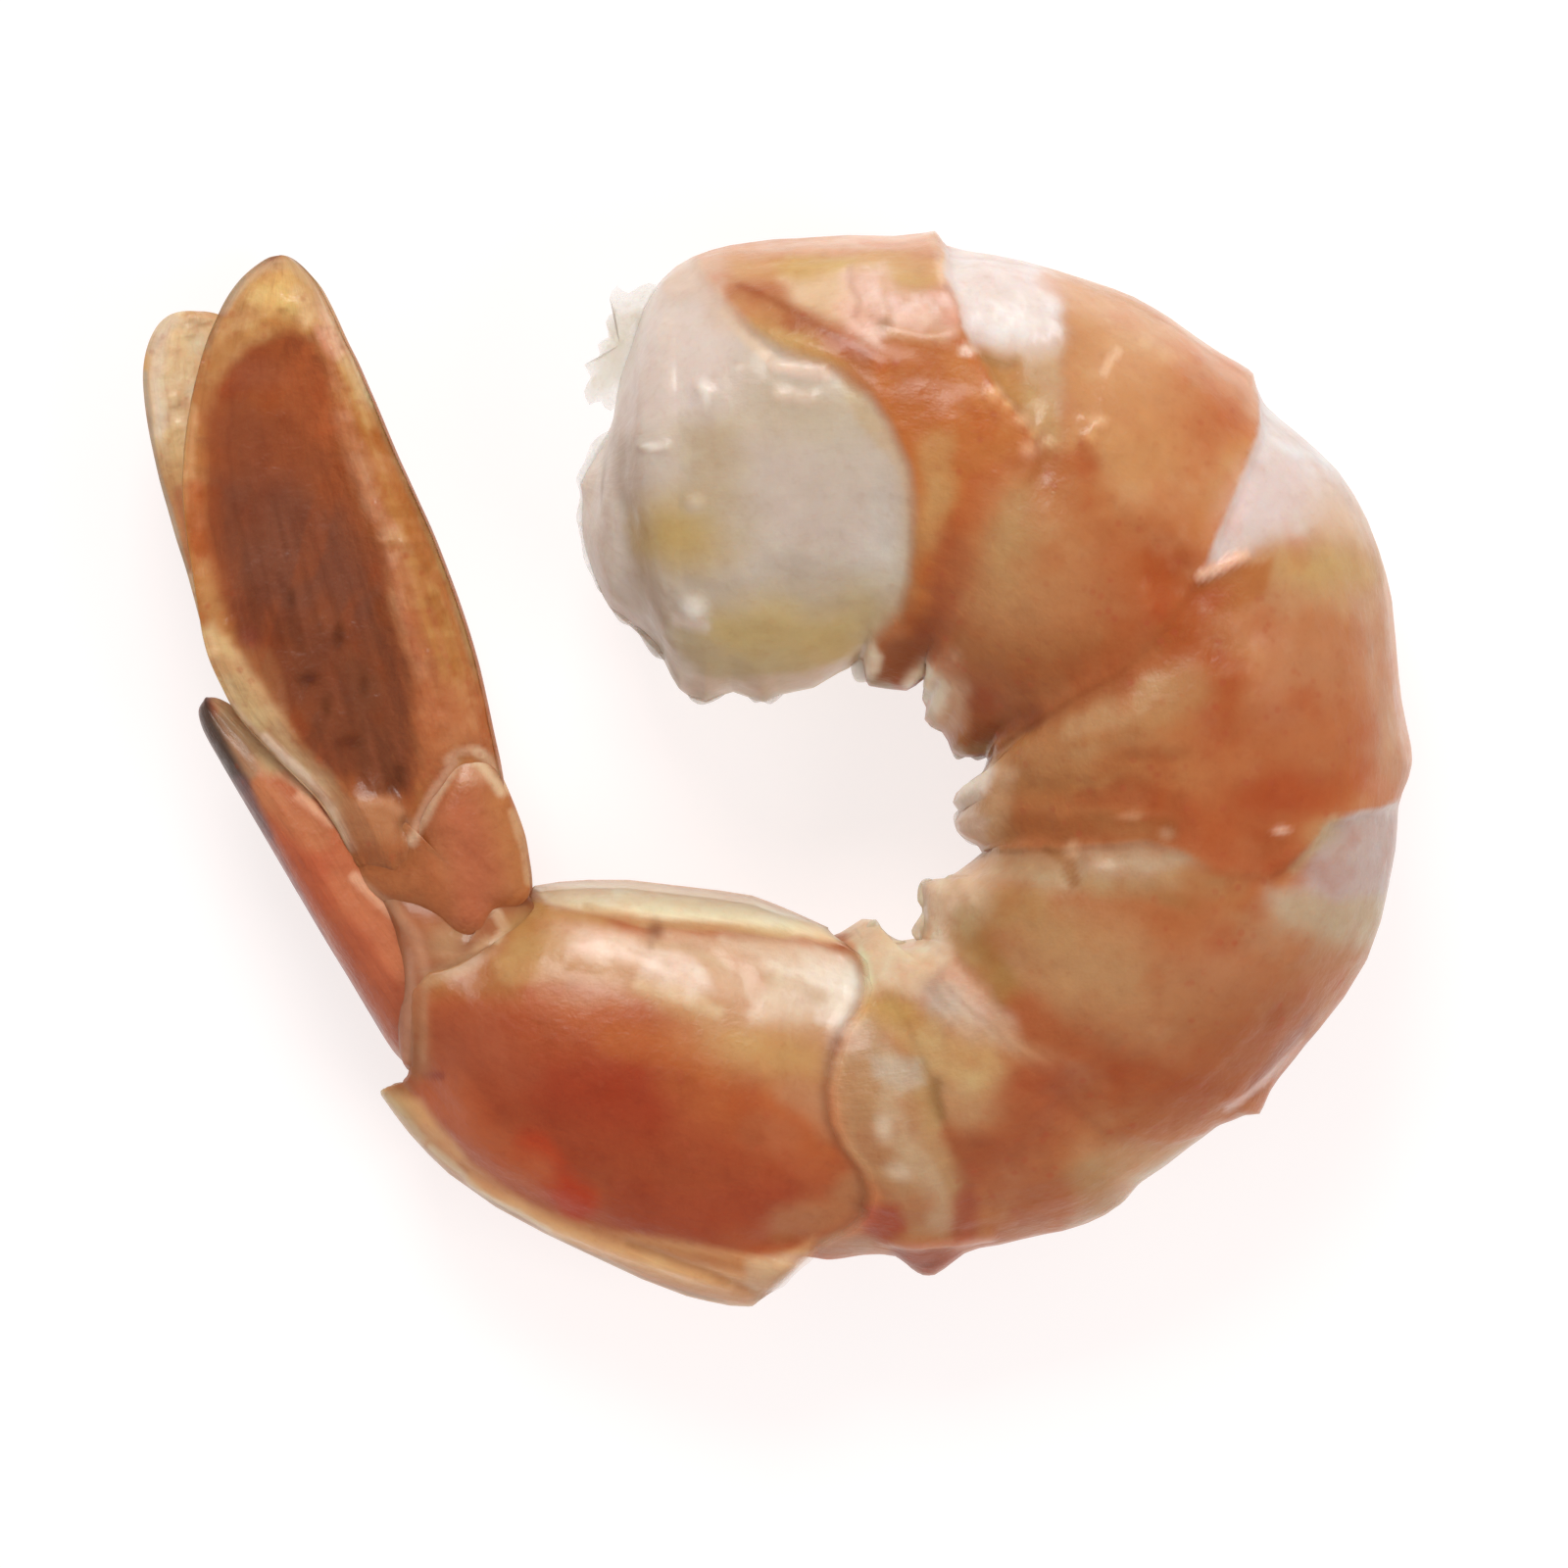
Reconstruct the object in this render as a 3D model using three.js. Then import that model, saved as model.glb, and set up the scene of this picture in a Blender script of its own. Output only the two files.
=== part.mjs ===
// A cooked, peeled shrimp with its tail left on, curled and lying on its side.
// Millimetres, +Z up. The curl lies in the XY plane, the near flank faces +Z.
import * as THREE from "three";

// ---------------------------------------------------------------- sizes, mm
const FLOOR = 0; // the flank rests on this plane
const TAIL_MID_Z = 6.2; // height of the plane that halves the tail
const SHELL_WALL = 0.5; // shell left on the last segment
const BLADE_WALL = 0.62; // tail fan blades
const REST_PRESS = 0.45; // how far the flank is pressed flat where it rests
const FRONT_DOME = 3.9; // how far the cut end bulges forward
const SKIN_STEP = 0.42; // the pink skin of a segment stands this proud at its rear edge
const SEGMENT_SWELL = 0.15; // a segment's back swells this much between two seams
const BELLY_LOBE = 0.85; // and its belly edge hangs out in a lobe this deep
const CREASE_DEPTH = 0.55; // crease between two segments, on the flank
const BELLY_GROOVE = 0.5; // hollow along the belly

// Sections of the meat from the cut end to the tail: back point, belly point, half the width across.
const MEAT = [
  { back: [-4.4, 22.4], belly: [-3.9, 3.5], half: 7.7 },
  { back: [1.3, 23.4], belly: [0.4, 3.5], half: 8.3 },
  { back: [7.1, 23.4], belly: [4.3, 4.3], half: 8.5 },
  { back: [12.8, 21.8], belly: [7.0, 3.4], half: 8.5 },
  { back: [20.6, 17.2], belly: [9.1, 0.3], half: 8.5 },
  { back: [25.3, 11.9], belly: [9.2, -1.2], half: 8.4 },
  { back: [27.4, 4.2], belly: [9.0, -2.6], half: 8.3 },
  { back: [27.4, -1.8], belly: [8.6, -3.9], half: 8.1 },
  { back: [26.2, -8.0], belly: [7.6, -5.3], half: 7.8 },
  { back: [23.2, -12.6], belly: [6.4, -6.5], half: 7.4 },
  { back: [18.9, -16.5], belly: [4.7, -7.2], half: 7.0 },
  { back: [13.3, -20.0], belly: [3.6, -7.3], half: 6.3 },
  { back: [6.9, -21.6], belly: [1.9, -8.0], half: 5.35 },
  { back: [1.2, -21.3], belly: [0.2, -7.9], half: 5.15 },
  { back: [-4.2, -20.3], belly: [-2.5, -6.9], half: 5.1 },
  { back: [-8.9, -18.7], belly: [-6.1, -6.2], half: 4.9 },
  { back: [-12.4, -16.5], belly: [-8.8, -6.2], half: 4.3 },
  { back: [-15.2, -13.9], belly: [-10.2, -6.5], half: 3.4 },
];
// Rear edges of the five bare segments, in sections from the cut end: on the back, on the flank, on the belly.
const SEAMS = [
  { back: 2.05, flank: 3.2, belly: 2.9 },
  { back: 4.05, flank: 4.75, belly: 4.1 },
  { back: 7.0, flank: 7.35, belly: 6.8 },
  { back: 9.55, flank: 9.9, belly: 8.9 },
  { back: 12.1, flank: 11.6, belly: 10.9 },
];
// Sections of the last segment's shell, outside: back, belly, half width.
const SHELL = [
  { back: [-0.9, -23.5], belly: [2.2, -7.0], half: 6.25 },
  { back: [-4.9, -22.55], belly: [-1.85, -5.5], half: 6.2 },
  { back: [-9.9, -20.45], belly: [-6.1, -4.85], half: 6.0 },
  { back: [-13.7, -18.1], belly: [-9.1, -4.8], half: 5.4 },
  { back: [-17.3, -14.2], belly: [-10.65, -5.1], half: 4.4 },
];
const SHELL_FRONT_REACH = 3.0; // the shell's front edge reaches this much further on the flanks
const SHELL_REAR_REACH = 1.8; // so does its rear edge, nearer the back

// Tail spike (telson), from its root to its tip.
const TELSON = {
  root: [-15.7, -10.8],
  tip: [-24.45, 2.84],
  high: [2.05, 1.85, 1.65, 1.48, 1.36, 1.27, 1.17, 0.98, 0.42],
  wide: [2.2, 1.95, 1.7, 1.45, 1.22, 1.0, 0.8, 0.6, 0.32],
  bow: [0, 0, 0, 0.02, 0.05, 0.1, 0.1, 0.02, -0.1],
};
// Stem that carries the two blades of one side.
const STEM = {
  root: [-12.1, -6.05],
  end: [-15.6, -1.75],
  rootHalf: 1.75,
  endHalf: 3.55,
  rootLean: 0.8,
  endLean: 0.247,
  belly: 0.4,
};
// Outer blade, folded into a trough: axis from root to tip, then its left and right edges seen from the side.
const TROUGH = {
  root: [-15.7, -1.3],
  tip: [-21.75, 22.65],
  z: 10.0,
  left: [3.3, 5.2, 7.0, 7.3, 6.6, 6.0, 5.4, 4.1, 1.3],
  right: [3.5, 3.83, 3.77, 3.6, 3.33, 2.85, 2.35, 1.85, 0.8],
  depth: [1.4, 2.0, 2.25, 2.3, 2.25, 2.1, 1.7, 1.2, 0.7],
  leftRim: 192,
  rightRim: -64,
};
// Inner blade, a flat leaf between the trough and the spike.
const LEAF = {
  root: [-17.2, -1.2],
  tip: [-25.9, 20.25],
  z: 7.0,
  left: [1.1, 3.0, 4.3, 4.7, 4.5, 4.2, 3.8, 3.1, 1.0],
  right: [1.0, 1.6, 2.2, 2.7, 3.1, 3.3, 3.2, 2.6, 0.9],
};

// ------------------------------------------------------------ small helpers
const lerp = THREE.MathUtils.lerp;
const smooth = (a, b, x) => THREE.MathUtils.smoothstep(x, a, b);

/** Catmull-Rom through a column of numbers, at a real index. */
function through(values, at) {
  const n = values.length - 1;
  const u = THREE.MathUtils.clamp(at, 0, n);
  const i = Math.min(Math.floor(u), n - 1);
  const f = u - i;
  const p = (k) =>
    k < 0
      ? 2 * values[0] - values[1]
      : k > n
        ? 2 * values[n] - values[n - 1]
        : values[k];
  const [a, b, c, d] = [p(i - 1), p(i), p(i + 1), p(i + 2)];
  return (
    b +
    0.5 * f * (c - a + f * (2 * a - 5 * b + 4 * c - d + f * (3 * (b - c) + d - a)))
  );
}

/** A table of sections read at a real index: centre, unit vector to the back, half height, half width. */
function section(table, at) {
  const g = (pick) => through(table.map(pick), at);
  const back = new THREE.Vector2(g((s) => s.back[0]), g((s) => s.back[1]));
  const belly = new THREE.Vector2(g((s) => s.belly[0]), g((s) => s.belly[1]));
  const up = back.clone().sub(belly);
  const high = up.length() / 2;
  return {
    centre: back.add(belly).multiplyScalar(0.5),
    up: up.normalize(),
    high,
    wide: g((s) => s.half),
  };
}

/** A closed mesh over rings of equal length, with a fan on each end. */
function loft(rings) {
  const n = rings[0].length;
  const v = [];
  const f = [];
  for (const r of rings) for (const p of r) v.push(p.x, p.y, p.z);
  for (let i = 0; i < rings.length - 1; i++)
    for (let j = 0; j < n; j++) {
      const k = (j + 1) % n;
      const [a, b, c, d] = [i * n + j, i * n + k, (i + 1) * n + k, (i + 1) * n + j];
      f.push(a, b, c, a, c, d);
    }
  const cap = (ring, base, flip) => {
    const c = ring
      .reduce((s, p) => s.add(p), new THREE.Vector3())
      .divideScalar(n);
    const at = v.length / 3;
    v.push(c.x, c.y, c.z);
    for (let j = 0; j < n; j++) {
      const k = (j + 1) % n;
      if (flip) f.push(at, base + k, base + j);
      else f.push(at, base + j, base + k);
    }
  };
  cap(rings[0], 0, true);
  cap(rings.at(-1), (rings.length - 1) * n, false);
  return outward(v, f);
}

/** A closed wall between an outer and an inner sheet of points, both [i][j]; round says that j closes on itself. */
function wall(outer, inner, round) {
  const rows = outer.length;
  const cols = outer[0].length;
  const v = [];
  const f = [];
  for (const sheet of [outer, inner])
    for (const r of sheet) for (const p of r) v.push(p.x, p.y, p.z);
  const at = (side, i, j) => side * rows * cols + i * cols + (j % cols);
  const last = round ? cols : cols - 1;
  const quad = (a, b, c, d) => f.push(a, b, c, a, c, d);
  for (let i = 0; i < rows - 1; i++)
    for (let j = 0; j < last; j++) {
      quad(at(0, i, j), at(0, i, j + 1), at(0, i + 1, j + 1), at(0, i + 1, j));
      quad(at(1, i, j), at(1, i + 1, j), at(1, i + 1, j + 1), at(1, i, j + 1));
    }
  for (let j = 0; j < last; j++) {
    quad(at(0, 0, j), at(1, 0, j), at(1, 0, j + 1), at(0, 0, j + 1));
    const e = rows - 1;
    quad(at(0, e, j), at(0, e, j + 1), at(1, e, j + 1), at(1, e, j));
  }
  if (!round)
    for (let i = 0; i < rows - 1; i++) {
      const e = cols - 1;
      quad(at(0, i, 0), at(0, i + 1, 0), at(1, i + 1, 0), at(1, i, 0));
      quad(at(0, i, e), at(1, i, e), at(1, i + 1, e), at(0, i + 1, e));
    }
  return outward(v, f);
}

/** Turns the faces outwards if the enclosed volume is negative. */
function outward(v, f) {
  let volume = 0;
  const p = (i) => new THREE.Vector3(v[3 * i], v[3 * i + 1], v[3 * i + 2]);
  for (let i = 0; i < f.length; i += 3)
    volume += p(f[i]).dot(p(f[i + 1]).cross(p(f[i + 2])));
  if (volume < 0)
    for (let i = 0; i < f.length; i += 3) [f[i + 1], f[i + 2]] = [f[i + 2], f[i + 1]];
  const g = new THREE.BufferGeometry();
  g.setAttribute("position", new THREE.Float32BufferAttribute(v, 3));
  g.setIndex(f);
  g.computeVertexNormals();
  return g;
}

// ------------------------------------------------------------------- meat
/** Where a seam lies at an angle from the back (0) over the flank (90) to the belly (180). */
function seamAt(seam, angle) {
  const c = Math.cos(angle); // 1 back, 0 flank, -1 belly
  return c > 0
    ? lerp(seam.flank, seam.back, c * c)
    : lerp(seam.flank, seam.belly, c * c);
}

/** Height over the plain body: every segment swells, its skin ends in a small step, and a crease follows it down the flank. */
function relief(at, angle) {
  const c = Math.cos(angle);
  const onBack = smooth(-0.35, 0.45, c);
  const onBelly = smooth(0.45, 0.85, -c);
  let h = -BELLY_GROOVE * smooth(0.86, 1, -c);
  let from = -0.4;
  for (const seam of SEAMS) {
    const to = seamAt(seam, angle);
    const d = at - to;
    const f = (at - from) / (to - from);
    if (f > 0 && f < 1)
      h +=
        (SEGMENT_SWELL * onBack + BELLY_LOBE * onBelly) * Math.sin(Math.PI * f) +
        onBack * SKIN_STEP * f ** 4;
    h -= (1 - 0.75 * onBack) * CREASE_DEPTH * Math.exp(-((d / 0.28) ** 2));
    from = to;
  }
  return h;
}

const MEAT_AROUND = 32;
const MEAT_STEPS = 60;
const meatMidZ = (at, s) => {
  // The wide front lies lower; inside the shell the meat stays clear of the shell's wall.
  const inShell = smooth(10.6, 12.2, at);
  return lerp(s.wide - REST_PRESS, TAIL_MID_Z, inShell);
};

/** One point of the meat's skin. grow scales the section about its centre. */
function meatPoint(at, angle, grow = 1, forward = 0) {
  const s = section(MEAT, at);
  const [c, n] = [Math.cos(angle), Math.sin(angle)];
  const r = relief(at, angle);
  const along = new THREE.Vector2(s.up.y, -s.up.x);
  const high = (s.high * (1 - 0.03 * n * n) + r) * c * grow;
  const wide =
    (s.wide * (1 + 0.05 * c - 0.05 * c * c) + r) *
    Math.sign(n) *
    Math.abs(n) ** lerp(0.92, c > 0 ? 1.3 : 0.95, smooth(11.8, 13.2, at)) *
    grow;
  const z = Math.max(FLOOR + 0.9 * smooth(11.0, 11.9, at), meatMidZ(at, s) + wide);
  return new THREE.Vector3(
    s.centre.x + s.up.x * high - along.x * forward,
    s.centre.y + s.up.y * high - along.y * forward,
    z,
  );
}

function meatGeometry() {
  const ring = (at, grow, forward) =>
    Array.from({ length: MEAT_AROUND }, (_, j) =>
      meatPoint(at, (2 * Math.PI * j) / MEAT_AROUND, grow, forward),
    );
  const rings = [];
  for (const t of [1, 0.96, 0.82, 0.62, 0.38, 0.16])
    rings.push(ring(0, Math.sqrt(1 - t * t) * 0.99 + 0.01, FRONT_DOME * t));
  const end = MEAT.length - 1;
  for (let i = 0; i <= MEAT_STEPS; i++) rings.push(ring((end * i) / MEAT_STEPS, 1, 0));
  rings.push(ring(end, 0.55, -0.7));
  return loft(rings);
}

// ------------------------------------------------------- shell of the tail
function shellGeometry() {
  const around = 26;
  const steps = 15;
  const end = SHELL.length - 1;
  const sheet = (inset) =>
    Array.from({ length: steps + 1 }, (_, i) =>
      Array.from({ length: around }, (_, j) => {
        const t = i / steps;
        const a = (2 * Math.PI * j) / around;
        const [c, n] = [Math.cos(a), Math.sin(a)];
        const s = section(SHELL, t * end);
        const along = new THREE.Vector2(s.up.y, -s.up.x);
        // Towards the front the edge sweeps forward on the flanks.
        const reach =
          SHELL_FRONT_REACH * n * n * (1 - t) ** 2.2 -
          SHELL_REAR_REACH *
            smooth(-0.65, -0.1, c) *
            (1 - smooth(0.3, 0.95, c)) *
            t ** 5;
        // The back is drawn out into a keel, and the belly edges tuck in.
        const high = (s.high - inset) * c;
        const wide =
          (s.wide - inset) * Math.sign(n) * Math.abs(n) ** (c > 0 ? 1.12 : 0.85);
        return new THREE.Vector3(
          s.centre.x + s.up.x * high - along.x * reach,
          s.centre.y + s.up.y * high - along.y * reach,
          Math.max(FLOOR + inset, TAIL_MID_Z + wide),
        );
      }),
    );
  return wall(sheet(0), sheet(SHELL_WALL), true);
}

// ------------------------------------------------------------- tail spike
function telsonGeometry() {
  const [root, tip] = [new THREE.Vector2(...TELSON.root), new THREE.Vector2(...TELSON.tip)];
  const along = tip.clone().sub(root);
  const side = new THREE.Vector2(along.y, -along.x).normalize();
  const rings = [];
  for (let i = 0; i <= 14; i++) {
    const t = i / 14;
    const at = t * (TELSON.high.length - 1);
    const p = root
      .clone()
      .addScaledVector(along, t)
      .addScaledVector(side, through(TELSON.bow, at));
    const high = through(TELSON.high, at);
    const wide = through(TELSON.wide, at);
    rings.push(
      Array.from({ length: 14 }, (_, j) => {
        const a = (2 * Math.PI * j) / 14;
        // Flat-sided, with a blunt ridge on the back and one on each flank.
        const h = high * Math.cos(a) * (1 - 0.12 * Math.sin(a) ** 2);
        const w = wide * Math.sin(a) * (1 + 0.22 * Math.cos(a));
        return new THREE.Vector3(p.x + side.x * h, p.y + side.y * h, TAIL_MID_Z + w);
      }),
    );
  }
  return loft(rings);
}

// ------------------------------------------------- stem of the two blades
function stemGeometry(mirror) {
  const [root, end] = [new THREE.Vector2(...STEM.root), new THREE.Vector2(...STEM.end)];
  const rings = [];
  for (let i = 0; i <= 8; i++) {
    const t = i / 8;
    const swell = Math.sin(Math.PI * (0.15 + 0.7 * t));
    const belly = STEM.belly * Math.sin(Math.PI * t);
    const half = lerp(STEM.rootHalf, STEM.endHalf, t ** 0.9) + belly;
    const p = root.clone().lerp(end, t);
    p.x -= belly;
    const thick = lerp(1.15, 1.35, t) * (0.72 + 0.34 * swell);
    const turn = lerp(STEM.rootLean, STEM.endLean, t);
    const across = new THREE.Vector2(Math.cos(turn), Math.sin(turn));
    rings.push(
      Array.from({ length: 16 }, (_, j) => {
        const a = (2 * Math.PI * j) / 16;
        const v = half * Math.sign(Math.cos(a)) * Math.abs(Math.cos(a)) ** 0.8;
        const w = thick * Math.sign(Math.sin(a)) * Math.abs(Math.sin(a)) ** 0.8;
        const z = lerp(2.75, 3.15, t) + 0.35 * swell + w + 0.12 * v;
        return new THREE.Vector3(
          p.x + across.x * v,
          p.y + across.y * v,
          TAIL_MID_Z + mirror * z,
        );
      }),
    );
  }
  return loft(rings);
}

// --------------------------------------------------- blades of the tail fan
/** Frame of a blade: a point along its axis, and the unit vector across it. */
function bladeFrame(blade) {
  const root = new THREE.Vector2(...blade.root);
  const along = new THREE.Vector2(...blade.tip).sub(root);
  const across = new THREE.Vector2(along.y, -along.x).normalize();
  return (t, v) => root.clone().addScaledVector(along, t).addScaledVector(across, v);
}

function troughGeometry(mirror) {
  const place = bladeFrame(TROUGH);
  const steps = 16;
  const around = 14;
  const n = TROUGH.left.length - 1;
  const sheet = (inset) =>
    Array.from({ length: steps + 1 }, (_, i) => {
      const t = i / steps;
      const [l, r] = [through(TROUGH.left, t * n), through(TROUGH.right, t * n)];
      const depth = through(TROUGH.depth, t * n);
      const [mid, half] = [(r - l) / 2, (r + l) / 2];
      const open = smooth(0.0, 0.22, t) * (1 - smooth(0.8, 1.0, t));
      const from = lerp(172, TROUGH.leftRim, open);
      const to = lerp(8, TROUGH.rightRim, open);
      return Array.from({ length: around + 1 }, (_, j) => {
        const a = THREE.MathUtils.degToRad(lerp(from, to, j / around));
        const v = mid + (half - inset) * Math.cos(a);
        const z = -(depth - inset) * Math.sin(a);
        const p = place(t, v);
        return new THREE.Vector3(
          p.x,
          p.y,
          TAIL_MID_Z + mirror * (TROUGH.z - TAIL_MID_Z + z - 0.5 * t * t),
        );
      });
    });
  return wall(sheet(0), sheet(BLADE_WALL), false);
}

function leafGeometry(mirror) {
  const place = bladeFrame(LEAF);
  const steps = 14;
  const n = LEAF.left.length - 1;
  const rings = [];
  for (let i = 0; i <= steps; i++) {
    const t = i / steps;
    const [l, r] = [through(LEAF.left, t * n), through(LEAF.right, t * n)];
    const thick = 0.42 * (1 - 0.35 * t);
    rings.push(
      Array.from({ length: 12 }, (_, j) => {
        const a = (2 * Math.PI * j) / 12;
        const c = Math.sign(Math.cos(a)) * Math.abs(Math.cos(a)) ** 0.9;
        const v = (r - l) / 2 + ((r + l) / 2) * c;
        const z = LEAF.z - TAIL_MID_Z + thick * Math.sin(a);
        const p = place(t, v);
        return new THREE.Vector3(p.x, p.y, TAIL_MID_Z + mirror * z);
      }),
    );
  }
  return loft(rings);
}

// ------------------------------------------------------------ the assembly
const meatMaterial = new THREE.MeshStandardMaterial({
  color: 0xe3a27e,
  roughness: 0.38,
  metalness: 0,
});
const shellMaterial = new THREE.MeshStandardMaterial({
  color: 0xc9683c,
  roughness: 0.22,
  metalness: 0,
});
const fanMaterial = new THREE.MeshStandardMaterial({
  color: 0xb9683a,
  roughness: 0.35,
  metalness: 0,
});

const shrimp = new THREE.Group();
const add = (name, geometry, material) => {
  const mesh = new THREE.Mesh(geometry, material);
  mesh.name = name;
  shrimp.add(mesh);
};

add("meat", meatGeometry(), meatMaterial);
add("tail_shell", shellGeometry(), shellMaterial);
add("telson", telsonGeometry(), fanMaterial);
for (const [side, mirror] of [
  ["near", 1],
  ["far", -1],
]) {
  add(`fan_stem_${side}`, stemGeometry(mirror), fanMaterial);
  add(`fan_trough_${side}`, troughGeometry(mirror), fanMaterial);
  add(`fan_leaf_${side}`, leafGeometry(mirror), fanMaterial);
}

// The origin is the middle of the base: the group is shifted once so that the curl is centred over it.
const extent = new THREE.Box3().setFromObject(shrimp);
shrimp.position.set(
  -(extent.min.x + extent.max.x) / 2,
  -(extent.min.y + extent.max.y) / 2,
  -extent.min.z,
);

export default shrimp;
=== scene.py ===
import math

import bpy
import numpy as np
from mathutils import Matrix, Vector
from mathutils.bvhtree import BVHTree


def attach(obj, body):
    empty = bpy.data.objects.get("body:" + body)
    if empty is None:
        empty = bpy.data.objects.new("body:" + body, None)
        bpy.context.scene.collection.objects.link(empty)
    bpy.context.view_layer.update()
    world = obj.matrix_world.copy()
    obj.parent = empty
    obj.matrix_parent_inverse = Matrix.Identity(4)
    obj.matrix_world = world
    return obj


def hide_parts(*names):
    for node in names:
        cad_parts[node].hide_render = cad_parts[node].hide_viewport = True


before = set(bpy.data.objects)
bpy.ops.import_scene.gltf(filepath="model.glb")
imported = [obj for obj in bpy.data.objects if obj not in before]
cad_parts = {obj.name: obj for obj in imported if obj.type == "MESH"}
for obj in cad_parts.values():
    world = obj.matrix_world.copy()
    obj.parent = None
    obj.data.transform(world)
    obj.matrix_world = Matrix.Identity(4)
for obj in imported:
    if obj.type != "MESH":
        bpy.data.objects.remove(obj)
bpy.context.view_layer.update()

# ---------------------------------------------------------------------------
# Sizes, in millimetres, the same as the solids'. The curl lies in XY, the
# near flank faces +Z. SHIFT is how far the solids were moved to centre them.
# ---------------------------------------------------------------------------
SHIFT = np.array([-0.0882, -0.1552])
TAIL_MID_Z = 6.2
FRONT_DOME = 3.9
REST_PRESS = 0.45
MM_PER_UNIT = 0.043  # the plane of the curl is drawn in steps of 0.043 mm

MEAT_BACK = [(-4.4, 22.4), (1.3, 23.4), (7.1, 23.4), (12.8, 21.8), (20.6, 17.2), (25.3, 11.9),
             (27.4, 4.2), (27.4, -1.8), (26.2, -8.0), (23.2, -12.6), (18.9, -16.5), (13.3, -20.0),
             (6.9, -21.6), (1.2, -21.3), (-4.2, -20.3), (-8.9, -18.7), (-12.4, -16.5), (-15.2, -13.9)]
MEAT_BELLY = [(-3.9, 3.5), (0.4, 3.5), (4.3, 4.3), (7.0, 3.4), (9.1, 0.3), (9.2, -1.2),
              (9.0, -2.6), (8.6, -3.9), (7.6, -5.3), (6.4, -6.5), (4.7, -7.2), (3.6, -7.3),
              (1.9, -8.0), (0.2, -7.9), (-2.5, -6.9), (-6.1, -6.2), (-8.8, -6.2), (-10.2, -6.5)]
MEAT_HALF = [7.7, 8.3, 8.5, 8.5, 8.5, 8.4, 8.3, 8.1, 7.8, 7.4, 7.0, 6.3, 5.35, 5.15, 5.1, 4.9, 4.3, 3.4]
SHELL_BACK = [(-0.9, -23.5), (-4.9, -22.55), (-9.9, -20.45), (-13.7, -18.1), (-17.3, -14.2)]
SHELL_BELLY = [(2.2, -7.0), (-1.85, -5.5), (-6.1, -4.85), (-9.1, -4.8), (-10.65, -5.1)]
SHELL_HALF = [6.25, 6.2, 6.0, 5.4, 4.4]


# ---------------------------------------------------------------------------
# Numbers
# ---------------------------------------------------------------------------
def smooth(a, b, x):
    t = np.clip((x - a) / (b - a), 0.0, 1.0)
    return t * t * (3 - 2 * t)


def through(values, at):
    """Catmull-Rom through a column of numbers at real indices."""
    v = np.asarray(values, float)
    n = len(v) - 1
    e = np.concatenate([[2 * v[0] - v[1]], v, [2 * v[n] - v[n - 1]]])
    u = np.clip(at, 0, n)
    i = np.minimum(np.floor(u).astype(int), n - 1)
    f = u - i
    a, b, c, d = e[i], e[i + 1], e[i + 2], e[i + 3]
    return b + 0.5 * f * (c - a + f * (2 * a - 5 * b + 4 * c - d + f * (3 * (b - c) + d - a)))


def section(back, belly, half, at):
    b = np.stack([through([p[0] for p in back], at), through([p[1] for p in back], at)], -1)
    v = np.stack([through([p[0] for p in belly], at), through([p[1] for p in belly], at)], -1)
    up = b - v
    length = np.linalg.norm(up, axis=-1)
    return (b + v) / 2, up / length[..., None], length / 2, through(half, at)


def _hash(i, j, k, seed):
    h = (i * 374761393 + j * 668265263 + k * 2147483647 + seed * 1274126177) & 0xFFFFFFFF
    h = ((h ^ (h >> 13)) * 1274126177) & 0xFFFFFFFF
    return ((h ^ (h >> 16)) & 0xFFFFFF) / float(0xFFFFFF)


def noise(p, size, seed=0):
    """Smooth noise in -1..1 with features about size mm across."""
    q = np.asarray(p, float) / size + 1000.0
    c = np.floor(q).astype(np.int64)
    f = q - c
    f = f * f * f * (f * (f * 6 - 15) + 10)
    out = 0.0
    for dx in (0, 1):
        wx = f[..., 0] if dx else 1 - f[..., 0]
        for dy in (0, 1):
            wy = f[..., 1] if dy else 1 - f[..., 1]
            for dz in (0, 1):
                wz = f[..., 2] if dz else 1 - f[..., 2]
                out = out + wx * wy * wz * _hash(c[..., 0] + dx, c[..., 1] + dy, c[..., 2] + dz, seed)
    return out * 2 - 1


def fractal(p, size, octaves=4, seed=0, keep=0.5):
    total, amount, norm = 0.0, 1.0, 0.0
    for o in range(octaves):
        total = total + amount * noise(p, size / 2**o, seed + 17 * o)
        norm += amount
        amount *= keep
    return total / norm


# ---------------------------------------------------------------------------
# Drawing in the plane of the curl. Points are (u, v): u to the right, v down,
# in steps of 0.043 mm, with (790.5, 788) at the middle of the curl.
# ---------------------------------------------------------------------------
def plane(p):
    """u, v of points in millimetres in the frame of the solids."""
    return np.stack([(p[..., 0] - SHIFT[0]) / MM_PER_UNIT + 790.5,
                     788.0 - (p[..., 1] - SHIFT[1]) / MM_PER_UNIT], -1)


def signed(uv, outline):
    """Distance from a closed outline, positive inside."""
    a = np.asarray(list(outline) + [outline[0]], float)
    x, y = uv[..., 0], uv[..., 1]
    best = np.full(x.shape, 1e18)
    inside = np.zeros(x.shape, bool)
    for (x0, y0), (x1, y1) in zip(a[:-1], a[1:]):
        dx, dy = x1 - x0, y1 - y0
        t = np.clip(((x - x0) * dx + (y - y0) * dy) / max(dx * dx + dy * dy, 1e-9), 0, 1)
        best = np.minimum(best, (x - x0 - t * dx) ** 2 + (y - y0 - t * dy) ** 2)
        if y0 != y1:
            inside ^= ((y0 > y) != (y1 > y)) & (x < (x1 - x0) * (y - y0) / (y1 - y0) + x0)
    return np.where(inside, 1.0, -1.0) * np.sqrt(best)


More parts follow.
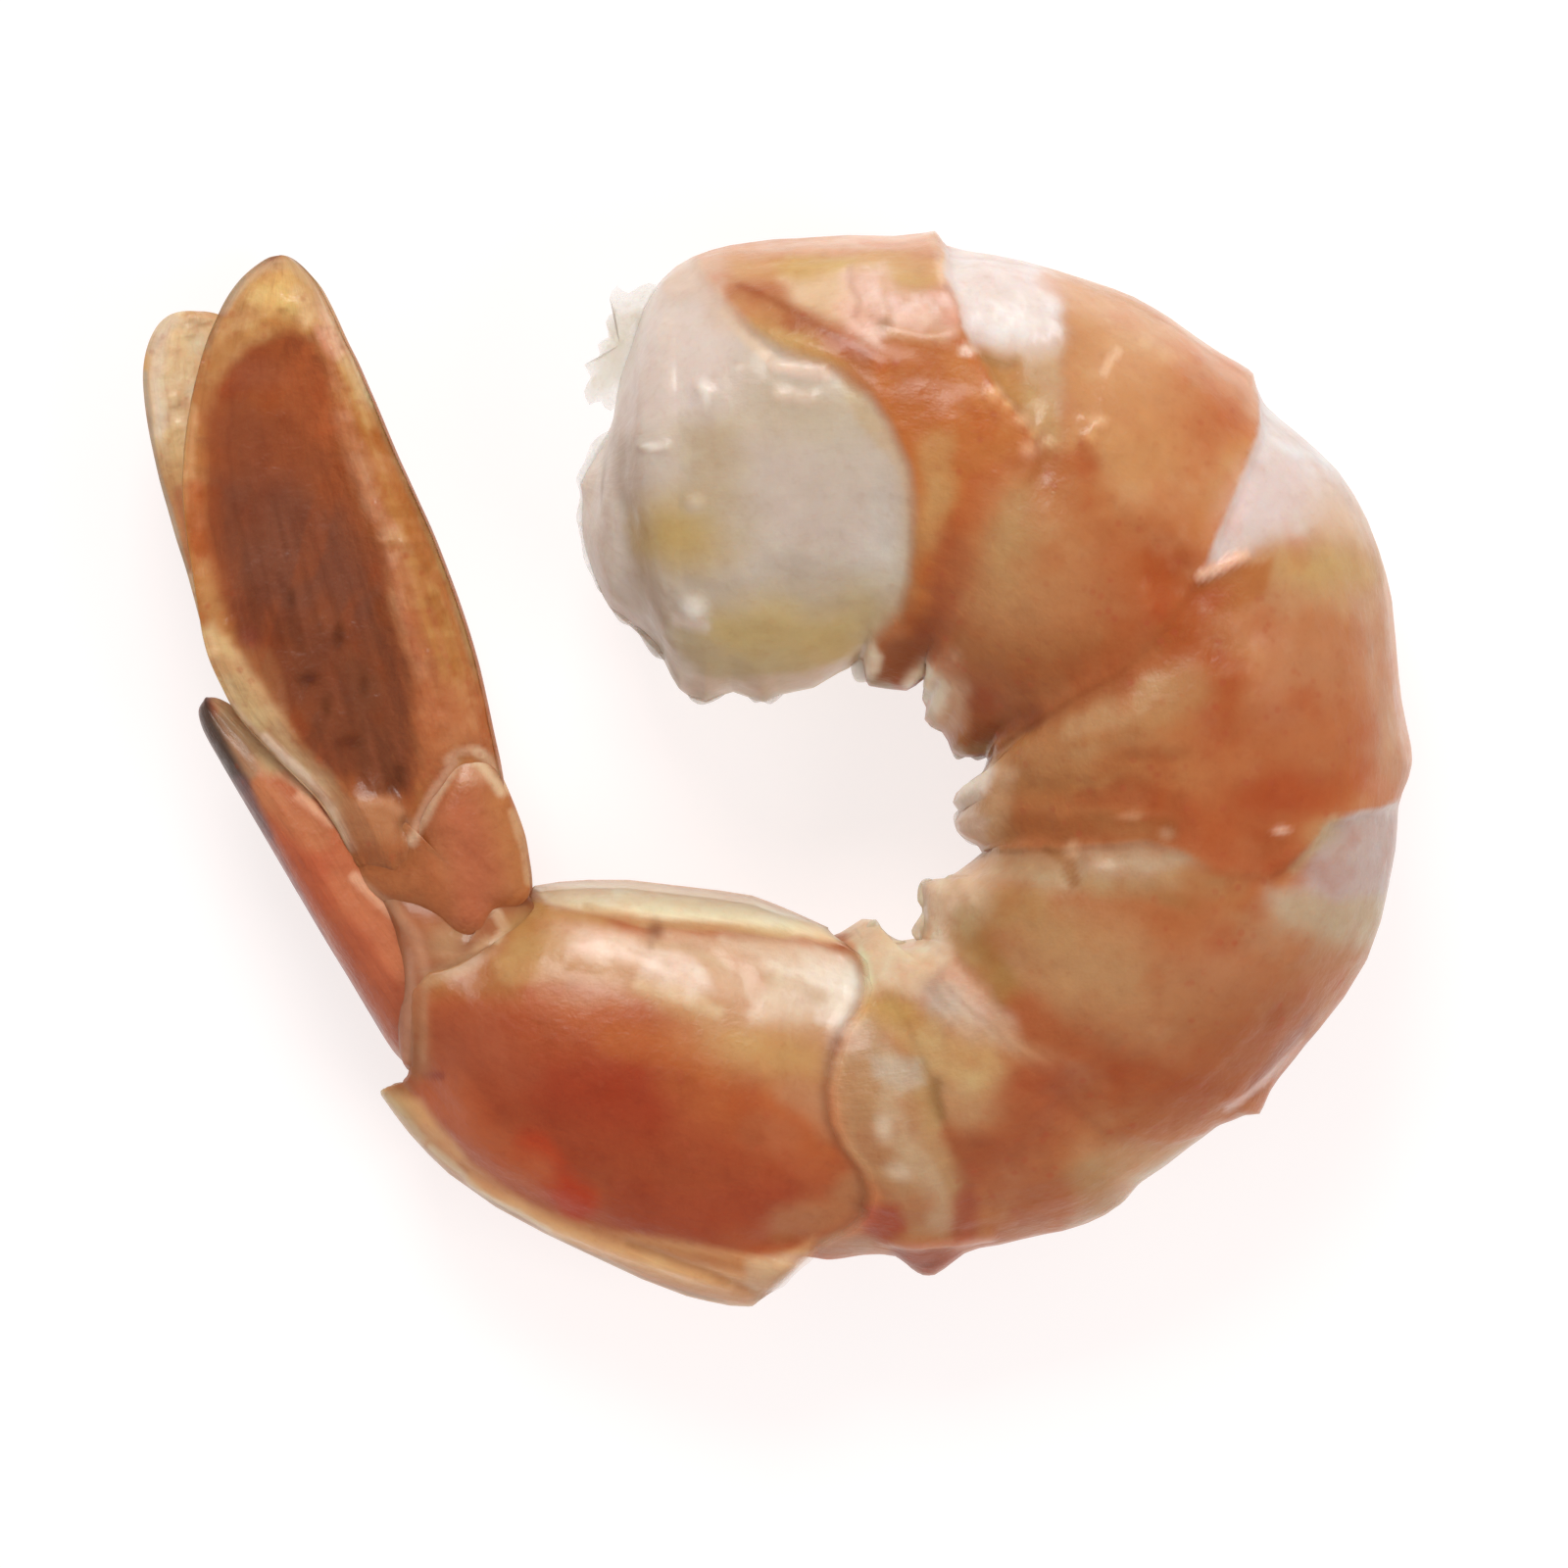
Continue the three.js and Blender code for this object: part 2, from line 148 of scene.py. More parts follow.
def resample(points, n, closed=False, bunch=None):
    """n points at equal steps along a smooth curve through the given ones."""
    p = np.asarray(points, float)
    if closed:
        p = np.concatenate([p[-2:], p, p[:3]])
        u = np.linspace(2, len(p) - 3, 40 * len(p))
    else:
        u = np.linspace(0, len(p) - 1, 40 * len(p))
    c = np.stack([through(p[:, 0], u), through(p[:, 1], u)], -1)
    run = np.concatenate([[0], np.cumsum(np.linalg.norm(np.diff(c, axis=0), axis=1))])
    f = np.linspace(0, 1, n + 1)[:-1] if closed else np.linspace(0, 1, n)
    if bunch is not None:
        f = bunch(f)
    at = f * run[-1]
    return np.stack([np.interp(at, run, c[:, 0]), np.interp(at, run, c[:, 1])], -1)


class Drawing:
    """Masks over a set of points, from lines, areas and spots."""
    fade = 1.0

    def __init__(self, p, wobble=7.0, seed=3):
        uv = plane(p)
        fine = np.stack([fractal(p, 2.2, 3, seed), fractal(p, 2.2, 3, seed + 50)], -1)
        self.uv = uv + wobble * 1.6 * fine

    def _segments(self, line):
        a = np.asarray(line, float)
        best = np.full(self.uv.shape[:-1], 1e9)
        side = np.zeros_like(best)
        for p0, p1 in zip(a[:-1], a[1:]):
            d = p1 - p0
            w = self.uv - p0
            t = np.clip((w @ d) / max(d @ d, 1e-9), 0, 1)
            e = w - t[..., None] * d
            r = np.hypot(e[..., 0], e[..., 1])
            s = np.sign(d[0] * w[..., 1] - d[1] * w[..., 0])
            near = r < best
            best = np.where(near, r, best)
            side = np.where(near, s, side)
        return best, side

    def line(self, line, r, soft=0.6):
        d, _ = self._segments(line)
        return (1 - smooth(r * (1 - soft), r * (1 + soft), d)) * self.fade

    def ridge(self, line, r):
        d, _ = self._segments(line)
        return np.exp(-((d / r) ** 2))

    def across(self, line):
        """Signed distance: positive on the right of the line's direction as drawn, with v down."""
        d, s = self._segments([p[:2] for p in line])
        return d * s

    def level(self, line):
        """The third number of the line's points, at the nearest place on it."""
        a = np.asarray(line, float)
        best = np.full(self.uv.shape[:-1], 1e9)
        out = np.zeros_like(best)
        for p0, p1 in zip(a[:-1], a[1:]):
            d = p1[:2] - p0[:2]
            w = self.uv - p0[:2]
            t = np.clip((w @ d) / max(d @ d, 1e-9), 0, 1)
            e = w - t[..., None] * d
            r = np.hypot(e[..., 0], e[..., 1])
            near = r < best
            best = np.where(near, r, best)
            out = np.where(near, p0[2] + (p1[2] - p0[2]) * t, out)
        return out

    def area(self, outline, soft=10.0):
        a = np.asarray(list(outline) + [outline[0]], float)
        return smooth(-soft, soft, signed(self.uv, a[:-1])) * self.fade

    def spot(self, centre, r, turn=0.0, soft=0.9):
        rx, ry = (r, r) if np.isscalar(r) else r
        w = self.uv - np.asarray(centre, float)
        c, s = math.cos(turn), math.sin(turn)
        x, y = (w[..., 0] * c + w[..., 1] * s) / rx, (-w[..., 0] * s + w[..., 1] * c) / ry
        return (1 - smooth(1 - soft, 1 + soft, np.hypot(x, y))) * self.fade


def mix(base, colour, mask):
    m = np.clip(mask, 0, 1)[..., None]
    return base * (1 - m) + np.asarray(colour) * m


# ---------------------------------------------------------------------------
# Colours of cooked shrimp
# ---------------------------------------------------------------------------
DEEP = (0.36, 0.062, 0.026)
RED = (0.44, 0.09, 0.034)
ORANGE = (0.52, 0.165, 0.062)
RUST = (0.37, 0.11, 0.038)
BROWN = (0.27, 0.082, 0.03)
TAN = (0.56, 0.27, 0.115)
SAND = (0.62, 0.37, 0.17)
STRAW = (0.50, 0.33, 0.145)
PALE = (0.78, 0.47, 0.27)
PINK = (0.90, 0.56, 0.41)
CREAM = (0.84, 0.62, 0.42)
WHITE = (0.88, 0.75, 0.67)
FLESH = (0.66, 0.52, 0.43)
LILAC = (0.63, 0.46, 0.41)
AMBER = (0.66, 0.33, 0.11)
HONEY = (0.80, 0.50, 0.20)
UMBER = (0.19, 0.062, 0.028)
GREY = (0.16, 0.10, 0.07)


# ---------------------------------------------------------------------------
# Meshes
# ---------------------------------------------------------------------------
def band(rows, cols, round_, start=0):
    i, j = np.meshgrid(np.arange(rows - 1), np.arange(cols if round_ else cols - 1), indexing="ij")
    k = (j + 1) % cols
    return (start + np.stack([i * cols + j, i * cols + k, (i + 1) * cols + k, (i + 1) * cols + j], -1)).reshape(-1, 4)


def solid(name, verts, quads, tris=(), **layers):
    """A closed mesh from points in millimetres. Layers are numbers or colours per point."""
    verts = np.asarray(verts, float)
    quads = np.asarray(quads, np.int64).reshape(-1, 4)
    tris = np.asarray(tris, np.int64).reshape(-1, 3)
    split = np.concatenate([quads[:, [0, 1, 2]], quads[:, [0, 2, 3]], tris]) if len(quads) else tris
    a, b, c = (verts[split[:, k]] for k in range(3))
    if np.einsum("ij,ij->i", a, np.cross(b, c)).sum() < 0:
        quads, tris = quads[:, ::-1], tris[:, ::-1]
    mesh = bpy.data.meshes.new(name)
    nq, nt = len(quads), len(tris)
    mesh.vertices.add(len(verts))
    mesh.vertices.foreach_set("co", (verts * 0.001).astype(np.float32).ravel())
    mesh.loops.add(4 * nq + 3 * nt)
    mesh.loops.foreach_set("vertex_index", np.concatenate([quads.ravel(), tris.ravel()]).astype(np.int32))
    mesh.polygons.add(nq + nt)
    starts = np.concatenate([np.arange(nq) * 4, 4 * nq + np.arange(nt) * 3]).astype(np.int32)
    mesh.polygons.foreach_set("loop_start", starts)
    mesh.update(calc_edges=True)
    mesh.validate()
    mesh.polygons.foreach_set("use_smooth", np.ones(len(mesh.polygons), bool))
    layers.setdefault("grit", np.ones(len(verts)))
    for key, value in layers.items():
        value = np.asarray(value, np.float32)
        if value.ndim == 2 and value.shape[1] == 3 and key == "tint":
            layer = mesh.attributes.new(key, "FLOAT_COLOR", "POINT")
            rgba = np.concatenate([value.clip(0.004, 0.97), np.ones((len(value), 1), np.float32)], 1)
            layer.data.foreach_set("color", rgba.ravel())
        elif value.ndim == 2:
            layer = mesh.attributes.new(key, "FLOAT_VECTOR", "POINT")
            layer.data.foreach_set("vector", value.ravel())
        else:
            layer = mesh.attributes.new(key, "FLOAT", "POINT")
            layer.data.foreach_set("value", value.ravel())
    mesh.update()
    o = bpy.data.objects.new(name, mesh)
    bpy.context.scene.collection.objects.link(o)
    return o


def grid_normals(g, round_=True):
    """Unit normals of a grid of points [i, j, 3]."""
    du = np.gradient(g, axis=0)
    if round_:
        dv = (np.roll(g, -1, 1) - np.roll(g, 1, 1)) / 2
    else:
        dv = np.gradient(g, axis=1)
    n = np.cross(dv, du)
    length = np.linalg.norm(n, axis=-1, keepdims=True)
    return n / np.maximum(length, 1e-9)


def settle(o, node):
    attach(o, "root")
    if node:
        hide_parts(node)
    return o


# ---------------------------------------------------------------------------
# Finishes
# ---------------------------------------------------------------------------
def finish(name, rough=0.36, coat=0.3, coat_rough=0.14, sss=0.35, radius=(2.2, 0.8, 0.4), fine=0.3,
           bump=0.3, fibre=0.0, clear=False, specular=0.22):
    """Moist food: the painted tint, broken up by mottling, pigment dots and fibres."""
    m = bpy.data.materials.new(name)
    m.use_nodes = True
    nodes, links = m.node_tree.nodes, m.node_tree.links
    nodes.clear()
    out = nodes.new("ShaderNodeOutputMaterial")
    bsdf = nodes.new("ShaderNodeBsdfPrincipled")
    links.new(bsdf.outputs[0], out.inputs["Surface"])

    def attribute(key):
        a = nodes.new("ShaderNodeAttribute")
        a.attribute_name = key
        return a

    def combine(op, a, b, clamp=False):
        n = nodes.new("ShaderNodeMath")
        n.operation = op
        n.use_clamp = clamp
        for socket, value in zip(n.inputs, (a, b)):
            if isinstance(value, (int, float)):
                socket.default_value = value
            else:
                links.new(value, socket)
        return n.outputs[0]

    def texture(kind, scale, detail, vector, roughness=0.55):
        n = nodes.new(kind)
        n.inputs["Scale"].default_value = scale
        if "Detail" in n.inputs:
            n.inputs["Detail"].default_value = detail
        if "Roughness" in n.inputs:
            n.inputs["Roughness"].default_value = roughness
        links.new(vector, n.inputs["Vector"])
        return n

    def ramp(value, lo, hi, a=0.0, b=1.0):
        n = nodes.new("ShaderNodeMapRange")
        n.interpolation_type = "SMOOTHSTEP"
        for key, number in (("From Min", lo), ("From Max", hi), ("To Min", a), ("To Max", b)):
            n.inputs[key].default_value = number
        links.new(value, n.inputs["Value"])
        return n.outputs["Result"]

    def blend(kind, factor, a, b):
        n = nodes.new("ShaderNodeMix")
        n.data_type = "RGBA"
        n.blend_type = kind
        n.clamp_result = False
        for key, value in (("Factor", factor), ("A", a), ("B", b)):
            socket = [s for s in n.inputs if s.name == key and s.type == ("RGBA" if key in "AB" else "VALUE")][0]
            if isinstance(value, (int, float)):
                socket.default_value = value
            elif isinstance(value, tuple):
                socket.default_value = (*value, 1.0)
            else:
                links.new(value, socket)
        return [s for s in n.outputs if s.type == "RGBA"][0]

    where = nodes.new("ShaderNodeTexCoord").outputs["Object"]
    tint = attribute("tint").outputs["Color"]
    speck = attribute("speck").outputs["Fac"]
    mottle = texture("ShaderNodeTexNoise", 620.0, 4.0, where)
    grain = texture("ShaderNodeTexNoise", 2300.0, 3.0, where)
    colour = blend("MULTIPLY", ramp(mottle.outputs["Fac"], 0.48, 0.78, 0.0, fine), tint, (0.66, 0.52, 0.42))
    colour = blend("MULTIPLY", ramp(mottle.outputs["Fac"], 0.50, 0.24, 0.0, fine), colour, (1.18, 1.26, 1.26))
    colour = blend("MULTIPLY", ramp(grain.outputs["Fac"], 0.5, 0.8, 0.0, fine), colour, (0.80, 0.64, 0.54))
    dots = texture("ShaderNodeTexVoronoi", 1500.0, 0.0, where)
    dot = combine("MULTIPLY", ramp(dots.outputs["Distance"], 0.34, 0.12), ramp(mottle.outputs["Fac"], 0.42, 0.6))
    dot = combine("MULTIPLY", dot, speck, True)
    colour = blend("MIX", dot, colour, (0.40, 0.07, 0.024))
    height = grain.outputs["Fac"]
    if fibre:
        flow = attribute("flow").outputs["Vector"]
        strands = texture("ShaderNodeTexNoise", 1.0, 3.0, flow, 0.6)
        colour = blend("MULTIPLY", ramp(strands.outputs["Fac"], 0.48, 0.75, 0.0, fibre), colour, (0.70, 0.52, 0.42))
        colour = blend("MULTIPLY", ramp(strands.outputs["Fac"], 0.5, 0.25, 0.0, fibre), colour, (1.12, 1.2, 1.2))
        height = combine("ADD", height, combine("MULTIPLY", strands.outputs["Fac"], 1.2))
    links.new(colour, bsdf.inputs["Base Color"])

    coarse = texture("ShaderNodeTexNoise", 900.0, 3.0, where)
    height = combine("ADD", height, combine("MULTIPLY", coarse.outputs["Fac"], 1.8))
    bumps = nodes.new("ShaderNodeBump")
    links.new(combine("MULTIPLY", attribute("grit").outputs["Fac"], bump), bumps.inputs["Strength"])
    bumps.inputs["Distance"].default_value = 0.00018
    links.new(height, bumps.inputs["Height"])
    links.new(bumps.outputs["Normal"], bsdf.inputs["Normal"])
    links.new(ramp(coarse.outputs["Fac"], 0.3, 0.7, rough * 0.8, rough * 1.25), bsdf.inputs["Roughness"])

    bsdf.inputs["Specular IOR Level"].default_value = specular
    bsdf.inputs["Coat Weight"].default_value = coat
    bsdf.inputs["Coat Roughness"].default_value = coat_rough
    if sss:
        bsdf.inputs["Subsurface Weight"].default_value = sss
        bsdf.inputs["Subsurface Radius"].default_value = radius
        bsdf.inputs["Subsurface Scale"].default_value = 0.001
    if clear:
        links.new(attribute("cover").outputs["Fac"], bsdf.inputs["Alpha"])
    return m


MEAT = finish("meat", rough=0.38, coat=0.26, coat_rough=0.2, sss=0.4, fine=0.22, fibre=0.05, bump=0.32)
SHELL = finish("shell", rough=0.36, coat=0.34, coat_rough=0.22, sss=0.25, fine=0.3, bump=0.3, fibre=0.14, clear=True, specular=0.16)
FAN = finish("fan", rough=0.36, coat=0.28, coat_rough=0.18, sss=0.2, fine=0.34, bump=0.4, fibre=0.34, clear=True, specular=0.15)
SKIN = finish("skin", rough=0.34, coat=0.3, coat_rough=0.14, sss=0.3, fine=0.3, bump=0.3, clear=True)


def tone(c, lift=0.02, gain=1.09):
    """Paint that gives the wanted colour once the wet surface adds its reflection of the surroundings."""
    return np.clip((c - lift) / gain, 0.004, 0.95)


# ---------------------------------------------------------------------------
# The body's outline and the edges of its skins, drawn in the plane of the curl.
# The third number of a seam is how sharp it is at that point.
# ---------------------------------------------------------------------------
BODY = [(960, 243), (963, 250), (985, 256), (1010, 260), (1040, 266), (1070, 274), (1093, 281), (1115, 288), (1136, 295),
        (1156, 303), (1176, 314), (1195, 326), (1214, 340), (1231, 352), (1247, 362), (1262, 370), (1277, 380), (1281, 394),
        (1290, 413), (1306, 428), (1326, 444), (1346, 462), (1364, 480), (1380, 504), (1394, 530), (1406, 560), (1414, 586),
        (1420, 612), (1424, 655), (1427, 690), (1430, 715), (1435, 740), (1440, 762), (1441, 778), (1437, 795), (1431, 808),
        (1427, 820), (1426, 842), (1424, 866), (1417, 902), (1409, 940), (1395, 980), (1372, 1018), (1347, 1050), (1330, 1070),
        (1320, 1083), (1306, 1100), (1297, 1113), (1291, 1126), (1286, 1137), (1272, 1138), (1258, 1144), (1244, 1149),
        (1230, 1160), (1212, 1173), (1190, 1190), (1163, 1208), (1146, 1228), (1129, 1240), (1110, 1249), (1085, 1257),
        (1060, 1262), (1040, 1267), (1020, 1272), (1000, 1275), (985, 1280), (974, 1288), (964, 1296), (954, 1302), (944, 1303),
        (934, 1299), (924, 1290), (914, 1283), (900, 1281), (880, 1282), (850, 1286), (800, 1300), (700, 1290), (600, 1220),
        (500, 1080), (560, 960), (680, 960), (800, 975), (858, 952), (880, 938), (895, 939), (898, 959), (915, 961), (939, 957),
        (941, 930), (939, 901), (952, 897), (966, 896), (978, 889), (990, 880), (1002, 870), (998, 863), (985, 858), (977, 850),
        (974, 839), (979, 829), (972, 819), (976, 808), (986, 803), (999, 800), (1003, 788), (1009, 777), (1004, 770),
        (994, 773), (980, 773), (971, 767), (967, 756), (961, 747), (950, 742), (943, 734), (945, 722), (940, 712), (944, 700),
        (942, 691), (936, 699), (925, 705), (905, 703), (886, 700), (880, 690), (890, 682), (896, 668), (886, 662), (876, 675),
        (866, 682), (857, 686), (845, 693), (830, 702), (810, 706), (792, 710), (780, 717), (765, 712), (748, 706), (735, 710),
        (720, 717), (705, 712), (693, 703), (685, 690), (678, 675), (668, 662), (655, 650), (640, 636), (623, 622), (615, 608),
        (607, 590), (600, 570), (595, 550), (593, 530), (594, 510), (598, 488), (603, 470), (611, 455), (622, 438), (628, 418),
        (630, 398), (634, 380), (641, 360), (649, 336), (657, 312), (666, 296), (676, 284), (690, 271), (706, 262), (725, 255),
        (745, 250), (766, 247), (790, 244), (816, 243), (864, 240), (913, 241), (943, 238), (954, 236)]
SEAMS = {
    "one": [(958, 200, 1), (959, 250, 1), (960, 296, 0.9), (974, 322, 0.7), (978, 348, 0.6), (1000, 380, 0.7), (1018, 412, 0.8),
            (1046, 450, 0.8), (1050, 480, 0.5), (1022, 512, 0.22), (998, 556, 0.15), (986, 610, 0.15), (972, 650, 0.35),
            (954, 684, 0.7), (930, 720, 0.7)],
    "two": [(1300, 350, 1), (1280, 392, 0.9), (1277, 440, 0.8), (1262, 486, 0.7), (1240, 536, 0.7), (1222, 588, 0.5),
            (1206, 608, 0.25), (1178, 642, 0.2), (1130, 688, 0.3), (1062, 728, 0.5), (1012, 764, 0.8), (975, 785, 0.8)],
    "three": [(1470, 800, 0.9), (1428, 815, 0.9), (1382, 824, 0.7), (1342, 838, 0.6), (1316, 872, 0.5), (1292, 892, 0.4),
              (1242, 888, 0.2), (1204, 866, 0.3), (1168, 855, 0.4), (1092, 862, 0.5), (1030, 864, 0.5), (990, 864, 0.8), (950, 866, 0.8)],
    "four": [(1310, 1145, 0.7), (1286, 1134, 0.6), (1250, 1145, 0.5), (1190, 1157, 0.4), (1132, 1150, 0.2), (1095, 1122, 0.1),
             (1070, 1092, 0.15), (1022, 1050, 0.2), (982, 1015, 0.2), (956, 976, 0.15), (936, 936, 0.1), (920, 905, 0.1)],
    "five": [(950, 1335, 0.4), (946, 1300, 0.4), (976, 1265, 0.25), (998, 1222, 0.1), (986, 1180, 0.08), (966, 1130, 0.14),
             (950, 1090, 0.2), (930, 1040, 0.15), (900, 1000, 0.1), (880, 960, 0.1)],
}


def meat_relief(p, d, e, flow):
    """Height of the flesh over its plain form, in millimetres. d is a loose drawing, e an exact one."""
    h = 0.14 * fractal(p, 5.0, 3, 11) + 0.06 * fractal(p, 1.5, 3, 12)
    for name, line in SEAMS.items():
        s = -e.across(line)  # positive towards the tail
        k = e.level(line)
        h += 0.30 * k * np.where(s < 0, np.exp(s / 30.0), 1 - smooth(0.0, 9.0, s))
        h -= 0.10 * (0.3 + 0.7 * k) * np.exp(-(((s - 12) / 14.0) ** 2))
    # Shallow grooves along the flank, through the points where the skins pinch.
    h -= 0.24 * d.ridge([(1048, 480), (1110, 520), (1170, 570), (1214, 598)], 34)
    h -= 0.16 * d.ridge([(1214, 598), (1236, 700), (1270, 800), (1294, 886)], 36)
    h -= 0.2 * d.ridge([(1294, 886), (1238, 1000), (1160, 1080), (1096, 1120)], 36)
    for centre, r in [((1050, 478), 20), ((1214, 600), 26), ((1290, 888), 26), ((1096, 1122), 24)]:
        h -= 0.16 * np.exp(-(np.hypot(*(d.uv - centre).transpose(2, 0, 1)) / r) ** 2)
    # Lobes of flesh.
    for centre, r, turn, up in [((1040, 580), (62, 90), 0.2, 0.65), ((1350, 520), (74, 60), 0.6, 0.35),
                                ((1030, 320), (60, 50), 0.3, 0.35), ((1372, 895), (62, 66), 0.3, 0.4),
                                ((1120, 748), (120, 36), -0.35, 0.5), ((1100, 960), (130, 60), 0.4, 0.5),
                                ((920, 1150), (56, 100), 0.1, 0.2), ((1150, 882), (70, 20), 0.05, 0.12),
                                ((1150, 400), (100, 84), 0.0, 0.3), ((1340, 710), (80, 110), 0.1, 0.35),
                                ((1210, 1050), (120, 76), -0.5, 0.35), ((905, 325), (76, 38), 0.15, 0.3),
                                ((970, 500), (44, 110), 0.05, 0.2), ((1010, 1120), (40, 40), 0.0, 0.2), ((1130, 1200), (90, 40), -0.4, 0.3), ((930, 1222), (46, 52), 0.0, 0.36), ((985, 1150), (60, 60), 0.0, 0.2)]:
        h += up * d.spot(centre, r, turn)
    # Folds of skin.
    for line, r, up in [([(1220, 592), (1244, 580), (1262, 573)], 7, 0.3), ([(760, 300), (800, 322), (850, 350), (900, 380)], 12, 0.12),
                        ([(750, 325), (800, 352), (850, 375)], 9, 0.1), ([(958, 996), (1012, 1040), (1070, 1078)], 24, 0.1),
                        ([(905, 346), (940, 354), (970, 350)], 8, 0.14), ([(1000, 758), (1080, 724), (1150, 692), (1190, 674)], 28, -0.2),
                        ([(1040, 806), (1120, 800), (1200, 806)], 14, -0.1), ([(1150, 780), (1200, 772)], 12, -0.05),
                        ([(1230, 650), (1290, 655), (1330, 690)], 14, -0.06), ([(1262, 880), (1300, 850), (1340, 800)], 18, -0.06),
                        ([(1105, 372), (1112, 388)], 10, -0.05), ([(955, 1104), (953, 1120), (958, 1138)], 9, -0.16),
                        ([(1085, 862), (1096, 880), (1092, 898)], 9, -0.16), ([(1186, 850), (1196, 870), (1186, 880)], 9, -0.1),
                        ([(716, 400), (724, 405)], 7, 0.2), ([(795, 378), (840, 386)], 6, 0.22), ([(655, 458), (682, 460)], 5, 0.16),
                        ([(795, 410), (830, 412)], 6, 0.14), ([(900, 1262), (960, 1262), (1010, 1256)], 6, 0.25),
                        ([(1325, 1062), (1290, 1096), (1250, 1126)], 7, -0.14)]:
        h += up * e.ridge(line, r)
    for centre, r, up in [((1302, 848), (12, 8), 0.06), ((1150, 833), (14, 7), 0.05), ((1094, 868), (8, 9), 0.05), ((1126, 882), (16, 6), 0.04),
                          ((1262, 518), (8, 18), 0.1), ((708, 622), (12, 11), 0.3), ((1128, 378), (6, 14), 0.06), ((710, 515), (9, 7), 0.16)]:
        h += up * e.spot(centre, r)
    # The edge of the skin over the bare flesh of the cut end.
    s = e.across([(690, 235), (720, 290), (742, 320), (775, 348), (808, 366), (850, 380), (884, 404), (908, 440), (926, 480),
                  (932, 530), (929, 590), (917, 628), (896, 652), (880, 680)])
    h += 0.2 * smooth(6.0, -6.0, s) * np.exp(-np.clip(-s, 0, 200) / 60.0)
    cut = smooth(0, 40, s) * smooth(1010, 900, d.uv[..., 0]) * smooth(780, 720, d.uv[..., 1])
    h += cut * (0.30 * fractal(p, 4.2, 2, 41) + 0.12 * np.abs(fractal(p, 2.4, 3, 42)))
    # Small bumps along the first skin's edge and on the second segment.
    for centre, r in [((1012, 408), 8), ((1024, 420), 6), ((1039, 434), 8), ((1050, 446), 6), ((1058, 438), 5), ((1046, 464), 9),
                      ((1064, 458), 7), ((990, 372), 7), ((1112, 440), 8), ((1121, 436), 6), ((1106, 452), 6), ((1100, 434), 5)]:
        h += 0.13 * e.spot(centre, r)
    h += 0.025 * noise(flow * [0.35, 2.2, 0.0], 1.0, 81) * (1 - cut)
    return h


